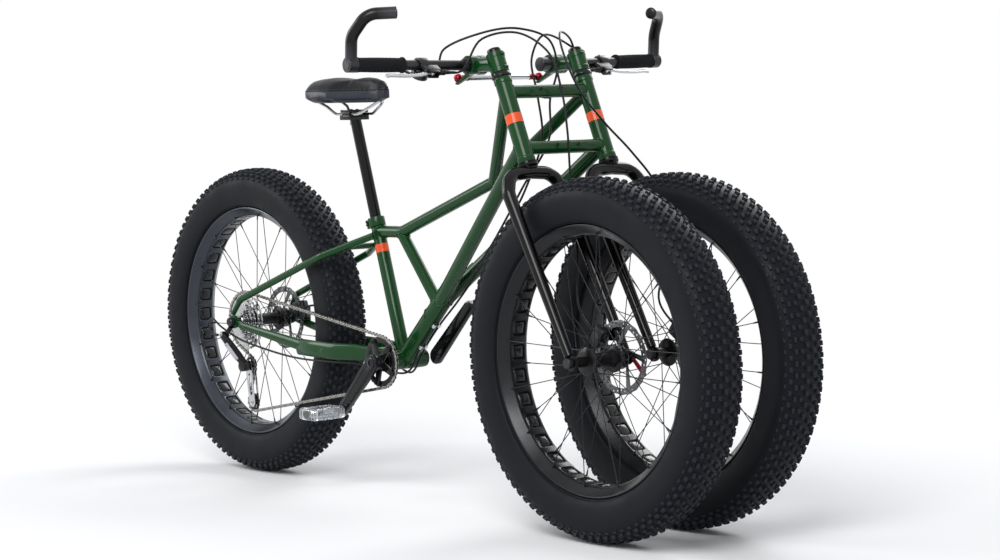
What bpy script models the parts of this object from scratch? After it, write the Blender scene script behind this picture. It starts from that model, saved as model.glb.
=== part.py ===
"""Fat tyre tricycle: two fat wheels side by side in front, each in its own fork, and one fat wheel behind.

Metres, +X forward, +Y to the rider's left, +Z up. The origin is on the ground, halfway between the
front axles and the rear axle.
"""

import math

import bmesh
import bpy
from mathutils import Matrix, Vector

# Overall layout
WHEELBASE = 1.40
TRACK = 0.235
TYRE_RADIUS = 0.385
HEAD_ANGLE = math.radians(67.0)
FORK_OFFSET = 0.042

# Clearances
SEAT_GAP = 0.0003
RUNNING_GAP = 0.0006
PIVOT_GAP = 0.0004

# Tyres and rims
TYRE_HALF_WIDTH = 0.0562
TREAD_HALF_WIDTH = 0.044
TREAD_CROWN_HALF = 0.017
TREAD_DEPTH = 0.006
TYRE_STEPS = 24
RIM_HALF_WIDTH = 0.041
RIM_EDGE_RADIUS = 0.2855
RIM_BED_RADIUS = 0.2665
RIM_WALL = 0.0026
RIM_WINDOWS = 32
RIM_WINDOW_HALF = 0.021

# Hubs, spokes, brake discs and axles
FRONT_HUB_WIDTH = 0.150
REAR_HUB_WIDTH = 0.170
HUB_SHELL_RADIUS = 0.017
HUB_FLANGE_RADIUS = 0.030
HUB_FLANGE_THICKNESS = 0.0035
HUB_SIDES = 12
FRONT_FLANGE_Y = 0.038
REAR_LEFT_FLANGE_Y = 0.048
REAR_RIGHT_FLANGE_Y = -0.036
SPOKES_PER_SIDE = 16
SPOKE_RADIUS = 0.0011
SPOKE_STAGGER = 0.0004
SPOKE_LEAN = math.radians(52.0)
SPOKE_SEAT_BESIDE = 0.005
SPOKE_END_GAP = 0.0022
AXLE_RADIUS = 0.0045
AXLE_NUT_RADIUS = 0.0105
AXLE_NUT_LENGTH = 0.012
QUICK_LEVER_LENGTH = 0.052
DISC_RADIUS = 0.080
DISC_BAND = 0.015
DISC_THICKNESS = 0.0019
DISC_INSET = 0.0155
DISC_ARMS = 5
DISC_CENTRE_RADIUS = 0.023
DISC_BORE = 0.0125

# Dropouts
DROPOUT_THICKNESS = 0.007
DROPOUT_RADIUS = 0.017

# Frame
BOTTOM_BRACKET_BACK = 0.585
BOTTOM_BRACKET_DROP = 0.0635
SHELL_WIDTH = 0.100
SHELL_RADIUS = 0.0225
SHELL_BORE = 0.0200
SEAT_ANGLE = math.radians(73.2)
SEAT_TUBE_RADIUS = 0.0159
SEAT_TUBE_LENGTH = 0.348
SEATPOST_RADIUS = 0.0136
POST_SOCKET_DEPTH = 0.180
TOP_TUBE_HEIGHT = 0.301
TOP_TUBE_RUN = 0.092
TOP_TUBE_ANGLE = math.radians(19.8)
TOP_TUBE_LENGTH = 0.378
TOP_TUBE_RADIUS = 0.0140
TOP_TUBE_BEND = 0.070
BRACE_RADIUS = 0.0137
BRACE_LAND = 0.190
DOWN_TUBE_ANGLE = math.radians(45.0)
DOWN_TUBE_LENGTH = 0.212
DOWN_TUBE_RADIUS = 0.0222
LOWER_BRANCH_RADIUS = 0.0168
UPPER_BRANCH_RADIUS = 0.0137
CROWN_ALONG = 0.442
CROWN_TO_HEAD_TUBE = 0.021
HEAD_TUBE_START = CROWN_ALONG + CROWN_TO_HEAD_TUBE
HEAD_TUBE_LENGTH = 0.198
HEAD_TUBE_TOP = HEAD_TUBE_START + HEAD_TUBE_LENGTH
HEAD_TUBE_RADIUS = 0.0185
HEAD_TUBE_BORE = 0.0162
UPPER_CROSSBAR_DROP = 0.032
LOWER_CROSSBAR_RISE = 0.034
UPPER_CROSSBAR_ALONG = HEAD_TUBE_TOP - UPPER_CROSSBAR_DROP
LOWER_CROSSBAR_ALONG = HEAD_TUBE_START + LOWER_CROSSBAR_RISE
CROSSBAR_RADIUS = 0.0143
UPPER_JOINT_DROP = 0.034
LOWER_JOINT_RISE = 0.037
UPPER_JOINT_ALONG = HEAD_TUBE_TOP - UPPER_JOINT_DROP
LOWER_JOINT_ALONG = HEAD_TUBE_START + LOWER_JOINT_RISE
BOSS_RADIUS = 0.0045
BOSS_HEIGHT = 0.0022
BOSS_SPACING = 0.060

# Rear stays
CHAINSTAY_BEND_AHEAD = 0.258
CHAINSTAY_WIDE_Y = 0.0755
CHAINSTAY_HALF_WIDTH = 0.0088
CHAINSTAY_HALF_HEIGHT = 0.0205
CHAINSTAY_FRONT_LEVEL = 0.013
CHAINSTAY_TAPER_HALF = 0.0140
CHAINSTAY_END_HALF = 0.0090
CHAINSTAY_TURN_IN_BACK = 0.200
CHAINSTAY_FRONT_Y = 0.036
SEATSTAY_RADIUS = 0.0085
SEATSTAY_WIDE_Y = 0.0790
SEATSTAY_BEND_UP = 0.055
SEATSTAY_TOP_DROP = 0.043
SEATSTAY_TOP_ALONG = SEAT_TUBE_LENGTH - SEATSTAY_TOP_DROP
SEATSTAY_TURN_BACK = 0.150
SEATSTAY_BRIDGE_BACK = 0.092
SEATSTAY_BRIDGE_RADIUS = 0.0070

# Seat
COLLAR_RADIUS = 0.0205
COLLAR_HEIGHT = 0.022
COLLAR_SLOT = 0.0030
SEATPOST_LENGTH = 0.389
SEATPOST_INSERT = 0.130
SEATPOST_TRAVEL_DOWN = 0.045
SEATPOST_TRAVEL_UP = 0.050
RAIL_RADIUS = 0.0035
RAIL_HALF_SPREAD = 0.022
SADDLE_LENGTH = 0.262
SADDLE_REAR_BEHIND = 0.128
SADDLE_HALF_WIDTH = 0.078
SADDLE_NOSE_HALF = 0.020
SADDLE_DEPTH = 0.050
SADDLE_ABOVE_CLAMP = 0.034
SADDLE_DIP = 0.008

# Drive
CRANK_LENGTH = 0.175
CRANK_ANGLE = math.radians(224.5)
CRANK_INNER_Y = 0.0890
CRANK_THICKNESS = 0.0135
CRANK_END_RADIUS = 0.0140
CRANK_BOSS_RADIUS = 0.0195
SPINDLE_RADIUS = 0.0120
SPIDER_RADIUS = 0.0520
SPIDER_SEAT_RADIUS = 0.0450
CHAIN_PITCH = 0.0127
CHAINRING_TEETH = 30
CHAINRING_Y = -0.0725
COG_TEETH = 36
COG_Y = -0.0510
PULLEY_TEETH = 11
SPROCKET_THICKNESS = 0.0020
CHAIN_WIDTH = 0.0064
CHAIN_HEIGHT = 0.0082
CHAIN_GROOVE = 0.0034
TOOTH_REACH = 0.0012
COG_STEPS = 5
COG_SPACING = 0.0040
FREEHUB_RADIUS = 0.0115
COG_SMALL_RADIUS = 0.0225
GUIDE_PULLEY_BEHIND = -0.012
GUIDE_PULLEY_BELOW = 0.113
CAGE_LENGTH = 0.093
CAGE_ANGLE = math.radians(-82.0)
CAGE_WIDTH = 0.0125
CAGE_PLATE = 0.0016
PULLEY_BOLT_RADIUS = 0.0030
PEDAL_HALF_WIDTH = 0.047
PEDAL_HALF_LENGTH = 0.031
PEDAL_HALF_HEIGHT = 0.014
PEDAL_WALL = 0.009
PEDAL_SPINDLE_RADIUS = 0.0045
PEDAL_BARREL_RADIUS = 0.0100
PEDAL_STANDOFF = 0.007

# Forks and steering
STEERER_RADIUS = 0.0143
CUP_HEIGHT = 0.011
CUP_RADIUS = 0.0225
LEG_SPREAD = 0.0790
LEG_TOP_RADIUS = 0.0145
LEG_END_RADIUS = 0.0105
LEG_SHOULDER_DROP = 0.046
LEG_SHOULDER_ALONG = CROWN_ALONG - LEG_SHOULDER_DROP
CROWN_BEND = 0.040
STEM_ABOVE_CUP = 0.0015
STEM_START = HEAD_TUBE_TOP + CUP_HEIGHT + STEM_ABOVE_CUP
STEM_HEIGHT = 0.046
CAP_HEIGHT = 0.0115
STEERER_TOP = STEM_START + STEM_HEIGHT + CAP_HEIGHT
STEM_CLAMP_RADIUS = 0.0205
STEM_REACH = 0.0765
STEM_DROP = 0.0020
BAR_CLAMP_RADIUS = 0.0212
BAR_CLAMP_HALF = 0.0230
BAR_CENTRE_RADIUS = 0.0159
BAR_GRIP_RADIUS = 0.0111
BAR_INNER_Y = 0.068
BAR_BEND_Y = 0.155
BAR_END_Y = 0.4525
BAR_SWEEP = 0.023
BAR_RISE = 0.005
GRIP_LENGTH = 0.118
GRIP_RADIUS = 0.0158
GRIP_INSET = 0.026
BAR_END_RADIUS = 0.0130
BAR_END_RISE = 0.108
BAR_END_FORWARD = 0.070
BAR_END_INWARD = 0.072
ROD_PIVOT_BEHIND = 0.060
ROD_PIVOT_BELOW = 0.027
ROD_RADIUS = 0.0050
ROD_EYE_RADIUS = 0.0095
ROD_EYE_HEIGHT = 0.0142
ROD_PIN_RADIUS = 0.0035

# Controls and brakes
CONTROL_Y = 0.262
CONTROL_CLAMP_HALF = 0.011
CONTROL_CLAMP_RADIUS = 0.0165
CONTROL_BODY_LENGTH = 0.072
CONTROL_FORWARD = 0.030
CONTROL_BODY_RADIUS = 0.0110
LEVER_PIVOT_INBOARD = 0.012
LEVER_PIN_RADIUS = 0.0030
LEVER_LENGTH = 0.128
LEVER_HALF_DEPTH = 0.0070
LEVER_THICKNESS = 0.0075
LEVER_DROOP = math.radians(32.0)
SHIFTER_RADIUS = 0.0195
SHIFTER_HEIGHT = 0.016
TRIGGER_LENGTH = 0.046
CALIPER_LENGTH = 0.046
CALIPER_HALF_WIDTH = 0.0160
CALIPER_DEPTH = 0.030
CALIPER_SLOT = 0.0042
CALIPER_ANGLE = math.radians(146.0)
REAR_CALIPER_ANGLE = math.radians(17.0)
CALIPER_TAB = 0.0060
CALIPER_TAB_RADIUS = 0.0105
CABLE_RADIUS = 0.0025
CABLE_BEND_WEIGHT = 0.10
SECOND_CABLE = Vector((-0.0135, 0.0, 0.0025))

# Colours of the finishes: red, green, blue, then roughness and metallic
FINISHES = {
    "green_paint": (0.015, 0.070, 0.040, 0.28, 0.0),
    "black_paint": (0.012, 0.012, 0.014, 0.22, 0.0),
    "black_rubber": (0.030, 0.030, 0.034, 0.80, 0.0),
    "grey_aluminium": (0.300, 0.310, 0.330, 0.35, 1.0),
    "black_aluminium": (0.020, 0.020, 0.024, 0.35, 0.6),
    "bare_steel": (0.560, 0.560, 0.550, 0.28, 1.0),
    "red_aluminium": (0.450, 0.020, 0.040, 0.30, 0.7),
    "black_leather": (0.025, 0.027, 0.040, 0.60, 0.0),
    "black_plastic": (0.020, 0.020, 0.022, 0.50, 0.0),
    "clear_plastic": (0.600, 0.620, 0.640, 0.25, 0.0),
    "foam": (0.020, 0.020, 0.022, 0.90, 0.0),
}

RIGHT = -1
LEFT = 1
SIDE_NAMES = {RIGHT: "right", LEFT: "left"}
Y_AXIS = Vector((0, 1, 0))

REAR_AXLE = Vector((-WHEELBASE / 2, 0, TYRE_RADIUS))
BOTTOM_BRACKET = REAR_AXLE + Vector((BOTTOM_BRACKET_BACK, 0, -BOTTOM_BRACKET_DROP))
SEAT_DIRECTION = Vector((-math.cos(SEAT_ANGLE), 0, math.sin(SEAT_ANGLE)))
STEER_UP = Vector((-math.cos(HEAD_ANGLE), 0, math.sin(HEAD_ANGLE)))
STEER_AHEAD = Vector((math.sin(HEAD_ANGLE), 0, math.cos(HEAD_ANGLE)))


def remove_all():
    """Empties the scene."""
    for obj in list(bpy.data.objects):
        bpy.data.objects.remove(obj, do_unlink=True)
    for group in list(bpy.data.collections):
        bpy.data.collections.remove(group)


def make_collection(name, hidden=False):
    group = bpy.data.collections.new(name)
    group.hide_render = hidden
    bpy.context.scene.collection.children.link(group)
    return group


remove_all()
PARTS = make_collection("fat_tire_tricycle")
CUTTERS = make_collection("cutters", hidden=True)


def finish(name):
    """The named finish as a material."""
    made = bpy.data.materials.get(name)
    if made:
        return made
    red, green, blue, roughness, metallic = FINISHES[name]
    made = bpy.data.materials.new(name)
    made.diffuse_color = (red, green, blue, 1)
    made.use_nodes = True
    shader = made.node_tree.nodes["Principled BSDF"]
    shader.inputs["Base Color"].default_value = (red, green, blue, 1)
    shader.inputs["Roughness"].default_value = roughness
    shader.inputs["Metallic"].default_value = metallic
    return made


def placed(name, data, colour=None, matrix=None):
    """A new object in the parts, with its finish."""
    obj = bpy.data.objects.new(name, data)
    PARTS.objects.link(obj)
    if colour:
        data.materials.append(finish(colour))
    if matrix is not None:
        obj.matrix_world = matrix
    return obj


def axes_at(origin, z_axis, x_hint=None):
    """A matrix at origin with its Z along z_axis and its X near x_hint."""
    z = Vector(z_axis).normalized()
    hint = Vector(x_hint) if x_hint is not None else Vector((1, 0, 0))
    if abs(hint.normalized().dot(z)) > 0.98:
        hint = Vector((0, 1, 0))
    y = z.cross(hint).normalized()
    x = y.cross(z)
    turned_axes = Matrix((x, y, z)).transposed().to_4x4()
    return Matrix.Translation(origin) @ turned_axes


def from_bmesh(name, bm, colour=None, matrix=None):
    mesh = bpy.data.meshes.new(name)
    bmesh.ops.recalc_face_normals(bm, faces=bm.faces)
    bm.to_mesh(mesh)
    bm.free()
    return placed(name, mesh, colour, matrix)


def smooth(obj, angle=math.radians(35)):
    """Shades an object smooth, with its sharp edges kept."""
    obj.data.shade_smooth()
    obj.data.set_sharp_from_angle(angle=angle)
    return obj


def cylinder(name, start, end, radius, colour=None, sides=20, end_radius=None):
    """A solid round bar between two points, as a cone primitive with its caps."""
    start, end = Vector(start), Vector(end)
    length = (end - start).length
    bm = bmesh.new()
    top = radius if end_radius is None else end_radius
    bmesh.ops.create_cone(
        bm, cap_ends=True, segments=sides, radius1=radius, radius2=top, depth=length
    )
    bmesh.ops.translate(bm, verts=bm.verts, vec=(0, 0, length / 2))
    return from_bmesh(name, bm, colour, axes_at(start, end - start))


def block(name, size, matrix, colour=None, bevel=0.0):
    """A box of the given size about the matrix's origin, with rounded edges if bevel is set."""
    bm = bmesh.new()
    bmesh.ops.create_cube(bm, size=1)
    bmesh.ops.scale(bm, verts=bm.verts, vec=size)
    obj = from_bmesh(name, bm, colour, matrix)
    if bevel:
        rounding = obj.modifiers.new("rounding", "BEVEL")
        rounding.width = bevel
        rounding.segments = 1
    return obj


def turned(name, profile, origin, axis, colour=None, steps=24, closed=False):
    """A turned shape: a profile of (radius, height) points about an axis, with a Screw modifier."""
    points = list(profile)
    if closed:
        area = sum(a[0] * b[1] - b[0] * a[1] for a, b in zip(points, points[1:] + points[:1]))
        if area > 0:
            points.reverse()
    elif points[0][1] < points[-1][1]:
        points.reverse()
    mesh = bpy.data.meshes.new(name)
    count = len(points)
    edges = [(i, i + 1) for i in range(count - 1)]
    if closed:
        edges.append((count - 1, 0))
    mesh.from_pydata([(r, 0, h) for r, h in points], edges, [])
    obj = placed(name, mesh, colour, axes_at(origin, axis))
    screw = obj.modifiers.new("turn", "SCREW")
    screw.axis = "Z"
    screw.steps = steps
    screw.render_steps = steps
    screw.use_merge_vertices = True
    screw.merge_threshold = 0.0001
    return obj


def rounded_route(corners, bend, steps=5):
    """The points of a route through corners, each turned by an arc of the given radius."""
    corners = [Vector(c) for c in corners]
    route = [corners[0]]
    for before, corner, after in zip(corners, corners[1:], corners[2:]):
        into = (corner - before).normalized()
        out = (after - corner).normalized()
        turn = into.angle(out, 0.0)
        if turn < math.radians(2):
            route.append(corner)
            continue
        reach = bend * math.tan(turn / 2)
        reach = min(reach, 0.48 * (corner - before).length, 0.48 * (after - corner).length)
        radius = reach / math.tan(turn / 2)
        start = corner - into * reach
        normal = (out - into * into.dot(out)).normalized()
        centre = start + normal * radius
        for i in range(steps + 1):
            angle = turn * i / steps
            route.append(centre - normal * radius * math.cos(angle) + into * radius * math.sin(angle))
    route.append(corners[-1])
    return route


def smooth_route(points, count):
    """Points evenly spread along a smooth curve through the given points, tangent to its end runs."""
    points = [Vector(p) for p in points]
    spans = [(b - a).length for a, b in zip(points, points[1:])]
    runs = [(b - a) / span for a, b, span in zip(points, points[1:], spans)]
    tangents = [runs[0]]
    for before, after, run_in, run_out in zip(spans, spans[1:], runs, runs[1:]):
        tangents.append((run_in * after + run_out * before) / (before + after))
    tangents.append(runs[-1])
    dense = []
    for i, span in enumerate(spans):
        for k in range(12):
            t = k / 12
            dense.append(
                points[i] * (1 - 3 * t * t + 2 * t * t * t)
                + points[i + 1] * (3 * t * t - 2 * t * t * t)
                + tangents[i] * span * (t - 2 * t * t + t * t * t)
                + tangents[i + 1] * span * (t * t * t - t * t)
            )
    dense.append(points[-1])
    return spread_along(dense, count)


def spread_along(dense, count):
    """The same route with count points, closer together where it bends."""
    measure = [0.0]
    heading = (dense[1] - dense[0]).normalized()
    for a, b in zip(dense, dense[1:]):
        following = (b - a).normalized()
        measure.append(measure[-1] + (b - a).length + CABLE_BEND_WEIGHT * heading.angle(following, 0.0))
        heading = following
    route = []
    at = 0
    for i in range(count):
        want = measure[-1] * i / (count - 1)
        while at < len(dense) - 2 and measure[at + 1] < want:
            at += 1
        share = (want - measure[at]) / (measure[at + 1] - measure[at])
        route.append(dense[at].lerp(dense[at + 1], min(1.0, share)))
    return route


def tube(name, points, radius, colour=None, sides=12, radii=None):
    """A solid tube along points, as a curve with a round bevel and filled caps."""
    curve = bpy.data.curves.new(name, "CURVE")
    curve.dimensions = "3D"
    curve.bevel_depth = radius
    curve.bevel_resolution = (sides - 4) // 2
    curve.use_fill_caps = True
    curve.twist_mode = "MINIMUM"
    spline = curve.splines.new("POLY")
    spline.points.add(len(points) - 1)
    for i, (target, point) in enumerate(zip(spline.points, points)):
        target.co = (*point, 1)
        if radii:
            target.radius = radii[i] / radius
    return placed(name, curve, colour)


def as_mesh(obj, tidy=False):
    """The object as its modifiers and curve settings shape it, as a plain welded mesh."""
    bpy.context.view_layer.update()
    graph = bpy.context.evaluated_depsgraph_get()
    mesh = bpy.data.meshes.new_from_object(obj.evaluated_get(graph))
    bm = bmesh.new()
    bm.from_mesh(mesh)
    bmesh.ops.remove_doubles(bm, verts=bm.verts, dist=0.000001)
    if tidy:
        bmesh.ops.dissolve_degenerate(bm, edges=bm.edges, dist=0.000001)
        bmesh.ops.dissolve_limit(bm, angle_limit=math.radians(0.1), verts=bm.verts, edges=bm.edges)
        bmesh.ops.triangulate(bm, faces=[face for face in bm.faces if len(face.verts) > 4])
    bmesh.ops.recalc_face_normals(bm, faces=bm.faces)
    bm.to_mesh(mesh)
    bm.free()
    name = obj.name
    matrix = obj.matrix_world.copy()
    bpy.data.objects.remove(obj, do_unlink=True)
    return placed(name, mesh, None, matrix)


def hide_as_cutter(obj):
    for group in list(obj.users_collection):
        group.objects.unlink(obj)
    CUTTERS.objects.link(obj)
    obj.hide_render = True
    obj.display_type = "WIRE"
    return obj


def combine(obj, other, operation):
    """Adds or cuts another mesh object, which then becomes a hidden cutter."""
    if other.type == "CURVE":
        other = as_mesh(other)
    if obj.type == "CURVE":
        obj = as_mesh(obj)
    step = obj.modifiers.new(other.name, "BOOLEAN")
    step.operation = operation
    step.solver = "EXACT"
    step.object = hide_as_cutter(other)
    return obj


def join(obj, *others):
    for other in others:
        obj = combine(obj, other, "UNION")
    return obj


def cut(obj, *others):
    for other in others:
        obj = combine(obj, other, "DIFFERENCE")
    return obj


def settle(obj, colour):
    """Bakes a built-up shape to one mesh under one finish."""
    made = as_mesh(obj, tidy=True)
    made.data.materials.clear()
    made.data.materials.append(finish(colour))
    return smooth(made)


def loft(name, sections, colour=None, sides=12):
    """A closed skin over oval sections: each is (centre, across, half width, up, half height)."""
    bm = bmesh.new()
    rings = []
    for centre, across, half_width, up, half_height in sections:
        ring = []
        for i in range(sides):
            angle = 2 * math.pi * i / sides
            offset = across * half_width * math.cos(angle) + up * half_height * math.sin(angle)
            ring.append(bm.verts.new(centre + offset))
        rings.append(ring)
    for first, second in zip(rings, rings[1:]):
        for i in range(sides):
            j = (i + 1) % sides
            bm.faces.new((first[i], first[j], second[j], second[i]))
    bm.faces.new(list(reversed(rings[0])))
    bm.faces.new(rings[-1])
    return from_bmesh(name, bm, colour)


def outline_plate(name, outlines, thickness, matrix, colour=None):
    """A flat plate in the matrix's XY plane, extruded evenly both ways; later outlines are its holes."""
    curve = bpy.data.curves.new(name, "CURVE")
    curve.dimensions = "2D"
    curve.fill_mode = "BOTH"
    curve.extrude = thickness / 2
    for outline in outlines:
        spline = curve.splines.new("POLY")
        spline.points.add(len(outline) - 1)
        for target, (x, y) in zip(spline.points, outline):
            target.co = (x, y, 0, 1)
        spline.use_cyclic_u = True
    return placed(name, curve, colour, matrix)


def circle_points(radius, count, centre=(0, 0), phase=0.0):
    return [
        (
            centre[0] + radius * math.cos(phase + 2 * math.pi * i / count),
            centre[1] + radius * math.sin(phase + 2 * math.pi * i / count),
        )
        for i in range(count)
    ]


def capsule_outline(first, second, radius_1, radius_2, steps=5):
    """The outline round two circles of unlike radius, as a crank arm or a link has."""
    a, b = Vector(first), Vector(second)
    along = math.atan2(b.y - a.y, b.x - a.x)
    lean = math.acos((radius_1 - radius_2) / (b - a).length)
    points = []
    for i in range(steps + 1):
        angle = along + lean + (2 * math.pi - 2 * lean) * i / steps
        points.append((a.x + radius_1 * math.cos(angle), a.y + radius_1 * math.sin(angle)))
    for i in range(steps + 1):
        angle = along - lean + 2 * lean * i / steps
        points.append((b.x + radius_2 * math.cos(angle), b.y + radius_2 * math.sin(angle)))
    return points


def axis_empty(name, origin, parent=None):
    """An empty on a joint's axis, which carries the pieces that move about it."""
    empty = bpy.data.objects.new(name, None)
    empty.empty_display_size = 0.03
    PARTS.objects.link(empty)
    empty.location = origin
    bpy.context.view_layer.update()
    if parent:
        carry(parent, empty)
    return empty


def carry(parent, *pieces):
    """Parents pieces to an empty where they stand."""
    bpy.context.view_layer.update()
    for piece in pieces:
        piece.parent = parent
        piece.matrix_parent_inverse = parent.matrix_world.inverted()


def on_steerer(side, along, lateral=0.0, ahead=0.0):
    """A point in one fork's own frame: up its steering axis, to the rider's left, and ahead of it."""
    axle = Vector((WHEELBASE / 2, side * TRACK / 2, TYRE_RADIUS))
    foot = axle - STEER_AHEAD * FORK_OFFSET
    return foot + STEER_UP * along + Y_AXIS * lateral + STEER_AHEAD * ahead


def on_seat_tube(along):
    return BOTTOM_BRACKET + SEAT_DIRECTION * along


# Frame


def top_tube_points():
    """The start, the bend and the front end of the top tube's centre line."""
    start = on_seat_tube(TOP_TUBE_HEIGHT / math.sin(SEAT_ANGLE))
    bend = start + Vector((TOP_TUBE_RUN, 0, 0.001))
    along = Vector((math.cos(TOP_TUBE_ANGLE), 0, math.sin(TOP_TUBE_ANGLE)))
    return start, bend, bend + along * TOP_TUBE_LENGTH


def down_tube_top():
    along = Vector((math.cos(DOWN_TUBE_ANGLE), 0, math.sin(DOWN_TUBE_ANGLE)))
    return BOTTOM_BRACKET + along * DOWN_TUBE_LENGTH


def grown(name, start, end, radius):
    """A cutter a seat's gap larger than the round tube that it stands for."""
    return cylinder(name, start, end, radius + 2 * SEAT_GAP, sides=20)


def head_tube_cutter(side, name):
    low = on_steerer(side, HEAD_TUBE_START - 0.03)
    high = on_steerer(side, HEAD_TUBE_START + HEAD_TUBE_LENGTH + 0.03)
    return grown(name, low, high, HEAD_TUBE_RADIUS)


def crossbar_cutter(along, name):
    return grown(name, on_steerer(RIGHT, along), on_steerer(LEFT, along), CROSSBAR_RADIUS)


def build_seat_tube():
    """Seat tube and bottom bracket shell, with the socket that takes the seatpost."""
    top = on_seat_tube(SEAT_TUBE_LENGTH)
    body = cylinder("seat_tube", BOTTOM_BRACKET, top, SEAT_TUBE_RADIUS, sides=16)
    half = Y_AXIS * SHELL_WIDTH / 2
    shell = cylinder("shell_outside", BOTTOM_BRACKET - half, BOTTOM_BRACKET + half, SHELL_RADIUS, sides=18)
    body = join(body, shell)
    margin = Y_AXIS * (SHELL_WIDTH / 2 + 0.01)
    socket_low = on_seat_tube(SEAT_TUBE_LENGTH - POST_SOCKET_DEPTH)
    socket_top = on_seat_tube(SEAT_TUBE_LENGTH + 0.01)
    body = cut(
        body,
        cylinder("shell_bore", BOTTOM_BRACKET - margin, BOTTOM_BRACKET + margin, SHELL_BORE, sides=16),
        cylinder("post_socket", socket_low, socket_top, SEATPOST_RADIUS + 2 * SEAT_GAP, sides=16),
    )
    return settle(body, "green_paint")


def build_top_tube():
    """Top tube with its bend, its fork of two upper branches and the brace to the down tube."""
    start, bend, end = top_tube_points()
    route = rounded_route([start, bend, end], TOP_TUBE_BEND, steps=3)
    body = tube("top_tube", route, TOP_TUBE_RADIUS, sides=14)
    down = (down_tube_top() - BOTTOM_BRACKET).normalized()
    brace_foot = BOTTOM_BRACKET + down * BRACE_LAND
    body = join(body, cylinder("brace", route[2], brace_foot, BRACE_RADIUS, sides=14))
    for side in (RIGHT, LEFT):
        name = f"upper_branch_{SIDE_NAMES[side]}"
        joint = on_steerer(side, UPPER_JOINT_ALONG)
        inside = end - (end - bend).normalized() * 0.010 + Y_AXIS * side * 0.003
        body = join(body, cylinder(name, inside, joint, UPPER_BRANCH_RADIUS, sides=12))
    for side in (RIGHT, LEFT):
        body = cut(body, head_tube_cutter(side, f"head_tube_space_up_{SIDE_NAMES[side]}"))
    body = cut(
        body,
        crossbar_cutter(UPPER_CROSSBAR_ALONG, "crossbar_space_up"),
        grown("seat_tube_space_top", BOTTOM_BRACKET, on_seat_tube(SEAT_TUBE_LENGTH + 0.1), SEAT_TUBE_RADIUS),
        grown("down_tube_space", BOTTOM_BRACKET, down_tube_top() + down * 0.05, DOWN_TUBE_RADIUS),
    )
    return settle(body, "green_paint")


def build_down_tube():
    """Down tube with its fork of two lower branches."""
    top = down_tube_top()
    along = (top - BOTTOM_BRACKET).normalized()
    body = cylinder("down_tube", BOTTOM_BRACKET, top, DOWN_TUBE_RADIUS, sides=18)
    for side in (RIGHT, LEFT):
        joint = on_steerer(side, LOWER_JOINT_ALONG)
        start = top - along * 0.020 + Y_AXIS * side * 0.003
        branch = cylinder(f"lower_branch_{SIDE_NAMES[side]}", start, joint, LOWER_BRANCH_RADIUS, sides=14)
        body = join(body, branch)
    for side in (RIGHT, LEFT):
        body = cut(body, head_tube_cutter(side, f"head_tube_space_low_{SIDE_NAMES[side]}"))
    half = Y_AXIS * (SHELL_WIDTH / 2 + 0.01)
    body = cut(
        body,
        crossbar_cutter(LOWER_CROSSBAR_ALONG, "crossbar_space_low"),
        grown("shell_space_down", BOTTOM_BRACKET - half, BOTTOM_BRACKET + half, SHELL_RADIUS),
        grown("seat_tube_space_down", BOTTOM_BRACKET, on_seat_tube(SEAT_TUBE_LENGTH), SEAT_TUBE_RADIUS),
    )
    return settle(body, "green_paint")


def build_head_tubes():
    """The two head tubes and the two crossbars that tie them, with bolt bosses on the crossbars."""
    body = None
    for side in (RIGHT, LEFT):
        low = on_steerer(side, HEAD_TUBE_START)
        high = on_steerer(side, HEAD_TUBE_START + HEAD_TUBE_LENGTH)
        name = "head_tubes" if body is None else "second_head_tube"
        barrel = cylinder(name, low, high, HEAD_TUBE_RADIUS, sides=16)
        body = barrel if body is None else join(body, barrel)
    crossbars = (("upper_crossbar", UPPER_CROSSBAR_ALONG), ("lower_crossbar", LOWER_CROSSBAR_ALONG))
    for name, along in crossbars:
        right, left = on_steerer(RIGHT, along), on_steerer(LEFT, along)
        body = join(body, cylinder(name, right, left, CROSSBAR_RADIUS, sides=12))
        for place in (-0.5, 0.5):
            middle = (right + left) / 2 + Y_AXIS * place * BOSS_SPACING
            face = middle + STEER_AHEAD * (CROSSBAR_RADIUS + BOSS_HEIGHT)
            boss = cylinder(f"{name}_boss_{place}", middle, face, BOSS_RADIUS, sides=6)
            body = join(body, boss)
    for side in (RIGHT, LEFT):
        low = on_steerer(side, HEAD_TUBE_START - 0.01)
        high = on_steerer(side, HEAD_TUBE_START + HEAD_TUBE_LENGTH + 0.01)
        body = cut(body, cylinder(f"head_bore_{SIDE_NAMES[side]}", low, high, HEAD_TUBE_BORE, sides=14))
    return settle(body, "green_paint")


def dropout_plate(name, y_inner, side, axle):
    """A round plate that holds an axle, with its inner face at y_inner."""
    start = axle + Y_AXIS * side * y_inner
    return cylinder(name, start, start + Y_AXIS * side * DROPOUT_THICKNESS, DROPOUT_RADIUS, sides=12)


def axle_hole(name, axle, half):
    return cylinder(name, axle - Y_AXIS * half, axle + Y_AXIS * half, AXLE_RADIUS + SEAT_GAP, sides=12)


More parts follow.
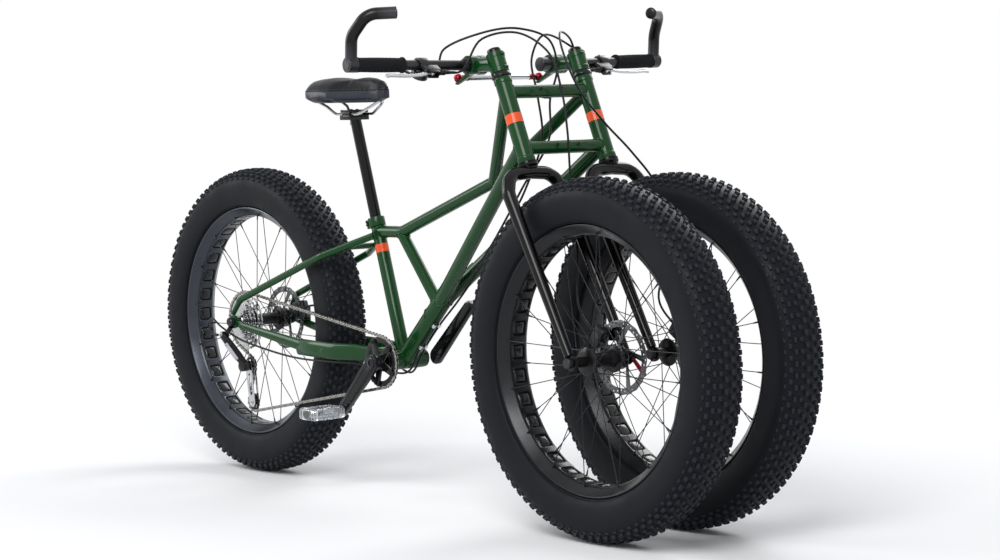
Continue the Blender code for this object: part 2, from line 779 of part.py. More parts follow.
def chainstay_sections(side):
    """Oval sections from the dropout: thin, then tall along the wheel, then turned in to the shell."""
    level = BOTTOM_BRACKET.z + CHAINSTAY_FRONT_LEVEL
    end_y = REAR_HUB_WIDTH / 2 + DROPOUT_THICKNESS / 2
    bend_x = REAR_AXLE.x + CHAINSTAY_BEND_AHEAD
    turn_x = BOTTOM_BRACKET.x - CHAINSTAY_TURN_IN_BACK
    places = [
        (REAR_AXLE.x + 0.0125, end_y, REAR_AXLE.z - 0.004, 0.0030, CHAINSTAY_END_HALF * 0.8),
        (REAR_AXLE.x + 0.036, end_y, REAR_AXLE.z - 0.008, 0.0060, CHAINSTAY_END_HALF),
        (bend_x - 0.010, CHAINSTAY_WIDE_Y + 0.001, level + 0.006, CHAINSTAY_HALF_WIDTH, CHAINSTAY_TAPER_HALF),
        (bend_x, CHAINSTAY_WIDE_Y, level + 0.003, CHAINSTAY_HALF_WIDTH, CHAINSTAY_HALF_HEIGHT),
        (turn_x, CHAINSTAY_WIDE_Y, level, CHAINSTAY_HALF_WIDTH, CHAINSTAY_HALF_HEIGHT),
        (turn_x + 0.080, CHAINSTAY_WIDE_Y - 0.020, level, CHAINSTAY_HALF_WIDTH, CHAINSTAY_HALF_HEIGHT),
        (BOTTOM_BRACKET.x - 0.020, CHAINSTAY_FRONT_Y, level - 0.002, CHAINSTAY_HALF_WIDTH, CHAINSTAY_TAPER_HALF),
        (BOTTOM_BRACKET.x, CHAINSTAY_FRONT_Y - 0.004, level - 0.004, CHAINSTAY_HALF_WIDTH, CHAINSTAY_TAPER_HALF),
    ]
    up = Vector((0, 0, 1))
    return [(Vector((x, side * y, z)), Y_AXIS, width, up, height) for x, y, z, width, height in places]


def build_chainstays():
    """Both chainstays with their dropouts and the short bridge behind the bottom bracket."""
    body = None
    for side in (RIGHT, LEFT):
        name = "chainstays" if body is None else "left_chainstay"
        stay = loft(name, chainstay_sections(side), sides=8)
        inner = REAR_HUB_WIDTH / 2 + SEAT_GAP
        stay = join(stay, dropout_plate(f"rear_dropout_{SIDE_NAMES[side]}", inner, side, REAR_AXLE))
        body = stay if body is None else join(body, stay)
    bridge_x = BOTTOM_BRACKET.x - CHAINSTAY_TURN_IN_BACK / 2
    level = BOTTOM_BRACKET.z + CHAINSTAY_FRONT_LEVEL
    ends = [Vector((bridge_x, side * (CHAINSTAY_WIDE_Y - 0.024), level)) for side in (RIGHT, LEFT)]
    body = join(body, cylinder("chainstay_bridge", ends[0], ends[1], 0.0085, sides=8))
    centre = caliper_centre(REAR_AXLE, REAR_HUB_WIDTH / 2, REAR_CALIPER_ANGLE)
    plate_y = centre.y + CALIPER_HALF_WIDTH + SEAT_GAP + CALIPER_TAB / 2
    plate = axes_at(Vector((centre.x - 0.001, plate_y, centre.z - 0.012)), Y_AXIS, Vector((0, 0, 1)))
    body = join(body, block("rear_caliper_tab", (0.044, 0.022, CALIPER_TAB), plate))
    half = Y_AXIS * (SHELL_WIDTH / 2 + 0.01)
    body = cut(
        body,
        grown("shell_space_stays", BOTTOM_BRACKET - half, BOTTOM_BRACKET + half, SHELL_RADIUS),
        axle_hole("rear_axle_hole", REAR_AXLE, REAR_HUB_WIDTH),
    )
    return settle(body, "green_paint")


def seatstay_route(side):
    """The centre line from the dropout, up, along the wheel and in to the seat tube."""
    end_y = REAR_HUB_WIDTH / 2 + DROPOUT_THICKNESS / 2
    top = on_seat_tube(SEATSTAY_TOP_ALONG)
    low = REAR_AXLE + Vector((-0.003, 0, DROPOUT_RADIUS + 0.003))
    bend = REAR_AXLE + Vector((0.026, 0, SEATSTAY_BEND_UP + 0.002))
    run = top - bend
    turn = top - run.normalized() * SEATSTAY_TURN_BACK
    return [
        Vector((low.x, side * end_y, low.z)),
        Vector((bend.x, side * (SEATSTAY_WIDE_Y + 0.006), bend.z)),
        Vector((turn.x, side * SEATSTAY_WIDE_Y * 0.93, turn.z)),
        Vector((top.x, side * SEAT_TUBE_RADIUS, top.z)),
    ]


def build_seatstays():
    """Both seatstays and their bridge over the tyre."""
    body = None
    for side in (RIGHT, LEFT):
        name = "seatstays" if body is None else "left_seatstay"
        route = rounded_route(seatstay_route(side), 0.035, steps=2)
        stay = tube(name, route, SEATSTAY_RADIUS, sides=8)
        body = stay if body is None else join(body, stay)
    turn, top = seatstay_route(LEFT)[2:]
    share = SEATSTAY_BRIDGE_BACK / (top - turn).length
    end = top.lerp(turn, share)
    bridge = cylinder(
        "seatstay_bridge",
        Vector((end.x, -end.y, end.z)),
        end,
        SEATSTAY_BRIDGE_RADIUS,
        sides=8,
    )
    body = join(body, bridge)
    spaces = [grown("seat_tube_space_stays", BOTTOM_BRACKET, on_seat_tube(SEAT_TUBE_LENGTH), SEAT_TUBE_RADIUS)]
    for side in (RIGHT, LEFT):
        start = REAR_AXLE + Y_AXIS * side * (REAR_HUB_WIDTH / 2 - 0.008)
        stop = start + Y_AXIS * side * (DROPOUT_THICKNESS + 0.020)
        spaces.append(grown(f"dropout_space_{SIDE_NAMES[side]}", start, stop, DROPOUT_RADIUS))
    return settle(cut(body, *spaces), "green_paint")


def build_headset_cup(side):
    """Upper bearing cup and cover of one head tube, seated on its top edge."""
    base = HEAD_TUBE_START + HEAD_TUBE_LENGTH + SEAT_GAP
    bore = STEERER_RADIUS + RUNNING_GAP
    profile = [
        (HEAD_TUBE_RADIUS + 0.001, 0.0),
        (CUP_RADIUS, 0.003),
        (CUP_RADIUS - 0.002, CUP_HEIGHT),
        (bore, CUP_HEIGHT),
        (bore, 0.0),
    ]
    name = f"headset_cup_{SIDE_NAMES[side]}"
    origin = on_steerer(side, base)
    return turned(name, profile, origin, STEER_UP, "black_aluminium", 16, closed=True)


def build_bottom_bracket():
    """Sealed bearing cartridge: a sleeve right through the shell with a lipped cup at each end."""
    half = SHELL_WIDTH / 2
    sleeve = SHELL_BORE - SEAT_GAP
    bore = SPINDLE_RADIUS + RUNNING_GAP
    lip = SHELL_RADIUS - 0.0005
    profile = [
        (lip, half + SEAT_GAP + 0.006),
        (lip, half + SEAT_GAP),
        (sleeve, half + SEAT_GAP),
        (sleeve, -half - SEAT_GAP),
        (lip, -half - SEAT_GAP),
        (lip, -half - SEAT_GAP - 0.006),
        (bore, -half - SEAT_GAP - 0.006),
        (bore, half + SEAT_GAP + 0.006),
    ]
    return turned("bottom_bracket", profile, BOTTOM_BRACKET, Y_AXIS, "black_aluminium", 16, closed=True)


# Seat


def build_seat_collar():
    """Split clamp round the top of the seat tube, with its bolt behind."""
    base = on_seat_tube(SEAT_TUBE_LENGTH - COLLAR_HEIGHT)
    top = on_seat_tube(SEAT_TUBE_LENGTH)
    body = cylinder("seat_collar", base, top, COLLAR_RADIUS, sides=18)
    middle = (base + top) / 2
    back = SEAT_DIRECTION.cross(Y_AXIS).normalized()
    if back.x > 0:
        back = -back
    ear = axes_at(middle + back * (COLLAR_RADIUS + 0.003), SEAT_DIRECTION, back)
    body = join(body, block("collar_ears", (0.014, 0.016, COLLAR_HEIGHT * 0.8), ear))
    bolt_place = middle + back * (COLLAR_RADIUS + 0.004)
    half = Y_AXIS * 0.013
    body = join(body, cylinder("collar_bolt", bolt_place - half, bolt_place + half, 0.0034, sides=8))
    slot = axes_at(middle + back * (COLLAR_RADIUS + 0.001), SEAT_DIRECTION, back)
    reach = SEAT_DIRECTION * 0.02
    body = cut(
        body,
        block("collar_slot", (0.014, COLLAR_SLOT, COLLAR_HEIGHT * 2), slot),
        cylinder("collar_bore", base - reach, top + reach, SEAT_TUBE_RADIUS + SEAT_GAP, sides=20),
    )
    return settle(body, "green_paint")


def seat_clamp_centre():
    return on_seat_tube(SEAT_TUBE_LENGTH - SEATPOST_INSERT + SEATPOST_LENGTH)


def build_seatpost():
    """Seatpost with its rail clamp and clamp bolts."""
    low = on_seat_tube(SEAT_TUBE_LENGTH - SEATPOST_INSERT)
    clamp = seat_clamp_centre()
    neck = clamp - SEAT_DIRECTION * 0.014
    body = cylinder("seatpost", low, neck, SEATPOST_RADIUS, sides=16)
    width = 2 * RAIL_HALF_SPREAD + 0.014
    below = Matrix.Translation(clamp + Vector((0, 0, -0.0085)))
    above = Matrix.Translation(clamp + Vector((0, 0, 0.0068)))
    body = join(
        body,
        block("clamp_cradle", (0.040, width, 0.011), below),
        block("clamp_cap", (0.034, width, 0.0070), above),
    )
    for place in (-0.012, 0.012):
        low_end, high_end = clamp + Vector((place, 0, -0.026)), clamp + Vector((place, 0, 0.012))
        body = join(body, cylinder(f"clamp_bolt_{place}", low_end, high_end, 0.0040, sides=8))
    reach = Vector((0.05, 0, 0))
    bore = RAIL_RADIUS + 2 * SEAT_GAP
    for side in (RIGHT, LEFT):
        middle = clamp + Y_AXIS * side * RAIL_HALF_SPREAD
        seat = cylinder(f"rail_seat_{SIDE_NAMES[side]}", middle - reach, middle + reach, bore, sides=8)
        body = cut(body, seat)
    return settle(body, "black_aluminium")


def saddle_base_level():
    return seat_clamp_centre().z + SADDLE_ABOVE_CLAMP


def build_saddle_rails():
    """One bent wire: two rails that meet under the nose."""
    clamp = seat_clamp_centre()
    level = saddle_base_level()
    rear = clamp.x - SADDLE_REAR_BEHIND
    rest = level - RAIL_RADIUS - SEAT_GAP
    route = []
    for side in (LEFT, RIGHT):
        corners = [
            Vector((rear + 0.030, side * 0.034, rest)),
            Vector((rear + 0.060, side * 0.030, rest - 0.012)),
            Vector((clamp.x - 0.045, side * RAIL_HALF_SPREAD, clamp.z)),
            Vector((clamp.x + 0.045, side * RAIL_HALF_SPREAD, clamp.z)),
            Vector((clamp.x + 0.090, side * 0.012, rest - 0.010)),
            Vector((clamp.x + 0.108, side * 0.006, rest)),
        ]
        route += corners if side == LEFT else list(reversed(corners))
    points = rounded_route(route, 0.012, steps=1)
    return tube("saddle_rails", points, RAIL_RADIUS, "bare_steel", sides=6)


def saddle_half_width(along):
    """Half width of the saddle at a share of its length, counted from the rear."""
    if along < 0.16:
        return SADDLE_HALF_WIDTH * (0.80 + 0.20 * math.sin(math.pi / 2 * along / 0.16))
    if along < 0.34:
        return SADDLE_HALF_WIDTH
    fall = (along - 0.34) / 0.66
    ease = fall * fall * (3 - 2 * fall)
    return SADDLE_HALF_WIDTH + (SADDLE_NOSE_HALF - SADDLE_HALF_WIDTH) * ease ** 0.72


def build_saddle():
    """Padded saddle: raised rear, shallow dip, drooping sides drawn in towards the base, rounded nose."""
    level = saddle_base_level()
    rear = seat_clamp_centre().x - SADDLE_REAR_BEHIND
    stations = [0.0, 0.04, 0.12, 0.26, 0.40, 0.54, 0.68, 0.82, 0.94, 1.0]
    across = 12
    bm = bmesh.new()
    rings = []
    for along in stations:
        x = rear + SADDLE_LENGTH * along
        closing = 0.55 if along in (0.0, 1.0) else 1.0
        width = saddle_half_width(along) * closing
        crown = SADDLE_DEPTH - SADDLE_DIP * math.exp(-(((along - 0.52) / 0.20) ** 2))
        if along == 0.0:
            crown *= 0.66
        if along > 0.9:
            crown *= 0.90 if along < 1.0 else 0.66
        side_drop = 0.45
        ring = []
        for i in range(across):
            angle = math.pi * i / (across - 1)
            c, s = math.cos(angle), math.sin(angle)
            y = width * math.copysign(abs(c) ** 0.75, c)
            lift = crown * (side_drop * (1 - abs(c) ** 2.2) + (1 - side_drop) * s ** 0.55)
            ring.append(bm.verts.new((x, y, level + max(lift, 0.0))))
        for inset in (-0.62, 0.62):
            ring.append(bm.verts.new((x, inset * width, level)))
        rings.append(ring)
    count = len(rings[0])
    for first, second in zip(rings, rings[1:]):
        for i in range(count):
            j = (i + 1) % count
            bm.faces.new((first[i], first[j], second[j], second[i]))
    bm.faces.new(rings[0])
    bm.faces.new(list(reversed(rings[-1])))
    saddle = from_bmesh("saddle", bm, "black_leather")
    return smooth(saddle, math.radians(60))


# Wheels


def tyre_profile():
    """The tyre's section as (radius, across) points, from the bead round the tread and back."""
    flat = math.cos(math.pi / TYRE_STEPS)
    crown = (TYRE_RADIUS - TREAD_DEPTH) / flat
    half = [
        ((RIM_BED_RADIUS + SEAT_GAP) / flat, RIM_WINDOW_HALF - 2 * SEAT_GAP),
        ((RIM_EDGE_RADIUS + 2 * SEAT_GAP) / flat, RIM_HALF_WIDTH - RIM_WALL - 2 * SEAT_GAP),
        ((RIM_EDGE_RADIUS + crown) / 2 + 0.006, TYRE_HALF_WIDTH),
        (crown - 0.0085, TREAD_HALF_WIDTH),
        (crown, TREAD_CROWN_HALF),
    ]
    return half + [(radius, -across) for radius, across in reversed(half)]


def build_tyre(name, axle):
    """Fat tyre with raised tread blocks: a crown row and a row each side of it, half a step apart."""
    tyre = as_mesh(turned(name, tyre_profile(), axle, Y_AXIS, None, TYRE_STEPS, closed=True))
    bm = bmesh.new()
    bm.from_mesh(tyre.data)
    limit = TYRE_RADIUS - TREAD_DEPTH - 0.0090
    crown_faces, side_faces = [], []
    for face in bm.faces:
        centre = face.calc_center_median()
        radius = math.hypot(centre.x, centre.y)
        if radius < limit:
            continue
        step = round((math.atan2(centre.y, centre.x) / (2 * math.pi)) * TYRE_STEPS - 0.5) % 2
        crown = abs(centre.z) < TREAD_CROWN_HALF * 0.5
        if crown and step == TYRE_STEPS // 4 % 2:
            crown_faces.append(face)
        if not crown and step != TYRE_STEPS // 4 % 2:
            side_faces.append(face)
    for faces, depth in ((crown_faces, TREAD_DEPTH), (side_faces, TREAD_DEPTH * 0.9)):
        lifted = bmesh.ops.extrude_discrete_faces(bm, faces=faces)["faces"]
        for face in lifted:
            centre = face.calc_center_median()
            normal = face.normal.copy()
            for vert in face.verts:
                vert.co = centre + (vert.co - centre) * 0.82 + normal * depth
    bm.to_mesh(tyre.data)
    bm.free()
    turn = Matrix.Rotation(-math.pi / TYRE_STEPS, 4, "Y")
    tyre.matrix_world = Matrix.Translation(axle) @ turn @ Matrix.Translation(-axle) @ tyre.matrix_world
    tyre.data.materials.append(finish("black_rubber"))
    return smooth(tyre, math.radians(25))


def rim_profile():
    """The rim's channel section as (radius, across) points."""
    outer_bed = RIM_BED_RADIUS - RIM_WALL
    half_outer = [(RIM_EDGE_RADIUS, RIM_HALF_WIDTH), (outer_bed, RIM_WINDOW_HALF)]
    half_inner = [(RIM_BED_RADIUS, RIM_WINDOW_HALF), (RIM_EDGE_RADIUS, RIM_HALF_WIDTH - RIM_WALL)]
    outer = half_outer + [(radius, -across) for radius, across in reversed(half_outer)]
    inner = [(radius, -across) for radius, across in reversed(half_inner)] + half_inner
    return outer + inner


def build_rim(name, axle, colour):
    """Single wall rim with a row of windows through its bed."""
    steps = 2 * RIM_WINDOWS
    rim = as_mesh(turned(name, rim_profile(), axle, Y_AXIS, None, steps, closed=True))
    bm = bmesh.new()
    bm.from_mesh(rim.data)
    windows = {}
    for face in bm.faces:
        centre = face.calc_center_median()
        if abs(centre.z) > RIM_WINDOW_HALF * 0.2 or math.hypot(centre.x, centre.y) > RIM_BED_RADIUS + 0.001:
            continue
        step = round((math.atan2(centre.y, centre.x) / (2 * math.pi)) * steps - 0.5) % steps
        if step % 2:
            windows.setdefault(step, []).append(face)
    pairs = []
    for faces in windows.values():
        pairs.append([[edge for edge in face.edges] for face in faces])
    doomed = [face for faces in windows.values() for face in faces]
    bmesh.ops.delete(bm, geom=doomed, context="FACES_ONLY")
    for first, second in pairs:
        bmesh.ops.bridge_loops(bm, edges=first + second)
    edge_pairs = {}
    rim_edge = [v for v in bm.verts if math.hypot(v.co.x, v.co.y) > RIM_EDGE_RADIUS - 0.001]
    for vert in rim_edge:
        step = round(math.atan2(vert.co.y, vert.co.x) / (2 * math.pi) * steps) % steps
        edge_pairs[(step, round(vert.co.z, 5))] = vert
    targets = {vert: edge_pairs[(step - 1, z)] for (step, z), vert in edge_pairs.items() if step % 2}
    bmesh.ops.weld_verts(bm, targetmap=targets)
    bmesh.ops.recalc_face_normals(bm, faces=bm.faces)
    bm.to_mesh(rim.data)
    bm.free()
    rim.data.materials.append(finish(colour))
    return smooth(rim, math.radians(25))


def build_hub(name, axle, half_width, flange_left, flange_right, disc_y):
    """Hub shell with its two flanges and the laced spokes, which end on the rim's walls."""
    bore = AXLE_RADIUS + RUNNING_GAP
    half_flange = HUB_FLANGE_THICKNESS / 2
    disc_seat = disc_y - DISC_THICKNESS / 2 - SEAT_GAP
    right_neck = FREEHUB_RADIUS
    profile = [
        (right_neck, -half_width + SEAT_GAP),
        (right_neck, flange_right - half_flange - 0.001),
        (HUB_FLANGE_RADIUS, flange_right - half_flange),
        (HUB_FLANGE_RADIUS, flange_right + half_flange),
        (HUB_SHELL_RADIUS, flange_right + 0.008),
        (HUB_SHELL_RADIUS, flange_left - 0.008),
        (HUB_FLANGE_RADIUS, flange_left - half_flange),
        (HUB_FLANGE_RADIUS, flange_left + half_flange),
        (DISC_CENTRE_RADIUS - 0.003, disc_seat),
        (DISC_BORE - SEAT_GAP, disc_seat),
        (DISC_BORE - SEAT_GAP, half_width - SEAT_GAP),
        (bore, half_width - SEAT_GAP),
        (bore, -half_width + SEAT_GAP),
    ]
    hub = as_mesh(turned(name, profile, axle, Y_AXIS, None, HUB_SIDES, closed=True))
    return settle(join(hub, build_spokes(name, axle, flange_left, flange_right)), "bare_steel")


def build_spokes(name, axle, flange_left, flange_right):
    """All of a wheel's spokes, as thin three-sided bars that end on the rim's sloped walls."""
    bm = bmesh.new()
    root = HUB_FLANGE_RADIUS - 0.0035
    bed = RIM_BED_RADIUS - RIM_WALL
    slope = (RIM_EDGE_RADIUS - bed) / (RIM_HALF_WIDTH - RIM_WINDOW_HALF)
    tip = bed + slope * SPOKE_SEAT_BESIDE - SPOKE_END_GAP
    for side, flange in ((LEFT, flange_left), (RIGHT, flange_right)):
        for i in range(SPOKES_PER_SIDE):
            lean = SPOKE_LEAN * (1 if i % 2 else -1)
            angle = 2 * math.pi * (i + (0.25 if side == LEFT else 0.75)) / SPOKES_PER_SIDE
            offset = SPOKE_STAGGER * (1 if i % 2 else -1)
            start = Vector((root * math.cos(angle - lean), flange + offset, root * math.sin(angle - lean)))
            rim_y = side * (RIM_WINDOW_HALF + SPOKE_SEAT_BESIDE)
            end = Vector((tip * math.cos(angle), rim_y + offset, tip * math.sin(angle)))
            length = (end - start).length
            matrix = axes_at(axle + start, end - start) @ Matrix.Translation((0, 0, length / 2))
            bmesh.ops.create_cone(
                bm,
                cap_ends=True,
                segments=3,
                radius1=SPOKE_RADIUS,
                radius2=SPOKE_RADIUS,
                depth=length,
                matrix=matrix,
            )
    return from_bmesh(f"{name}_spokes", bm)


def build_disc(name, axle, disc_y):
    """Brake disc: a drilled band on swept arms round a centre ring."""
    band_inner = DISC_RADIUS - DISC_BAND
    arm_gap = math.pi / DISC_ARMS
    outlines = [circle_points(DISC_RADIUS, 25), circle_points(DISC_BORE, 12)]
    for arm in range(DISC_ARMS):
        start = 2 * math.pi * arm / DISC_ARMS
        window = []
        for i in range(4):
            angle = start + 0.10 + (2 * arm_gap - 0.26) * i / 3
            window.append((band_inner * math.cos(angle), band_inner * math.sin(angle)))
        for i in range(2):
            angle = start - 0.42 + (2 * arm_gap - 0.52) * (1 - i)
            window.append((DISC_CENTRE_RADIUS * math.cos(angle), DISC_CENTRE_RADIUS * math.sin(angle)))
        outlines.append(window)
    matrix = axes_at(axle + Y_AXIS * disc_y, Y_AXIS)
    disc = outline_plate(name, outlines, DISC_THICKNESS, matrix)
    return settle(disc, "bare_steel")


def build_axle(name, axle, half_span, lever_direction, colour):
    """Quick release axle: rod, end nuts and a lever that lies along the dropout."""
    reach = half_span + 2 * SEAT_GAP
    end = reach + AXLE_NUT_LENGTH
    tip = AXLE_NUT_RADIUS * 0.75
    profile = [
        (0.0, -end),
        (tip, -end),
        (AXLE_NUT_RADIUS, -reach),
        (AXLE_RADIUS, -reach),
        (AXLE_RADIUS, reach),
        (AXLE_NUT_RADIUS, reach),
        (tip, end),
        (0.0, end),
    ]
    body = as_mesh(turned(name, profile, axle, Y_AXIS, None, 10))
    outer = axle + Y_AXIS * (reach + AXLE_NUT_LENGTH * 0.62)
    tip = outer + Vector(lever_direction) * QUICK_LEVER_LENGTH
    lever = cylinder(f"{name}_lever", outer, tip, 0.0040, sides=8, end_radius=0.0052)
    return settle(join(body, lever), colour)


def build_wheel(prefix, axle, half_hub, flange_left, flange_right, rim_colour):
    """Tyre, rim, laced hub and brake disc of one wheel."""
    disc_y = half_hub - DISC_INSET
    return [
        build_tyre(f"{prefix}_tyre", axle),
        build_rim(f"{prefix}_rim", axle, rim_colour),
        build_hub(f"{prefix}_hub", axle, half_hub, flange_left, flange_right, disc_y),
        build_disc(f"{prefix}_brake_disc", axle, disc_y),
    ]


# Drive


def pitch_radius(teeth):
    return CHAIN_PITCH / (2 * math.sin(math.pi / teeth))


def guide_pulley_centre():
    return Vector((REAR_AXLE.x - GUIDE_PULLEY_BEHIND, COG_Y, REAR_AXLE.z - GUIDE_PULLEY_BELOW))


def tension_pulley_centre():
    swing = Vector((math.cos(CAGE_ANGLE), 0, math.sin(CAGE_ANGLE)))
    return guide_pulley_centre() + swing * CAGE_LENGTH


def chain_wheels():
    """The circles that the chain runs round, in its order: centre, pitch radius, turning sense."""
    ring = Vector((BOTTOM_BRACKET.x, CHAINRING_Y, BOTTOM_BRACKET.z))
    cog = Vector((REAR_AXLE.x, COG_Y, REAR_AXLE.z))
    return [
        (ring, pitch_radius(CHAINRING_TEETH), 1),
        (tension_pulley_centre(), pitch_radius(PULLEY_TEETH), 1),
        (guide_pulley_centre(), pitch_radius(PULLEY_TEETH), -1),
        (cog, pitch_radius(COG_TEETH), 1),
    ]


def tangent_angles(first, second):
    """The angles at which a straight run leaves one circle and meets the next, in the XZ plane."""
    (a, radius_a, sense_a), (b, radius_b, sense_b) = first, second
    gap = Vector((b.x - a.x, b.z - a.z))
    heading = math.atan2(gap.y, gap.x)
    lean = math.asin((radius_a * sense_a - radius_b * sense_b) / gap.length)
    leave = heading + sense_a * math.pi / 2 if sense_a > 0 else heading - math.pi / 2
    leave_angle = leave - lean
    meet = heading + sense_b * math.pi / 2 if sense_b > 0 else heading - math.pi / 2
    meet_angle = meet - lean
    return leave_angle, meet_angle


def chain_route():
    """Points along the chain's pitch line in the sense in which it moves, one for each pitch round a wheel."""
    wheels = chain_wheels()
    count = len(wheels)
    runs = [tangent_angles(wheels[i], wheels[(i + 1) % count]) for i in range(count)]
    points = []
    for i, (centre, radius, sense) in enumerate(wheels):
        arrive = runs[i - 1][1]
        leave = runs[i][0]
        sweep = (arrive - leave) % (2 * math.pi) if sense > 0 else (leave - arrive) % (2 * math.pi)
        steps = max(3, round(sweep * radius / CHAIN_PITCH))
        arc = []
        for k in range(steps + 1):
            angle = arrive - sense * sweep * k / steps
            arc.append(centre + Vector((math.cos(angle), 0, math.sin(angle))) * radius)
        points += arc
    return points


def build_chain():
    """The chain as one closed band, with a groove that clears the teeth at each wheel."""
    points = chain_route()
    count = len(points)
    half, rise = CHAIN_WIDTH / 2, CHAIN_HEIGHT / 2
    bm = bmesh.new()
    rings = []
    for i, point in enumerate(points):
        before = (point - points[i - 1]).normalized()
        after = (points[(i + 1) % count] - point).normalized()
        out = (before + after).normalized().cross(Y_AXIS).normalized()
        corners = [(half, rise), (half, -rise), (-half, -rise), (-half, rise)]
        rings.append([bm.verts.new(point + Y_AXIS * a + out * b) for a, b in corners])
    for first, second in zip(rings, rings[1:] + rings[:1]):
        for k in range(4):
            m = (k + 1) % 4
            bm.faces.new((first[k], first[m], second[m], second[k]))
    body = from_bmesh("chain", bm)
    sides = (26, 12, 12, 30)
    for name, (centre, radius, _), count in zip(("ring", "tension", "guide", "cog"), chain_wheels(), sides):
        width = Y_AXIS * CHAIN_GROOVE / 2
        reach = (radius + TOOTH_REACH + RUNNING_GAP) / math.cos(math.pi / count)
        groove = cylinder(f"{name}_groove", centre - width, centre + width, reach, sides=count)
        body = cut(body, groove)
    return settle(body, "bare_steel")


def toothed_outline(teeth, tip, root, phase=0.0):
    """A sprocket's outline, a point at each tooth's tip and at each root."""
    step = math.pi / teeth
    points = []
    for i in range(2 * teeth):
        radius = root if i % 2 else tip
        points.append((radius * math.cos(phase + step * i), radius * math.sin(phase + step * i)))
    return points


def build_chainring():
    """Chainring with its teeth and five windows between the bolts."""
    centre = Vector((BOTTOM_BRACKET.x, CHAINRING_Y, BOTTOM_BRACKET.z))
    radius = pitch_radius(CHAINRING_TEETH)
    outlines = [toothed_outline(CHAINRING_TEETH, radius + TOOTH_REACH, radius - 0.0040)]
    outlines.append(circle_points(SPIDER_SEAT_RADIUS, 15))
    ring = outline_plate("chainring", outlines, SPROCKET_THICKNESS, axes_at(centre, Y_AXIS))
    return settle(ring, "black_aluminium")


def crank_arm(name, side):
    """One forged arm from the spindle boss to the pedal eye, tapered, with rounded ends."""
    angle = CRANK_ANGLE if side == RIGHT else CRANK_ANGLE - math.pi
    end = (CRANK_LENGTH * math.cos(angle), CRANK_LENGTH * math.sin(angle))
    outline = capsule_outline((0, 0), end, CRANK_BOSS_RADIUS, CRANK_END_RADIUS)
    middle = BOTTOM_BRACKET + Y_AXIS * side * (CRANK_INNER_Y + CRANK_THICKNESS / 2)
    matrix = Matrix.Translation(middle) @ Matrix.Rotation(math.pi / 2, 4, "X")
    arm = as_mesh(outline_plate(name, [outline], CRANK_THICKNESS, matrix))
    rounding = arm.modifiers.new("rounding", "BEVEL")
    rounding.width = 0.0025
    rounding.segments = 1
    rounding.limit_method = "ANGLE"
    rounding.angle_limit = math.radians(50)
    return arm


def crank_end(side):
    angle = CRANK_ANGLE if side == RIGHT else CRANK_ANGLE - math.pi
    return BOTTOM_BRACKET + Vector((math.cos(angle), 0, math.sin(angle))) * CRANK_LENGTH


def build_crank_right():
    """Right arm with the spindle through the bottom bracket and the five-armed spider for the chainring."""
    arm = crank_arm("crank_right", RIGHT)
    inner = BOTTOM_BRACKET - Y_AXIS * (CRANK_INNER_Y + 0.002)
    spindle_end = BOTTOM_BRACKET + Y_AXIS * (CRANK_INNER_Y - SEAT_GAP)
    spindle = cylinder("spindle", inner, spindle_end, SPINDLE_RADIUS, sides=16)
    boss_start = BOTTOM_BRACKET - Y_AXIS * (SHELL_WIDTH / 2 + 0.006 + 3 * SEAT_GAP + 0.001)
    boss = cylinder("spindle_boss", boss_start, inner, SPINDLE_RADIUS + 0.004, sides=16)
    arm = join(arm, spindle, boss)
    spider_y = CHAINRING_Y - SPROCKET_THICKNESS / 2 - SEAT_GAP
    hub = Vector((BOTTOM_BRACKET.x, 0, BOTTOM_BRACKET.z))
    for i in range(5):
        angle = CRANK_ANGLE + math.pi / 5 + 2 * math.pi * i / 5
        out = Vector((math.cos(angle), 0, math.sin(angle)))
        middle = hub + out * (SPIDER_RADIUS / 2) + Y_AXIS * (spider_y - 0.0028)
        arm = join(arm, block(f"spider_arm_{i}", (SPIDER_RADIUS, 0.013, 0.0055), axes_at(middle, Y_AXIS, out)))
    cap_start = BOTTOM_BRACKET - Y_AXIS * (CRANK_INNER_Y + CRANK_THICKNESS - 0.001)
    cap = cylinder("crank_bolt_cap", cap_start, cap_start - Y_AXIS * 0.0035, 0.0095, sides=12)
    arm = join(arm, cap)
    end = crank_end(RIGHT)
    hole = cylinder(
        "right_pedal_eye", end, end - Y_AXIS * 0.2, PEDAL_SPINDLE_RADIUS + SEAT_GAP + RUNNING_GAP, sides=12
    )
    return settle(cut(arm, hole), "black_aluminium")


def build_crank_left():
    """Left arm, clamped on the spindle's end."""
    arm = crank_arm("crank_left", LEFT)
    cap_start = BOTTOM_BRACKET + Y_AXIS * (CRANK_INNER_Y + CRANK_THICKNESS - 0.001)
    arm = join(arm, cylinder("left_bolt_cap", cap_start, cap_start + Y_AXIS * 0.0035, 0.0095, sides=12))
    end = crank_end(LEFT)
    hole = cylinder(
        "left_pedal_eye", end, end + Y_AXIS * 0.2, PEDAL_SPINDLE_RADIUS + SEAT_GAP + RUNNING_GAP, sides=12
    )
    return settle(cut(arm, hole), "black_aluminium")


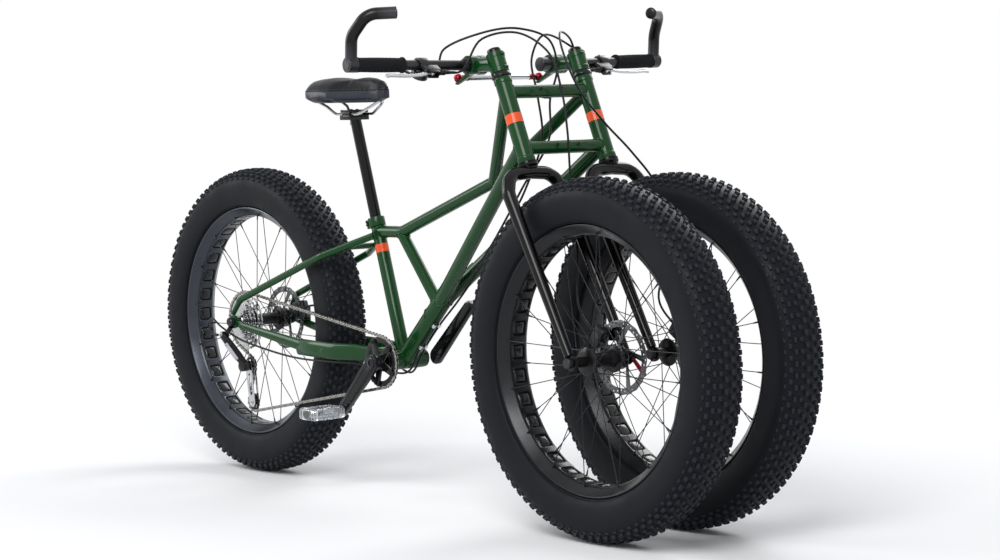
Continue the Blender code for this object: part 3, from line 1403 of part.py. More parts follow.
def build_pedal(side):
    """Cage pedal: a deep open frame round a barrel, with its spindle in the crank's eye."""
    end = crank_end(side)
    near = CRANK_INNER_Y + CRANK_THICKNESS + PEDAL_STANDOFF
    middle = end + Y_AXIS * side * (near + PEDAL_HALF_WIDTH)
    name = f"pedal_{SIDE_NAMES[side]}"
    size = (2 * PEDAL_HALF_LENGTH, 2 * PEDAL_HALF_WIDTH, 2 * PEDAL_HALF_HEIGHT)
    body = block(name, size, Matrix.Translation(middle), bevel=0.004)
    opening = (2 * (PEDAL_HALF_LENGTH - PEDAL_WALL), 2 * (PEDAL_HALF_WIDTH - PEDAL_WALL), 0.1)
    body = cut(body, block(f"{name}_opening", opening, Matrix.Translation(middle)))
    inner = end + Y_AXIS * side * (near + PEDAL_WALL / 2)
    outer = end + Y_AXIS * side * (near + 2 * PEDAL_HALF_WIDTH - PEDAL_WALL / 2)
    barrel = cylinder(f"{name}_barrel", inner, outer, PEDAL_BARREL_RADIUS, sides=10)
    start = end + Y_AXIS * side * (CRANK_INNER_Y + 0.001)
    spindle = cylinder(f"{name}_spindle", start, inner, PEDAL_SPINDLE_RADIUS, sides=10)
    return settle(join(body, barrel, spindle), "clear_plastic")


def build_cassette():
    """Cassette: a large toothed sprocket, smaller ones stepping down to the lock ring."""
    centre = Vector((REAR_AXLE.x, COG_Y, REAR_AXLE.z))
    big = pitch_radius(COG_TEETH)
    outlines = [toothed_outline(COG_TEETH, big + TOOTH_REACH, big - 0.0040), circle_points(0.030, 12)]
    body = as_mesh(outline_plate("cassette", outlines, SPROCKET_THICKNESS, axes_at(centre, Y_AXIS)))
    half = SPROCKET_THICKNESS / 2
    step_down = (big - 0.009 - COG_SMALL_RADIUS) / (COG_STEPS - 1)
    bore = FREEHUB_RADIUS + RUNNING_GAP
    stack = [(bore, half - 0.0004), (big * 0.62, half - 0.0004), (big * 0.62, -COG_SPACING + half)]
    for i in range(COG_STEPS):
        radius = big - 0.009 - step_down * i
        level = -COG_SPACING * (i + 1)
        stack += [(radius, level + half), (radius, level - COG_SPACING + half)]
    last = -COG_SPACING * (COG_STEPS + 1) + half
    stack += [(0.0150, last), (0.0150, last - 0.0025), (bore, last - 0.0025)]
    body = join(body, as_mesh(turned("cog_stack", stack, centre, Y_AXIS, None, 16, closed=True)))
    return settle(body, "bare_steel")


def build_pulley(name, centre):
    """Toothed jockey wheel with a bore for its bolt."""
    radius = pitch_radius(PULLEY_TEETH)
    outlines = [
        toothed_outline(PULLEY_TEETH, radius + TOOTH_REACH, radius - 0.0040),
        circle_points(PULLEY_BOLT_RADIUS + PIVOT_GAP, 10),
    ]
    wheel = outline_plate(name, outlines, SPROCKET_THICKNESS + 0.0004, axes_at(centre, Y_AXIS))
    return settle(wheel, "black_plastic")


def build_cage():
    """Derailleur cage: two plates tied by the bolts of the jockey wheels."""
    guide, tension = guide_pulley_centre(), tension_pulley_centre()
    gap = Vector((tension.x - guide.x, tension.z - guide.z))
    body = None
    for side in (RIGHT, LEFT):
        middle = Vector((guide.x, COG_Y + side * CAGE_WIDTH / 2, guide.z))
        matrix = Matrix.Translation(middle) @ Matrix.Rotation(math.pi / 2, 4, "X")
        outline = capsule_outline((0, 0), (gap.x, gap.y), 0.0140, 0.0125, steps=3)
        name = "derailleur_cage" if body is None else "inner_cage_plate"
        plate = as_mesh(outline_plate(name, [outline], CAGE_PLATE, matrix))
        body = plate if body is None else join(body, plate)
    for name, centre in (("guide_bolt", guide), ("tension_bolt", tension)):
        reach = Y_AXIS * (CAGE_WIDTH / 2 + 0.003)
        body = join(body, cylinder(name, centre - reach, centre + reach, PULLEY_BOLT_RADIUS, sides=8))
    return settle(body, "grey_aluminium")


def build_derailleur():
    """Hanger, upper pivot, parallelogram and the lower knuckle that carries the cage."""
    outside = -(REAR_HUB_WIDTH / 2 + DROPOUT_THICKNESS + SEAT_GAP + 0.004)
    hanger_top = REAR_AXLE + Vector((-0.004, outside, -0.013))
    mount = REAR_AXLE + Vector((-0.026, outside, -0.034))
    guide = guide_pulley_centre()
    body = cylinder("derailleur", hanger_top, mount, 0.0060, sides=10)
    body = join(body, cylinder("mount_bolt", mount + Y_AXIS * 0.0035, mount - Y_AXIS * 0.014, 0.0095, sides=12))
    knuckle = Vector((guide.x - 0.004, COG_Y - CAGE_WIDTH / 2 - 0.011, guide.z + 0.006))
    link_start = mount + Vector((0, -0.010, 0))
    across = (knuckle - link_start).normalized()
    sections = []
    for share, half in ((0.0, 0.010), (0.35, 0.014), (0.75, 0.015), (1.0, 0.012)):
        centre = link_start.lerp(knuckle, share)
        up = across.cross(Y_AXIS).normalized()
        side = up.cross(across).normalized()
        sections.append((centre, side, 0.0085, up, half))
    body = join(body, loft("parallelogram", sections, sides=10))
    guide_face = Vector((guide.x, COG_Y - CAGE_WIDTH / 2 - CAGE_PLATE / 2 - SEAT_GAP - 0.0030, guide.z))
    body = join(body, cylinder("lower_knuckle", guide_face, guide_face - Y_AXIS * 0.018, 0.0135, sides=12))
    axle_nut = grown("nut_space", REAR_AXLE - Y_AXIS * 0.08, REAR_AXLE - Y_AXIS * 0.2, AXLE_NUT_RADIUS)
    outer_face = REAR_HUB_WIDTH / 2 + DROPOUT_THICKNESS + 2 * SEAT_GAP
    stay = grown("dropout_space_hanger", REAR_AXLE - Y_AXIS * 0.06, REAR_AXLE - Y_AXIS * outer_face, 0.030)
    return settle(cut(body, axle_nut, stay), "black_aluminium")


# Forks and steering


def fork_leg_route(side, leg):
    """The centre line of one leg, from under the crown out and straight down to the axle."""
    axle = Vector((WHEELBASE / 2, side * TRACK / 2, TYRE_RADIUS))
    return [
        on_steerer(side, CROWN_ALONG, 0.0),
        on_steerer(side, CROWN_ALONG - 0.004, leg * LEG_SPREAD * 0.74),
        on_steerer(side, LEG_SHOULDER_ALONG, leg * LEG_SPREAD, 0.003),
        axle + Y_AXIS * leg * (FRONT_HUB_WIDTH / 2 + DROPOUT_THICKNESS / 2) + Vector((-0.0075, 0, 0.0135)),
    ]


def build_fork(side):
    """Rigid fork: steerer, unicrown legs, dropouts and the tab for the brake caliper."""
    name = f"fork_{SIDE_NAMES[side]}"
    axle = Vector((WHEELBASE / 2, side * TRACK / 2, TYRE_RADIUS))
    low, high = on_steerer(side, CROWN_ALONG - 0.004), on_steerer(side, STEERER_TOP)
    body = cylinder(name, low, high, STEERER_RADIUS, sides=16)
    race_top = HEAD_TUBE_START - SEAT_GAP
    race = cylinder(
        f"{name}_crown_race",
        on_steerer(side, race_top - 0.016),
        on_steerer(side, race_top),
        STEERER_RADIUS + 0.003,
        sides=16,
        end_radius=CUP_RADIUS,
    )
    body = join(body, race)
    corners = list(reversed(fork_leg_route(side, RIGHT))) + fork_leg_route(side, LEFT)[1:]
    route = rounded_route(corners, CROWN_BEND, steps=2)
    radii = [LEG_END_RADIUS] + [LEG_TOP_RADIUS] * (len(route) - 2) + [LEG_END_RADIUS]
    body = join(body, tube(f"{name}_legs", route, LEG_TOP_RADIUS, sides=8, radii=radii))
    inner = FRONT_HUB_WIDTH / 2 + SEAT_GAP
    for leg in (RIGHT, LEFT):
        body = join(body, dropout_plate(f"{name}_dropout_{SIDE_NAMES[leg]}", inner, leg, axle))
    half = Y_AXIS * inner
    hub_space = cylinder(f"{name}_hub_space", axle - half, axle + half, 0.050, sides=20)
    body = join(body, caliper_tab(f"{name}_tab", side, axle))
    body = cut(body, hub_space, axle_hole(f"{name}_axle_hole", axle, FRONT_HUB_WIDTH))
    return settle(body, "black_paint")


def caliper_centre(axle, half_hub, angle):
    out = Vector((math.cos(angle), 0, math.sin(angle)))
    return axle + out * (DISC_RADIUS - DISC_BAND * 0.4) + Y_AXIS * (half_hub - DISC_INSET)


def caliper_tab(name, side, axle):
    """Flat lug behind the left leg, which the caliper's outer face is bolted to."""
    centre = caliper_centre(axle, FRONT_HUB_WIDTH / 2, CALIPER_ANGLE)
    end = fork_leg_route(side, LEFT)[-1]
    shoulder = fork_leg_route(side, LEFT)[-2]
    rise = (centre.z - end.z) / (shoulder.z - end.z)
    on_leg = end.lerp(shoulder, rise)
    lug_y = centre.y + CALIPER_HALF_WIDTH + SEAT_GAP + CALIPER_TAB / 2
    first, second = (on_leg.x, on_leg.z), (centre.x, centre.z)
    outline = capsule_outline(first, second, CALIPER_TAB_RADIUS * 0.9, CALIPER_TAB_RADIUS)
    matrix = Matrix.Translation((0, lug_y, 0)) @ Matrix.Rotation(math.pi / 2, 4, "X")
    return as_mesh(outline_plate(name, [outline], CALIPER_TAB, matrix))


def build_caliper(name, axle, half_hub, angle):
    """Disc brake caliper: a rounded block with a slot over the disc, and the cap of its piston."""
    centre = caliper_centre(axle, half_hub, angle)
    out = Vector((math.cos(angle), 0, math.sin(angle)))
    matrix = axes_at(centre, Y_AXIS, out)
    size = (CALIPER_DEPTH, CALIPER_LENGTH, 2 * CALIPER_HALF_WIDTH)
    body = as_mesh(block(name, size, matrix, bevel=0.004))
    slot = matrix @ Matrix.Translation((-CALIPER_DEPTH * 0.25, 0, 0))
    body = cut(body, block(f"{name}_slot", (CALIPER_DEPTH, CALIPER_LENGTH * 1.4, CALIPER_SLOT), slot))
    cap_start = centre - Y_AXIS * CALIPER_HALF_WIDTH * 0.9
    cap = cylinder(f"{name}_piston_cap", cap_start, cap_start - Y_AXIS * 0.006, 0.0115, sides=10)
    return settle(join(body, cap), "black_aluminium")


def bar_centre(side):
    """The middle of the bar's clamp, behind the steering axis."""
    clamp = on_steerer(side, STEM_START + STEM_HEIGHT / 2)
    return clamp + Vector((-STEM_REACH, 0, -STEM_DROP))


def bar_point(side, y):
    """A point on the bar's centre line at a distance from the middle plane of the tricycle."""
    centre = bar_centre(side)
    if y <= BAR_BEND_Y:
        return Vector((centre.x, side * y, centre.z))
    share = (y - BAR_BEND_Y) / (BAR_END_Y - BAR_BEND_Y)
    return Vector((centre.x - BAR_SWEEP * share, side * y, centre.z + BAR_RISE * share))


def rod_pivot(side):
    return bar_centre(side) + Vector((-ROD_PIVOT_BEHIND, 0, -ROD_PIVOT_BELOW))


def build_stem(side):
    """Stem turned to the rear: steerer clamp, arm, bar clamp and the lug with the tie rod's pin."""
    name = f"stem_{SIDE_NAMES[side]}"
    low = on_steerer(side, STEM_START)
    high = on_steerer(side, STEM_START + STEM_HEIGHT)
    body = cylinder(name, low, high, STEM_CLAMP_RADIUS, sides=14)
    middle = (low + high) / 2
    centre = bar_centre(side)
    along = (centre - middle).normalized()
    up = Y_AXIS.cross(along).normalized()
    sections = []
    for share, width, height in ((0.0, 0.0150, 0.0200), (0.55, 0.0130, 0.0150), (1.0, 0.0170, 0.0175)):
        sections.append((middle.lerp(centre, share), Y_AXIS, width, up, height))
    body = join(body, loft(f"{name}_arm", sections, sides=8))
    half = Y_AXIS * BAR_CLAMP_HALF
    body = join(body, cylinder(f"{name}_bar_clamp", centre - half, centre + half, BAR_CLAMP_RADIUS, sides=14))
    pivot = rod_pivot(side)
    lug_level = -ROD_EYE_HEIGHT / 2 - SEAT_GAP - 0.003
    lug_end = pivot + STEER_UP * lug_level
    lug_start = centre + Vector((-BAR_CLAMP_RADIUS * 0.6, 0, -BAR_CLAMP_RADIUS * 0.7))
    lug = loft(
        f"{name}_lug",
        [
            (lug_start, Y_AXIS, 0.0120, STEER_UP, 0.0060),
            (lug_end + STEER_AHEAD * 0.012, Y_AXIS, 0.0085, STEER_UP, 0.0030),
            (lug_end - STEER_AHEAD * 0.007, Y_AXIS, 0.0070, STEER_UP, 0.0030),
        ],
        sides=8,
    )
    pin_top = pivot + STEER_UP * (ROD_EYE_HEIGHT / 2 + SEAT_GAP + 0.0045)
    pin = cylinder(f"{name}_pin", lug_end, pin_top, ROD_PIN_RADIUS, sides=8)
    body = join(body, lug, pin)
    reach = STEER_UP * 0.03
    steerer_bore, bar_bore = STEERER_RADIUS + 2 * SEAT_GAP, BAR_CENTRE_RADIUS + 2 * SEAT_GAP
    body = cut(
        body,
        cylinder(f"{name}_steerer_bore", low - reach, high + reach, steerer_bore, sides=14),
        cylinder(f"{name}_bar_bore", centre - 3 * half, centre + 3 * half, bar_bore, sides=14),
    )
    return settle(body, "green_paint")


def build_handlebar(side):
    """Half handlebar, thick in the clamp and swept at the grip, with the bar end clamped at its tip."""
    name = f"handlebar_{SIDE_NAMES[side]}"
    thick_end = TRACK / 2 + BAR_CLAMP_HALF + 0.006
    ys = [BAR_INNER_Y, thick_end, thick_end + 0.012, BAR_BEND_Y + 0.003, BAR_END_Y]
    radii = [BAR_CENTRE_RADIUS, BAR_CENTRE_RADIUS, BAR_GRIP_RADIUS, BAR_GRIP_RADIUS, BAR_GRIP_RADIUS]
    body = tube(name, [bar_point(side, y) for y in ys], BAR_CENTRE_RADIUS, sides=12, radii=radii)
    tip = bar_point(side, BAR_END_Y)
    clamp_half = (tip - bar_point(side, BAR_BEND_Y + 0.01)).normalized() * 0.0115
    seat = tip - clamp_half * 1.1
    clamp = cylinder(f"{name}_end_clamp", seat - clamp_half, seat + clamp_half, 0.0165, sides=10)
    corners = [
        seat,
        seat + Vector((0.004, 0.0, BAR_END_RISE * 0.55)),
        seat + Vector((BAR_END_FORWARD * 0.55, -side * BAR_END_INWARD * 0.22, BAR_END_RISE * 0.98)),
        seat + Vector((BAR_END_FORWARD, -side * BAR_END_INWARD, BAR_END_RISE)),
    ]
    horn = tube(f"{name}_bar_end", rounded_route(corners, 0.040, steps=2), BAR_END_RADIUS, sides=8)
    return settle(join(body, clamp, horn), "black_aluminium")


def grip_span():
    outer = BAR_END_Y - GRIP_INSET
    return outer - GRIP_LENGTH, outer


def build_grip(side):
    """Foam grip: a sleeve with a flange at each end."""
    start, end = grip_span()
    first, last = bar_point(side, start), bar_point(side, end)
    length = (last - first).length
    bore = BAR_GRIP_RADIUS + 2 * SEAT_GAP
    flange = GRIP_RADIUS + 0.0018
    profile = [
        (flange, 0.0),
        (flange, 0.005),
        (GRIP_RADIUS - 0.0008, 0.008),
        (GRIP_RADIUS, length - 0.003),
        (GRIP_RADIUS - 0.002, length),
        (bore, length),
        (bore, 0.0),
    ]
    return turned(f"grip_{SIDE_NAMES[side]}", profile, first, last - first, "foam", 14, closed=True)


def bar_axes(side, y):
    """A matrix on the bar: Z outwards along it, X ahead."""
    here = bar_point(side, y)
    ahead = bar_point(side, y + 0.01) - bar_point(side, y - 0.01)
    return axes_at(here, ahead, Vector((1, 0, 0)))


def lever_axes(side):
    """X ahead and down, Z out along the bar, with the origin on the bar in the control's middle."""
    base = bar_axes(side, CONTROL_Y)
    z = base.to_3x3().col[2]
    ahead = Vector((math.cos(LEVER_DROOP), 0, -math.sin(LEVER_DROOP)))
    return axes_at(base.translation, z, ahead)


def lever_pivot(side):
    """The lever's pivot point and the direction of its pin, which is square to the bar."""
    matrix = lever_axes(side)
    x, y, z = (matrix.to_3x3().col[i] for i in range(3))
    return matrix.translation + x * CONTROL_FORWARD - z * LEVER_PIVOT_INBOARD, y


def build_control(side):
    """Brake lever body with its clamp and cable adjuster; the right one also holds the shifter."""
    name = f"control_{SIDE_NAMES[side]}"
    matrix = lever_axes(side)
    x, y, z = (matrix.to_3x3().col[i] for i in range(3))
    origin = matrix.translation
    pivot, pin_direction = lever_pivot(side)
    half_clamp = z * CONTROL_CLAMP_HALF
    body = cylinder(name, origin - half_clamp, origin + half_clamp, CONTROL_CLAMP_RADIUS, sides=16)
    front = origin + x * (CONTROL_CLAMP_RADIUS - 0.003)
    perch = axes_at((front + pivot) / 2 - z * 0.006, z, x)
    body = join(body, block(f"{name}_perch", (0.026, 0.017, 0.046), perch, bevel=0.004))
    starts = [pivot - z * 0.016]
    if side == LEFT:
        starts.append(starts[0] + SECOND_CABLE)
    for number, start in enumerate(starts):
        mouth = start - z * 0.030
        adjuster = cylinder(f"{name}_adjuster_{number}", start, mouth, 0.0052, sides=10, end_radius=0.0040)
        body = join(body, adjuster)
    half_fork = LEVER_THICKNESS / 2 + RUNNING_GAP
    ears = axes_at(pivot, z, x)
    body = join(body, block(f"{name}_ears", (0.020, 2 * half_fork + 0.008, 0.026), ears))
    if side == RIGHT:
        down = -y if y.z > 0 else y
        under = origin - z * 0.004 + down * (CONTROL_CLAMP_RADIUS - 0.004)
        pod = cylinder(f"{name}_shifter", under, under + down * SHIFTER_HEIGHT, SHIFTER_RADIUS, sides=14)
        body = join(body, pod)
    gap = axes_at(pivot + z * 0.020 + x * 0.006, z, x)
    bore = BAR_GRIP_RADIUS + 2 * SEAT_GAP
    body = cut(
        body,
        block(f"{name}_fork_gap", (0.060, 2 * half_fork, 0.058), gap),
        cylinder(f"{name}_bar_bore", origin - z * 0.05, origin + z * 0.05, bore, sides=14),
    )
    half_pin = pin_direction * (half_fork + 0.003)
    pin = cylinder(f"{name}_pin", pivot - half_pin, pivot + half_pin, LEVER_PIN_RADIUS, sides=8)
    return settle(join(body, pin), "black_aluminium")


def build_lever(side):
    """Brake lever blade on its pin, with a curved finger rest and a round tip."""
    name = f"brake_lever_{SIDE_NAMES[side]}"
    matrix = lever_axes(side)
    x, y, z = (matrix.to_3x3().col[i] for i in range(3))
    pivot, _ = lever_pivot(side)
    stations = [
        (0.004, 0.0000, 0.0058),
        (0.022, 0.0040, 0.0075),
        (0.050, 0.0120, 0.0062),
        (0.085, 0.0140, 0.0062),
        (0.115, 0.0125, 0.0058),
        (LEVER_LENGTH, 0.0160, 0.0068),
    ]
    sections = [
        (pivot + z * along + x * ahead, x, depth, y, LEVER_THICKNESS * 0.44) for along, ahead, depth in stations
    ]
    blade = loft(name, sections, sides=8)
    half = y * LEVER_THICKNESS / 2
    body = join(blade, cylinder(f"{name}_eye", pivot - half, pivot + half, 0.0078, sides=12))
    reach = y * 0.02
    bore = cylinder(f"{name}_bore", pivot - reach, pivot + reach, LEVER_PIN_RADIUS + PIVOT_GAP, sides=10)
    return settle(cut(body, bore), "grey_aluminium")


def shifter_axis():
    """The point and direction about which the shifter's thumb lever turns."""
    matrix = lever_axes(RIGHT)
    _, y, z = (matrix.to_3x3().col[i] for i in range(3))
    down = -y if y.z > 0 else y
    base = matrix.translation - z * 0.004 + down * (CONTROL_CLAMP_RADIUS - 0.004 + SHIFTER_HEIGHT)
    return base, down


def build_trigger():
    """Thumb lever under the shifter."""
    base, down = shifter_axis()
    matrix = lever_axes(RIGHT)
    x, _, z = (matrix.to_3x3().col[i] for i in range(3))
    back = (-x * 0.8 + z * 0.6).normalized()
    across = down.cross(back).normalized()
    start = base + down * (SEAT_GAP + 0.0018)
    sections = [
        (start + back * -0.007, across, 0.0050, down, 0.0018),
        (start, across, 0.0085, down, 0.0018),
        (start + back * TRIGGER_LENGTH * 0.5, across, 0.0060, down, 0.0018),
        (start + back * TRIGGER_LENGTH, across, 0.0095, down, 0.0022),
        (start + back * (TRIGGER_LENGTH + 0.007), across, 0.0060, down, 0.0018),
    ]
    return settle(loft("shift_trigger", sections, sides=8), "black_plastic")


def build_tie_rod():
    """Tie rod with an eye at each end, over the pins on the two stems."""
    right, left = rod_pivot(RIGHT), rod_pivot(LEFT)
    body = cylinder("tie_rod", right, left, ROD_RADIUS, sides=8)
    half = STEER_UP * ROD_EYE_HEIGHT / 2
    for side, centre in ((RIGHT, right), (LEFT, left)):
        word = SIDE_NAMES[side]
        eye = cylinder(f"rod_eye_{word}", centre - half, centre + half, ROD_EYE_RADIUS, sides=12)
        inward = -Y_AXIS * side
        neck = centre + inward * (ROD_EYE_RADIUS - 0.001)
        body = join(body, eye, cylinder(f"rod_neck_{word}", neck, neck + inward * 0.020, 0.0068, sides=8))
    bore = ROD_PIN_RADIUS + PIVOT_GAP
    for side, centre in ((RIGHT, right), (LEFT, left)):
        name = f"eye_bore_{SIDE_NAMES[side]}"
        body = cut(body, cylinder(name, centre - 2 * half, centre + 2 * half, bore, sides=8))
    return settle(body, "bare_steel")


# Cables


def adjuster_mouth(side):
    """The free end of a brake lever's cable adjuster, and the way the cable leaves it."""
    matrix = lever_axes(side)
    z = matrix.to_3x3().col[2]
    pivot, _ = lever_pivot(side)
    return pivot - z * (0.046 + 3 * SEAT_GAP), -z


def caliper_mouth(axle, half_hub, angle):
    """Where a cable meets its caliper's outward face, and the way it leaves."""
    centre = caliper_centre(axle, half_hub, angle)
    out = Vector((math.cos(angle), 0, math.sin(angle)))
    return centre + out * (CALIPER_DEPTH / 2 + 2 * SEAT_GAP) - Y_AXIS * 0.006, out


def routed(name, points, count):
    """A cable housing along a smooth route."""
    return tube(name, smooth_route(points, count), CABLE_RADIUS, "black_rubber", sides=6)


def build_front_cable(side):
    """Brake cable from a lever, over the stem and down to the caliper behind the fork's left leg."""
    mouth, leaving = adjuster_mouth(side)
    axle = Vector((WHEELBASE / 2, side * TRACK / 2, TYRE_RADIUS))
    end, out = caliper_mouth(axle, FRONT_HUB_WIDTH / 2, CALIPER_ANGLE)
    over = [
        mouth,
        mouth + leaving * 0.020,
        Vector((0.350, side * 0.128, 1.064)),
        Vector((0.392, side * 0.062, 1.076)),
        Vector((0.445, side * 0.022, 1.034)),
    ]
    if side == RIGHT:
        down = [
            Vector((0.479, -0.014, 0.950)),
            Vector((0.498, -0.016, 0.860)),
            Vector((0.503, -0.0145, 0.760)),
            Vector((0.517, -0.0175, 0.680)),
            Vector((0.543, -0.034, 0.600)),
        ]
    else:
        down = [
            Vector((0.483, 0.034, 0.950)),
            Vector((0.508, 0.080, 0.880)),
            Vector((0.534, 0.140, 0.810)),
            Vector((0.551, 0.196, 0.735)),
            Vector((0.552, 0.220, 0.670)),
            Vector((0.568, 0.216, 0.600)),
        ]
    lead_in = [end + out * 0.060 + Vector((-0.004, 0.008, 0.010)), end + out * 0.012, end]
    return routed(f"front_brake_cable_{SIDE_NAMES[side]}", over + down + lead_in, 24)


def under_down_tube(share, lateral):
    """A point under the down tube, a share of the way up it, for a cable that lies along it."""
    top = down_tube_top()
    slope = Vector((math.sin(DOWN_TUBE_ANGLE), 0, -math.cos(DOWN_TUBE_ANGLE)))
    clear = DOWN_TUBE_RADIUS + CABLE_RADIUS + 2 * SEAT_GAP
    return BOTTOM_BRACKET.lerp(top, share) + slope * clear + Y_AXIS * lateral


def build_rear_brake_cable():
    """Cable from the left lever, down the frame and along the left chainstay to the rear caliper."""
    mouth, leaving = adjuster_mouth(LEFT)
    end, out = caliper_mouth(REAR_AXLE, REAR_HUB_WIDTH / 2, REAR_CALIPER_ANGLE)
    level = BOTTOM_BRACKET.z + CHAINSTAY_FRONT_LEVEL
    low = level - CHAINSTAY_HALF_HEIGHT - CABLE_RADIUS - 0.003
    x, z = BOTTOM_BRACKET.x, BOTTOM_BRACKET.z
    points = [
        mouth + SECOND_CABLE,
        mouth + SECOND_CABLE + leaving * 0.016,
        Vector((0.337, 0.160, 1.034)),
        Vector((0.332, 0.124, 1.058)),
        Vector((0.338, 0.060, 1.072)),
        Vector((0.352, 0.012, 1.020)),
        Vector((0.376, 0.006, 0.940)),
        Vector((0.385, 0.010, 0.850)),
        Vector((0.330, 0.010, 0.740)),
        Vector((0.200, 0.010, 0.590)),
        under_down_tube(1.12, 0.010) + Vector((0.004, 0, -0.004)),
        under_down_tube(0.70, 0.008),
        under_down_tube(0.35, 0.008),
        Vector((x + 0.010, 0.012, z - SHELL_RADIUS - 0.008)),
        Vector((x - 0.040, 0.026, z - SHELL_RADIUS - 0.008)),
        Vector((x - 0.110, 0.058, low - 0.002)),
        Vector((x - 0.200, CHAINSTAY_WIDE_Y + 0.004, low)),
        Vector((REAR_AXLE.x + 0.270, CHAINSTAY_WIDE_Y + 0.012, low + 0.004)),
        Vector((REAR_AXLE.x + 0.205, CHAINSTAY_WIDE_Y + 0.020, level + 0.008)),
        Vector((REAR_AXLE.x + 0.165, CHAINSTAY_WIDE_Y + 0.008, REAR_AXLE.z + 0.030)),
        end + out * 0.030,
        end + out * 0.008,
        end,
    ]
    return routed("rear_brake_cable", points, 40)


def build_shift_cable():
    """Cable from the shifter, down the frame and along the right chainstay to the derailleur."""
    base, down = shifter_axis()
    matrix = lever_axes(RIGHT)
    z = matrix.to_3x3().col[2]
    start = base - down * SHIFTER_HEIGHT * 0.4 - z * (SHIFTER_RADIUS + 3 * SEAT_GAP)
    level = BOTTOM_BRACKET.z + CHAINSTAY_FRONT_LEVEL
    low = level - CHAINSTAY_HALF_HEIGHT - CABLE_RADIUS - 0.003
    outside = -(REAR_HUB_WIDTH / 2 + DROPOUT_THICKNESS + 0.020)
    mount = REAR_AXLE + Vector((-0.026, outside, -0.034))
    x, z_level = BOTTOM_BRACKET.x, BOTTOM_BRACKET.z
    points = [
        start,
        start - z * 0.014,
        Vector((0.265, -0.165, 1.045)),
        Vector((0.305, -0.110, 1.074)),
        Vector((0.362, -0.030, 1.086)),
        Vector((0.392, 0.030, 1.060)),
        Vector((0.398, 0.046, 1.000)),
        Vector((0.384, 0.036, 0.930)),
        Vector((0.392, 0.026, 0.850)),
        Vector((0.338, -0.010, 0.736)),
        Vector((0.206, -0.010, 0.584)),
        under_down_tube(1.12, -0.010) + Vector((0.004, 0, -0.004)),
        under_down_tube(0.70, -0.008),
        under_down_tube(0.35, -0.008),
        Vector((x + 0.010, -0.006, z_level - SHELL_RADIUS - 0.008)),
        Vector((x - 0.040, -0.018, z_level - SHELL_RADIUS - 0.008)),
        Vector((x - 0.110, -0.052, low - 0.002)),
        Vector((x - 0.200, -CHAINSTAY_WIDE_Y, low)),
        Vector((REAR_AXLE.x + 0.250, -CHAINSTAY_WIDE_Y - 0.010, low + 0.003)),
        Vector((REAR_AXLE.x + 0.140, -CHAINSTAY_WIDE_Y - 0.022, REAR_AXLE.z - 0.058)),
        Vector((REAR_AXLE.x + 0.040, outside, REAR_AXLE.z - 0.034)),
        Vector((REAR_AXLE.x - 0.010, outside - 0.010, REAR_AXLE.z - 0.010)),
        Vector((REAR_AXLE.x - 0.050, outside - 0.010, REAR_AXLE.z + 0.008)),
        Vector((REAR_AXLE.x - 0.078, outside - 0.002, REAR_AXLE.z - 0.012)),
        Vector((REAR_AXLE.x - 0.062, outside, REAR_AXLE.z - 0.033)),
        mount + Vector((-0.0130, 0, 0.0)),
    ]
    return routed("shift_cable", points, 46)


def build_frame():
    return [
        build_seat_tube(),
        build_top_tube(),
        build_down_tube(),
        build_head_tubes(),
        build_chainstays(),
        build_seatstays(),
        build_headset_cup(RIGHT),
        build_headset_cup(LEFT),
        build_bottom_bracket(),
        build_seat_collar(),
    ]


def build_seat():
    slide = axis_empty("seatpost_axis", on_seat_tube(SEAT_TUBE_LENGTH))
    carry(slide, build_seatpost(), build_saddle_rails(), build_saddle())


def build_rear():
    """Rear wheel, axle, brake and drive."""
    wheel = axis_empty("rear_wheel_axis", REAR_AXLE)
    half_hub = REAR_HUB_WIDTH / 2
    flanges = (REAR_LEFT_FLANGE_Y, REAR_RIGHT_FLANGE_Y)
    carry(wheel, *build_wheel("rear", REAR_AXLE, half_hub, *flanges, "grey_aluminium"))
    carry(axis_empty("cassette_axis", REAR_AXLE), build_cassette())
    build_axle("rear_axle", REAR_AXLE, half_hub + DROPOUT_THICKNESS, (-0.55, 0.06, 0.83), "bare_steel")
    build_caliper("rear_caliper", REAR_AXLE, half_hub, REAR_CALIPER_ANGLE)
    build_chain()
    build_derailleur()
    build_cage()
    for name, centre in (("guide_pulley", guide_pulley_centre()), ("tension_pulley", tension_pulley_centre())):
        carry(axis_empty(f"{name}_axis", centre), build_pulley(name, centre))
    crank = axis_empty("crank_axis", BOTTOM_BRACKET)
    carry(crank, build_crank_right(), build_chainring(), build_crank_left())
    for side in (RIGHT, LEFT):
        carry(axis_empty(f"pedal_axis_{SIDE_NAMES[side]}", crank_end(side), crank), build_pedal(side))
    build_rear_brake_cable()
    build_shift_cable()


def build_front(side):
    """One steered side: fork, stem, bar, controls, brake and wheel."""
    word = SIDE_NAMES[side]
    axle = Vector((WHEELBASE / 2, side * TRACK / 2, TYRE_RADIUS))
    steering = axis_empty(f"steering_axis_{word}", on_steerer(side, HEAD_TUBE_START))
    half_hub = FRONT_HUB_WIDTH / 2
    half_span = half_hub + DROPOUT_THICKNESS
    carry(
        steering,
        build_fork(side),
        build_stem(side),
        build_handlebar(side),
        build_grip(side),
        build_control(side),
        build_axle(f"front_axle_{word}", axle, half_span, (0.68, 0.08, -0.73), "red_aluminium"),
        build_caliper(f"front_caliper_{word}", axle, half_hub, CALIPER_ANGLE),
        build_front_cable(side),
    )
    carry(axis_empty(f"lever_axis_{word}", lever_pivot(side)[0], steering), build_lever(side))
    wheel = axis_empty(f"front_wheel_axis_{word}", axle, steering)
    carry(wheel, *build_wheel(f"front_{word}", axle, half_hub, FRONT_FLANGE_Y, -FRONT_FLANGE_Y, "black_paint"))
    return steering


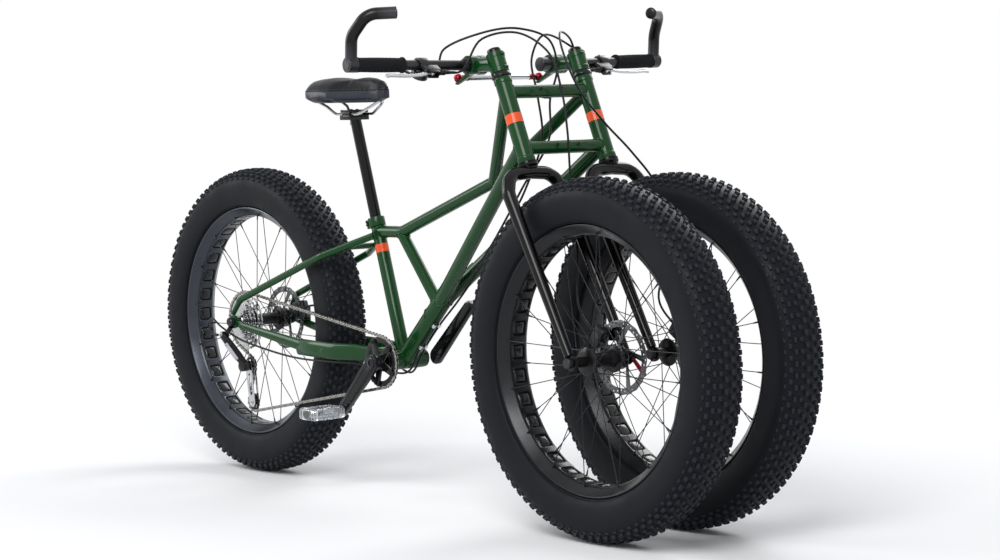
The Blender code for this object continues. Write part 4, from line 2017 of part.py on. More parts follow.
def main():
    build_frame()
    build_seat()
    build_rear()
    right_steering = build_front(RIGHT)
    build_front(LEFT)
    carry(axis_empty("trigger_axis", shifter_axis()[0], right_steering), build_trigger())
    carry(axis_empty("tie_rod_axis", rod_pivot(RIGHT), right_steering), build_tie_rod())


main()
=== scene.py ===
"""Dresses the fat tire tricycle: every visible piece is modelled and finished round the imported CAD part.

Metres, +X forward, +Y to the rider's left, +Z up, origin on the ground under the middle of the wheelbase.
"""

import logging
import math
from collections.abc import Callable, Iterator, Sequence
from contextlib import contextmanager
from dataclasses import dataclass
from enum import Enum

import bpy
from mathutils import Matrix, Vector


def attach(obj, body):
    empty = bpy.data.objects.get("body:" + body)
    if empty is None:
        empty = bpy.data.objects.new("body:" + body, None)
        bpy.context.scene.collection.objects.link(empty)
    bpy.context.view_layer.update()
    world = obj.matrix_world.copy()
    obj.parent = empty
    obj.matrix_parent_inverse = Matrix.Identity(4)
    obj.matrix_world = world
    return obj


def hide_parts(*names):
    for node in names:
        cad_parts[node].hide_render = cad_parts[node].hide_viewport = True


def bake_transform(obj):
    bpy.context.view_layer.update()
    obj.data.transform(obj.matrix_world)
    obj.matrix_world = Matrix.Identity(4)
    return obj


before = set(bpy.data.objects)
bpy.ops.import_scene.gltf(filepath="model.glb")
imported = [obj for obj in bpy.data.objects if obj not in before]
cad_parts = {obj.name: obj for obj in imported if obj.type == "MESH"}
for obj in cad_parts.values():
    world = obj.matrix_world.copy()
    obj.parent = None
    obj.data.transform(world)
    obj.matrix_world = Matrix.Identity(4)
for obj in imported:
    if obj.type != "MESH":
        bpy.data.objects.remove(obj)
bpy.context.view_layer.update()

logging.basicConfig(level=logging.INFO, format="%(message)s")
log = logging.getLogger("tricycle")

X = Vector((1, 0, 0))
Y = Vector((0, 1, 0))
Z = Vector((0, 0, 1))
ORIGIN = Vector((0, 0, 0))

HEAD_ANGLE = math.radians(67.0)
SEAT_ANGLE = math.radians(73.2)
HALF_TRACK = 0.1175
FORK_OFFSET = 0.042
REAR_AXLE = Vector((-0.700, 0, 0.385))
CRANK_AXIS = Vector((-0.115, 0, 0.3215))
STEER_UP = Vector((-math.cos(HEAD_ANGLE), 0, math.sin(HEAD_ANGLE)))
STEER_AHEAD = Vector((math.sin(HEAD_ANGLE), 0, math.cos(HEAD_ANGLE)))
SEAT_UP = Vector((-math.cos(SEAT_ANGLE), 0, math.sin(SEAT_ANGLE)))
DOWN_TUBE_LENGTH = 0.212
CROSSBAR_LEVELS = (0.629, 0.497)
CROSSBAR_BOSSES = (-0.030, 0.030)
# Each caliper's distance to the left of its wheel's middle, and its angle about the axle in degrees
FRONT_CALIPER = (0.0595, 146)
REAR_CALIPER = (0.0695, 17)
CALIPER_REACH = 0.074
CALIPER_TAB = 0.0193
# From the first cable mouth of a lever body to its second
SECOND_MOUTH = Vector((-0.0135, 0, 0.0025))
# Turns what is drawn in the XY plane to face along Y
UPRIGHT = Matrix.Rotation(math.pi / 2, 4, "X")

Outline = list[tuple[float, float]]
Ring = tuple[Matrix, float, float]


class Side(Enum):
    """The rider's right or left, as the sign of Y."""

    RIGHT = -1
    LEFT = 1

    @property
    def word(self) -> str:
        """The side's name as the CAD nodes spell it."""
        return self.name.lower()

    @property
    def axle(self) -> Vector:
        """The middle of this side's front axle."""
        return Vector((0.700, self.value * HALF_TRACK, 0.385))

    @property
    def body(self) -> str:
        """The CAD body of this side's steered pieces."""
        return f"{self.word}_steering"


class Grain(Enum):
    """The small pattern of a finish."""

    CLOUD = "ShaderNodeTexNoise"
    PEBBLE = "ShaderNodeTexVoronoi"


def steerer(side: Side, along: float, lateral: float = 0.0, ahead: float = 0.0) -> Vector:
    """A point in one fork's own frame.

    Args:
        side: Which fork.
        along: Distance up the steering axis from the axle's level.
        lateral: Distance to the rider's left.
        ahead: Distance ahead of the steering axis.

    Returns:
        The point.
    """
    return side.axle + STEER_UP * along + Y * lateral + STEER_AHEAD * (ahead - FORK_OFFSET)


def up_seat_tube(along: float) -> Vector:
    """A point on the seat tube's axis, a distance above the cranks."""
    return CRANK_AXIS + SEAT_UP * along


def heading(angle: float) -> Vector:
    """The direction at an angle above +X, seen from the rider's right."""
    return Vector((math.cos(angle), 0, math.sin(angle)))


def caliper_spot(axle: Vector, across: float, degrees: float) -> tuple[Vector, Vector]:
    """Where a caliper is.

    Args:
        axle: The middle of its wheel's axle.
        across: Its distance to the rider's left.
        degrees: Its angle about the axle, above +X.

    Returns:
        Its middle, and its direction away from the axle.
    """
    out = heading(math.radians(degrees))
    return axle + out * CALIPER_REACH + Y * across, out


# Finishes

LACQUER_ROUGHNESS = 0.06
POLYCARBONATE_IOR = 1.58


def linear(colour: str) -> tuple[float, float, float, float]:
    """An sRGB colour made linear.

    Args:
        colour: A hex colour, such as #083813.

    Returns:
        Its linear red, green and blue, and a full alpha.
    """
    shares = [int(colour[i : i + 2], 16) / 255 for i in (1, 3, 5)]
    red, green, blue = (s / 12.92 if s <= 0.04045 else ((s + 0.055) / 1.055) ** 2.4 for s in shares)
    return red, green, blue, 1.0


def add_node(
    tree: bpy.types.NodeTree, kind: str, inputs: dict | None = None, **settings: object
) -> bpy.types.Node:
    """Adds a node.

    Args:
        tree: The material's node tree.
        kind: The node's type name.
        inputs: For each input's name or number, its value or the output linked to it.
        settings: The node's own properties.

    Returns:
        The node.
    """
    node = tree.nodes.new(kind)
    for name, value in settings.items():
        setattr(node, name, value)
    for name, value in (inputs or {}).items():
        if isinstance(value, bpy.types.NodeSocket):
            tree.links.new(value, node.inputs[name])
        else:
            node.inputs[name].default_value = value
    return node


@dataclass(frozen=True)
class Finish:
    """What a surface is made of and how it was worked. Lengths are in millimetres.

    The colour drifts towards tint over patches, the grain gives relief, and edge is the colour that sharp
    edges take: partly wear, partly a painted edge highlight.
    """

    name: str
    slot: str
    colour: str
    tint: str
    roughness: float
    metallic: float = 0.0
    spread: float = 0.06
    patch: float = 40.0
    grain: float = 1.0
    relief: float = 0.02
    pattern: Grain = Grain.CLOUD
    stretch: tuple[float, float, float] = (1.0, 1.0, 1.0)
    coat: float = 0.0
    edge: str = ""
    clear: float = 0.0
    sheen: float = 0.0
    shine: float = 0.5

    def material(self) -> bpy.types.Material:
        """The finish as a procedural material, made once."""
        known = bpy.data.materials.get(self.name)
        if known:
            return known
        made = bpy.data.materials.new(self.name)
        made.use_nodes = True
        tree = made.node_tree
        shader = tree.nodes["Principled BSDF"]
        place = add_node(tree, "ShaderNodeTexCoord").outputs["Object"]
        mapped = add_node(tree, "ShaderNodeMapping", {"Vector": place, "Scale": self.stretch})
        patches = add_node(
            tree, "ShaderNodeTexNoise", {"Vector": place, "Scale": 1000 / self.patch, "Detail": 4.0}
        )
        grain = add_node(tree, self.pattern.value, {"Vector": mapped.outputs[0], "Scale": 1000 / self.grain})
        height = grain.outputs["Distance" if self.pattern is Grain.PEBBLE else "Fac"]
        drift = add_node(tree, "ShaderNodeMix", data_type="RGBA")
        tree.links.new(patches.outputs["Fac"], drift.inputs[0])
        drift.inputs[6].default_value = linear(self.colour)
        drift.inputs[7].default_value = linear(self.tint)
        colour = drift.outputs[2]
        # Sharp edges take the lighter edge colour: partly wear, partly a painted edge highlight
        if self.edge:
            point = add_node(tree, "ShaderNodeNewGeometry").outputs["Pointiness"]
            edge_wear_and_highlight = add_node(tree, "ShaderNodeMapRange", {0: point, 1: 0.53, 2: 0.60, 3: 0.0, 4: 0.6})
            wear_and_highlight_mix = add_node(tree, "ShaderNodeMix", {0: edge_wear_and_highlight.outputs[0], 6: colour}, data_type="RGBA")
            wear_and_highlight_mix.inputs[7].default_value = linear(self.edge)
            colour = wear_and_highlight_mix.outputs[2]
        tree.links.new(colour, shader.inputs["Base Color"])
        low, high = max(0.03, self.roughness - self.spread), min(1.0, self.roughness + self.spread)
        gloss = add_node(
            tree, "ShaderNodeMapRange", {0: patches.outputs["Fac"], 1: 0.3, 2: 0.7, 3: low, 4: high}
        )
        tree.links.new(gloss.outputs[0], shader.inputs["Roughness"])
        bump = add_node(
            tree, "ShaderNodeBump", {"Height": height, "Distance": self.relief / 1000, "Strength": 1.0}
        )
        tree.links.new(bump.outputs[0], shader.inputs["Normal"])
        shader.inputs["Metallic"].default_value = self.metallic
        shader.inputs["Coat Weight"].default_value = self.coat
        shader.inputs["Coat Roughness"].default_value = LACQUER_ROUGHNESS
        shader.inputs["Transmission Weight"].default_value = self.clear
        shader.inputs["Sheen Weight"].default_value = self.sheen
        shader.inputs["Specular IOR Level"].default_value = self.shine
        if self.clear:
            shader.inputs["IOR"].default_value = POLYCARBONATE_IOR
        return made


# Wet paint under clear lacquer: a deep even colour, a sharp highlight and a faint orange peel
GREEN = Finish(
    "green_lacquered_paint", "green_paint", "#083813", "#0b4018", 0.24, coat=0.32, grain=2.5,
    relief=0.010, shine=0.1,
)
# The same paint in orange: brighter, for the bands
ORANGE = Finish(
    "orange_painted_band", "green_paint", "#dd4a16", "#e2541d", 0.34, coat=0.4, grain=2.5,
    relief=0.010, shine=0.25,
)
# Stoved black enamel: nearly mirror bright
BLACK = Finish(
    "black_enamel", "black_paint", "#060607", "#0b0b0d", 0.12, coat=0.18, spread=0.03, grain=2.5,
    relief=0.006, shine=0.15,
)
# Moulded tyre rubber: blue black, dull, with fine mould grain and a little dust; its sharp edges lighter,
# partly dust, partly a painted highlight
RUBBER = Finish(
    "moulded_tyre_rubber", "black_rubber", "#0d0f13", "#14161b", 0.54, spread=0.10, patch=55, grain=0.9,
    relief=0.05, edge="#2b2e35", shine=0.13,
)
# Stretched nylon strip: taut and shiny where it bulges
STRIP = Finish(
    "stretched_rim_strip", "black_rubber", "#0b0c0f", "#131418", 0.18, spread=0.05, grain=3,
    relief=0.03, shine=0.4,
)
# Extruded vinyl over wound steel: an even satin black
HOUSING = Finish(
    "extruded_cable_housing", "black_rubber", "#0e0e10", "#17171a", 0.36, grain=0.7, relief=0.02, shine=0.2
)
# Anodised aluminium: dyed metal with a satin face; its sharp edges lighter, partly wear, partly a painted
# edge highlight
ANODISED = Finish(
    "black_anodised_aluminium", "black_aluminium", "#0b0b0d", "#141417", 0.30, 0.55, grain=0.8,
    relief=0.01, edge="#4a4c50",
)
# Anodised rims: their sharp edges, round the windows too, lighter: partly wear, partly a painted edge
# highlight
GREY_RIM = Finish(
    "grey_anodised_rim", "grey_aluminium", "#34373d", "#3e4249", 0.30, 0.75, grain=0.8,
    relief=0.01, edge="#7b8088",
)
BLACK_RIM = Finish(
    "black_anodised_rim", "black_paint", "#0c0d10", "#17181c", 0.30, 0.45, grain=0.8,
    relief=0.01, edge="#3a3c42",
)
# Forged and polished aluminium: bright, with soft polishing marks
ALLOY = Finish(
    "polished_aluminium", "grey_aluminium", "#b6b9bd", "#c6c8cb", 0.24, 1.0, grain=0.6, relief=0.012
)
# Stainless steel, turned and drawn: the rear axle, the sprockets and the saddle's rails
STEEL = Finish("stainless_steel", "bare_steel", "#a9abad", "#c3c4c4", 0.24, 1.0, grain=0.5, relief=0.012)
# Pressed steel under a film of oil, a little warm
CHAIN_STEEL = Finish(
    "oiled_chain_steel", "bare_steel", "#8b8a86", "#a9a6a0", 0.30, 1.0, patch=12, grain=0.5, relief=0.02
)
# Chemically blackened steel with a dull metallic gleam
DARK_SPOKE = Finish(
    "blackened_spoke_steel", "bare_steel", "#26272a", "#303236", 0.34, 0.85, grain=0.5, relief=0.012
)
# Ground steel, tinted brown grey by heat
DISC_STEEL = Finish(
    "heat_darkened_disc_steel", "bare_steel", "#55575a", "#717375", 0.30, 1.0, patch=18, grain=0.5,
    relief=0.02,
)
# Glossy black anodising on the cranks and the seatpost; its sharp edges lighter, partly wear, partly a
# painted edge highlight
GLOSS_BLACK = Finish(
    "glossy_black_anodising", "black_aluminium", "#08090b", "#0e0f12", 0.14, 0.2, spread=0.04,
    coat=0.15, grain=0.8, relief=0.008, shine=0.2, edge="#3a3b3e",
)
# Anodised aluminium dyed red: a deep metallic red
RED = Finish(
    "red_anodised_aluminium", "red_aluminium", "#7d0c1b", "#92162a", 0.28, 0.8, grain=0.6, relief=0.01
)
# Pressed vinyl over foam: pebbled skin with a dull sheen
VINYL = Finish(
    "pebbled_saddle_vinyl", "black_leather", "#0d0e11", "#131418", 0.40, spread=0.05, grain=1.6, relief=0.06,
    pattern=Grain.PEBBLE, shine=0.18,
)
SIDE_VINYL = Finish(
    "smooth_side_vinyl", "black_leather", "#20242c", "#292e38", 0.34, spread=0.05, grain=1.4, relief=0.04,
    pattern=Grain.PEBBLE, shine=0.3,
)
THREAD = Finish("waxed_thread", "black_leather", "#3b3d42", "#4a4c52", 0.7, grain=0.4, relief=0.05)
# Closed cell foam: open pores on a matt skin
FOAM = Finish(
    "closed_cell_foam", "foam", "#131416", "#1b1c1f", 0.88, spread=0.05, grain=0.8, relief=0.12, shine=0.15
)
# Injection moulded nylon: fine spark eroded texture
NYLON = Finish(
    "moulded_nylon", "black_plastic", "#0d0e10", "#151619", 0.44, grain=0.6, relief=0.03, shine=0.25
)
# Clear polycarbonate, lightly scuffed
CLEAR = Finish(
    "clear_polycarbonate", "clear_plastic", "#f4f6f8", "#e9edf1", 0.07, spread=0.03, grain=4,
    relief=0.01, clear=0.94,
)


# Modelling, as by hand


def only(obj: bpy.types.Object) -> bpy.types.Object:
    """Selects one object alone and makes it active.

    Args:
        obj: The object.

    Returns:
        The object.
    """
    bpy.ops.object.select_all(action="DESELECT")
    obj.select_set(True)
    bpy.context.view_layer.objects.active = obj
    return obj


@contextmanager
def editing(obj: bpy.types.Object, action: str = "SELECT") -> Iterator[None]:
    """Edit mode on one object.

    Args:
        obj: The object.
        action: SELECT to begin with all of it selected, DESELECT with none.
    """
    only(obj)
    bpy.ops.object.mode_set(mode="EDIT")
    bpy.ops.mesh.select_all(action=action)
    yield
    bpy.ops.object.mode_set(mode="OBJECT")


def pick_faces(obj: bpy.types.Object, test: Callable[[Vector, Vector], bool]) -> None:
    """Selects faces in object mode, for the edit that follows.

    Args:
        obj: The mesh object.
        test: Says of a face's centre and normal whether it is selected.
    """
    bpy.context.tool_settings.mesh_select_mode = (False, False, True)
    for group in (obj.data.vertices, obj.data.edges):
        group.foreach_set("select", [False] * len(group))
    for face in obj.data.polygons:
        face.select = test(face.center, face.normal)


def tidied(obj: bpy.types.Object, gap: float = 0.000002) -> bpy.types.Object:
    """Merges what coincides and turns every face outwards.

    Args:
        obj: The mesh object.
        gap: How near points are merged.

    Returns:
        The object.
    """
    with editing(obj):
        bpy.ops.mesh.remove_doubles(threshold=gap)
        bpy.ops.mesh.normals_make_consistent(inside=False)
    return obj


def modified(obj: bpy.types.Object, kind: str, **settings: object) -> bpy.types.Object:
    """Adds a modifier and applies it.

    Args:
        obj: The mesh object.
        kind: The modifier's type.
        settings: Its settings.

    Returns:
        The object.
    """
    step = obj.modifiers.new(kind.title(), kind)
    for name, value in settings.items():
        setattr(step, name, value)
    only(obj)
    bpy.ops.object.modifier_apply(modifier=step.name)
    return obj


def rounded(
    obj: bpy.types.Object, width: float, segments: int = 2, degrees: float = 35.0
) -> bpy.types.Object:
    """Rounds the edges that turn by more than an angle."""
    limit = math.radians(degrees)
    return modified(obj, "BEVEL", width=width, segments=segments, limit_method="ANGLE", angle_limit=limit)


def settled(obj: bpy.types.Object, matrix: Matrix | None = None) -> bpy.types.Object:
    """Puts an object's place in its mesh.

    Args:
        obj: The object.
        matrix: What it is moved by first, if anything.

    Returns:
        The object.
    """
    if matrix is not None:
        obj.matrix_world = matrix @ obj.matrix_world
    only(obj)
    bpy.ops.object.transform_apply(location=True, rotation=True, scale=True)
    return obj


def axes_at(origin: Vector, z_axis: Vector, x_hint: Vector = X) -> Matrix:
    """A place with axes of its own.

    Args:
        origin: Where it is.
        z_axis: Its Z direction.
        x_hint: What its X direction is near.

    Returns:
        The place as a matrix.
    """
    z = z_axis.normalized()
    hint = Y if abs(x_hint.normalized().dot(z)) > 0.98 else x_hint
    y = z.cross(hint).normalized()
    return Matrix.Translation(origin) @ Matrix((y.cross(z), y, z)).transposed().to_4x4()


def rod(
    start: Vector,
    end: Vector,
    radius: float,
    end_radius: float | None = None,
    sides: int = 32,
    edge: float = 0.0,
) -> bpy.types.Object:
    """A round bar between two points.

    Args:
        start: The middle of its first end.
        end: The middle of its other end.
        radius: Its radius at the start.
        end_radius: Its radius at the end, where it tapers.
        sides: Faces round it.
        edge: How far its end edges are rounded.

    Returns:
        The bar.
    """
    bpy.ops.mesh.primitive_cone_add(
        vertices=sides, radius1=radius, radius2=end_radius or radius, depth=(end - start).length
    )
    obj = bpy.context.object
    if edge:
        rounded(obj, edge, 2, 50)
    return settled(obj, axes_at((start + end) / 2, end - start))


def brick(size: Sequence[float], matrix: Matrix, edge: float = 0.001, segments: int = 2) -> bpy.types.Object:
    """A box with rounded edges.

    Args:
        size: Its length along each axis.
        matrix: Its middle's place.
        edge: How far its edges are rounded.
        segments: Faces across each rounded edge.

    Returns:
        The box.
    """
    bpy.ops.mesh.primitive_cube_add(size=1, scale=size)
    obj = settled(bpy.context.object)
    if edge:
        rounded(obj, edge, segments)
    return settled(obj, matrix)


def ball(centre: Vector, radius: float, scale: Sequence[float] = (1, 1, 1)) -> bpy.types.Object:
    """A ball, or an egg along the main axes.

    Args:
        centre: Its middle.
        radius: Its radius.
        scale: How far it is stretched along each axis.

    Returns:
        The ball.
    """
    bpy.ops.mesh.primitive_uv_sphere_add(segments=20, ring_count=12, radius=radius)
    obj = bpy.context.object
    obj.scale = scale
    return settled(settled(obj), Matrix.Translation(centre))


def lathe(
    profile: Outline, origin: Vector, axis: Vector, steps: int = 64, closed: bool = True
) -> bpy.types.Object:
    """A turned shape, drawn point by point and spun.

    Args:
        profile: Radius and height of each point.
        origin: Where height is 0 on the axis.
        axis: The axis about which it is spun.
        steps: Faces round it.
        closed: True where the last point joins the first.

    Returns:
        The shape.
    """
    points = [Vector((radius, 0, height)) for radius, height in profile]
    if closed:
        points.append(points[0])
    bpy.ops.mesh.primitive_plane_add(size=0.01)
    obj = bpy.context.object
    bpy.context.tool_settings.mesh_select_mode = (True, False, False)
    with editing(obj):
        bpy.ops.mesh.merge(type="CENTER")
        bpy.ops.transform.translate(value=points[0])
        for before, point in zip(points, points[1:]):
            bpy.ops.mesh.extrude_vertices_move(TRANSFORM_OT_translate={"value": point - before})
        bpy.ops.mesh.select_all(action="SELECT")
        bpy.ops.mesh.spin(steps=steps, angle=2 * math.pi, center=(0, 0, 0), axis=(0, 0, 1))
    return settled(tidied(obj), axes_at(origin, axis))


def tube(
    points: Sequence[Vector],
    radius: float,
    sides: int = 20,
    radii: Sequence[float] | None = None,
    closed: bool = False,
) -> bpy.types.Object:
    """A round tube along points.

    Args:
        points: Its centre line.
        radius: Its radius.
        sides: Faces round it.
        radii: A radius for each point, where it changes.
        closed: True for a ring.

    Returns:
        The tube as a mesh.
    """
    bpy.ops.curve.primitive_bezier_curve_add()
    obj = bpy.context.object
    curve = obj.data
    curve.splines.clear()
    spline = curve.splines.new("POLY")
    spline.points.add(len(points) - 1)
    for i, point in enumerate(points):
        spline.points[i].co = (*point, 1)
        spline.points[i].radius = radii[i] / radius if radii else 1.0
    spline.use_cyclic_u = closed
    curve.dimensions = "3D"
    curve.bevel_depth = radius
    curve.bevel_resolution = (sides - 4) // 2
    curve.use_fill_caps = not closed
    only(obj)
    bpy.ops.object.convert(target="MESH")
    return tidied(obj)


def plate(
    outlines: Sequence[Outline], thickness: float, matrix: Matrix, edge: float = 0.0003
) -> bpy.types.Object:
    """A flat plate with rounded edges in the matrix's XY plane.

    Args:
        outlines: The outer outline, then the holes.
        thickness: Its whole thickness.
        matrix: Its place.
        edge: How far its edges are rounded.

    Returns:
        The plate as a mesh.
    """
    bpy.ops.curve.primitive_bezier_circle_add()
    obj = bpy.context.object
    curve = obj.data
    curve.splines.clear()
    for number, outline in enumerate(outlines):
        turn = sum(a[0] * b[1] - b[0] * a[1] for a, b in zip(outline, [*outline[1:], outline[0]]))
        ordered = list(outline) if (turn > 0) == (number == 0) else list(reversed(outline))
        spline = curve.splines.new("POLY")
        spline.points.add(len(ordered) - 1)
        for target, (x, y) in zip(spline.points, ordered):
            target.co = (x, y, 0, 1)
        spline.use_cyclic_u = True
    curve.dimensions = "2D"
    curve.fill_mode = "BOTH"
    curve.extrude = thickness / 2 - edge
    curve.bevel_depth = edge
    curve.bevel_resolution = 1
    curve.offset = -edge
    only(obj)
    bpy.ops.object.convert(target="MESH")
    return settled(tidied(obj), matrix)


def loft(sections: Sequence[Ring], sides: int = 24) -> bpy.types.Object:
    """A skin over oval rings, capped at both ends.

    Args:
        sections: For each ring its matrix, its half width along X and its half height along Y.
        sides: Faces round it.

    Returns:
        The skin.
    """
    rings = []
    for matrix, half_width, half_height in sections:
        bpy.ops.mesh.primitive_circle_add(vertices=sides, radius=1, fill_type="NOTHING")
        ring = bpy.context.object
        ring.scale = (half_width, half_height, 1)
        rings.append(settled(settled(ring), matrix))
    obj = joined(rings)
    bpy.context.tool_settings.mesh_select_mode = (False, True, False)
    with editing(obj):
        bpy.ops.mesh.bridge_edge_loops()
        bpy.ops.mesh.select_all(action="SELECT")
        bpy.ops.mesh.fill_holes(sides=0)
    return tidied(obj)


def joined(pieces: Sequence[bpy.types.Object]) -> bpy.types.Object:
    """Joins objects into the first.

    Args:
        pieces: The objects.

    Returns:
        The first of them.
    """
    only(pieces[0])
    for piece in pieces:
        piece.select_set(True)
    if len(pieces) > 1:
        bpy.ops.object.join()
    return pieces[0]


def copied(obj: bpy.types.Object, matrix: Matrix = Matrix()) -> bpy.types.Object:
    """A copy with its own mesh.

    Args:
        obj: The object.
        matrix: What the copy is moved by.

    Returns:
        The copy.
    """
    twin = obj.copy()
    twin.data = obj.data.copy()
    bpy.context.scene.collection.objects.link(twin)
    twin.data.transform(matrix)
    return twin


def around(obj: bpy.types.Object, count: int, centre: Vector, axis: Vector) -> bpy.types.Object:
    """Repeats a piece evenly round an axis.

    Args:
        obj: The piece, in its first place.
        count: How many there are in the end.
        centre: A point on the axis.
        axis: The axis's direction.

    Returns:
        The piece with its repeats.
    """
    turn = Matrix.Rotation(2 * math.pi / count, 4, axis)
    bpy.ops.object.empty_add()
    guide = bpy.context.object
    guide.matrix_world = Matrix.Translation(centre) @ turn @ Matrix.Translation(-centre)
    bpy.context.view_layer.update()
    modified(
        obj, "ARRAY", count=count, use_relative_offset=False, use_object_offset=True, offset_object=guide
    )
    bpy.data.objects.remove(guide)
    return obj


def cut(obj: bpy.types.Object, *tools: bpy.types.Object) -> bpy.types.Object:
    """Cuts tools out of a piece and deletes them.

    Args:
        obj: The piece.
        tools: What is cut out of it.

    Returns:
        The piece.
    """
    for tool in tools:
        modified(obj, "BOOLEAN", operation="DIFFERENCE", solver="EXACT", object=tool)
        bpy.data.objects.remove(tool)
    return obj


def finished(obj: bpy.types.Object, finish: Finish, degrees: float = 35.0) -> bpy.types.Object:
    """Gives a piece one finish and smooth shading.

    Args:
        obj: The piece.
        finish: Its finish.
        degrees: From which angle its edges stay sharp.

    Returns:
        The piece.
    """
    obj.data.materials.clear()
    obj.data.materials.append(finish.material())
    only(obj)
    bpy.ops.object.shade_smooth_by_angle(angle=math.radians(degrees))
    return obj


def hand_over(
    obj: bpy.types.Object,
    name: str,
    body: str,
    stands_for: Sequence[str] = (),
    moves: bool = True,
) -> bpy.types.Object:
    """Names a finished piece, ties it to its body and hides the CAD nodes it stands for.

    Args:
        obj: The piece.
        name: Its name.
        body: The CAD body it rides on.
        stands_for: The CAD nodes it replaces.
        moves: False to leave the piece on no body.

    Returns:
        The piece.
    """
    obj.name = name
    obj.data.name = name
    if moves:
        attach(obj, body)
    if stands_for:
        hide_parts(*stands_for)
    log.info("%s: %d faces", name, len(obj.data.polygons))
    return obj


def arc(radius: float, turns: Sequence[float], centre: tuple[float, float] = (0.0, 0.0)) -> Outline:
    """Points on a circle at angles."""
    return [(centre[0] + radius * math.cos(t), centre[1] + radius * math.sin(t)) for t in turns]


def ring_points(radius: float, count: int, centre: tuple[float, float] = (0.0, 0.0)) -> Outline:
    """Points evenly round a circle."""
    return arc(radius, [2 * math.pi * i / count for i in range(count)], centre)


def capsule(
    first: tuple[float, float], second: tuple[float, float], radius_1: float, radius_2: float, steps: int = 12
) -> Outline:
    """The outline round two circles of unlike radius.

    Args:
        first: The first circle's centre.
        second: The other circle's centre.
        radius_1: The first circle's radius, the larger one.
        radius_2: The other circle's radius.
        steps: Spans round each circle.

    Returns:
        The outline's points.
    """
    a, b = Vector(first), Vector(second)
    along = math.atan2(b.y - a.y, b.x - a.x)
    lean = math.acos((radius_1 - radius_2) / (b - a).length)
    points = []
    for i in range(steps + 1):
        turn = along + lean + (2 * math.pi - 2 * lean) * i / steps
        points.append((a.x + radius_1 * math.cos(turn), a.y + radius_1 * math.sin(turn)))
    for i in range(steps + 1):
        turn = along - lean + 2 * lean * i / steps
        points.append((b.x + radius_2 * math.cos(turn), b.y + radius_2 * math.sin(turn)))
    return points


def bent(corners: Sequence[Vector], bend: float, steps: int = 10) -> list[Vector]:
    """A route through corners, each turned by an arc.

    Args:
        corners: Its ends, and the corners between them.
        bend: The arcs' radius, less where a corner has no room for it.
        steps: Spans in each arc.

    Returns:
        The route's points.
    """
    route = [corners[0]]
    for before, corner, after in zip(corners, corners[1:], corners[2:]):
        into, out = (corner - before).normalized(), (after - corner).normalized()
        turn = into.angle(out, 0.0)
        if turn < math.radians(2):
            route.append(corner)
            continue
        room = min(0.48 * (corner - before).length, 0.48 * (after - corner).length)
        reach = min(bend * math.tan(turn / 2), room)
        radius = reach / math.tan(turn / 2)
        start = corner - into * reach
        normal = (out - into * into.dot(out)).normalized()
        for i in range(steps + 1):
            angle = turn * i / steps
            route.append(start + normal * radius * (1 - math.cos(angle)) + into * radius * math.sin(angle))
    route.append(corners[-1])
    return route


def flowing(points: Sequence[Vector], per_span: int = 10) -> list[Vector]:
    """A smooth line through points, tangent to its end runs.

    Args:
        points: What it goes through.
        per_span: Spans of the line from each point to the next.

    Returns:
        The line's points: every per_span-th one is a point that was given.
    """
    spans = [(b - a).length for a, b in zip(points, points[1:])]
    runs = [(b - a) / span for a, b, span in zip(points, points[1:], spans)]
    tangents = [runs[0]]
    for before, after, run_in, run_out in zip(spans, spans[1:], runs, runs[1:]):
        tangents.append((run_in * after + run_out * before) / (before + after))
    tangents.append(runs[-1])
    line = []
    for i, span in enumerate(spans):
        for k in range(per_span):
            t = k / per_span
            line.append(
                points[i] * (1 - 3 * t * t + 2 * t**3)
                + points[i + 1] * (3 * t * t - 2 * t**3)
                + tangents[i] * span * (t - 2 * t * t + t**3)
                + tangents[i + 1] * span * (t**3 - t * t)
            )
    line.append(points[-1])
    return line


def bead(
    at: Vector, along: Vector, radius: float, other_at: Vector, other_along: Vector, other_radius: float
) -> bpy.types.Object:
    """The weld bead where a round tube meets the side of another.

    Args:
        at: A point on the tube's axis, just outside the other tube.
        along: The tube's direction.
        radius: The tube's radius.
        other_at: A point on the other tube's axis.
        other_along: The other tube's direction.
        other_radius: The other tube's radius.

    Returns:
        The bead, rippled as weld puddles are.
    """
    direction, other = along.normalized(), other_along.normalized()
    across = direction.orthogonal().normalized()
    up = direction.cross(across)
    points, radii = [], []
    count, puddles, thick, ripple = 96, 24, 0.0021, 0.0004
    for k in range(count):
        turn = 2 * math.pi * k / count
        start = at + (across * math.cos(turn) + up * math.sin(turn)) * radius
        base, slope = (start - other_at).cross(other), direction.cross(other)
        a, b, c = slope.dot(slope), 2 * base.dot(slope), base.dot(base) - other_radius**2
        root = math.sqrt(max(0.0, b * b - 4 * a * c))
        reach = min(((-b - root) / (2 * a), (-b + root) / (2 * a)), key=abs)
        points.append(start + direction * reach)
        radii.append(thick + ripple * math.sin(turn * puddles))
    return tube(points, thick, 8, radii, closed=True)


def refined(node: str, edge: float = 0.0004, degrees: float = 38.0) -> bpy.types.Object:
    """A merged copy of a CAD node with rounded edges, for small machined pieces.

    Args:
        node: The node's name.
        edge: How far its edges are rounded.
        degrees: From which angle they are.

    Returns:
        The copy.
    """
    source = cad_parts[node]
    obj = bpy.data.objects.new(node, source.data.copy())
    bpy.context.scene.collection.objects.link(obj)
    with editing(obj):
        bpy.ops.mesh.remove_doubles(threshold=0.00001)
        bpy.ops.mesh.dissolve_limited(angle_limit=math.radians(0.5))
    return rounded(obj, edge, 2, degrees) if edge else obj


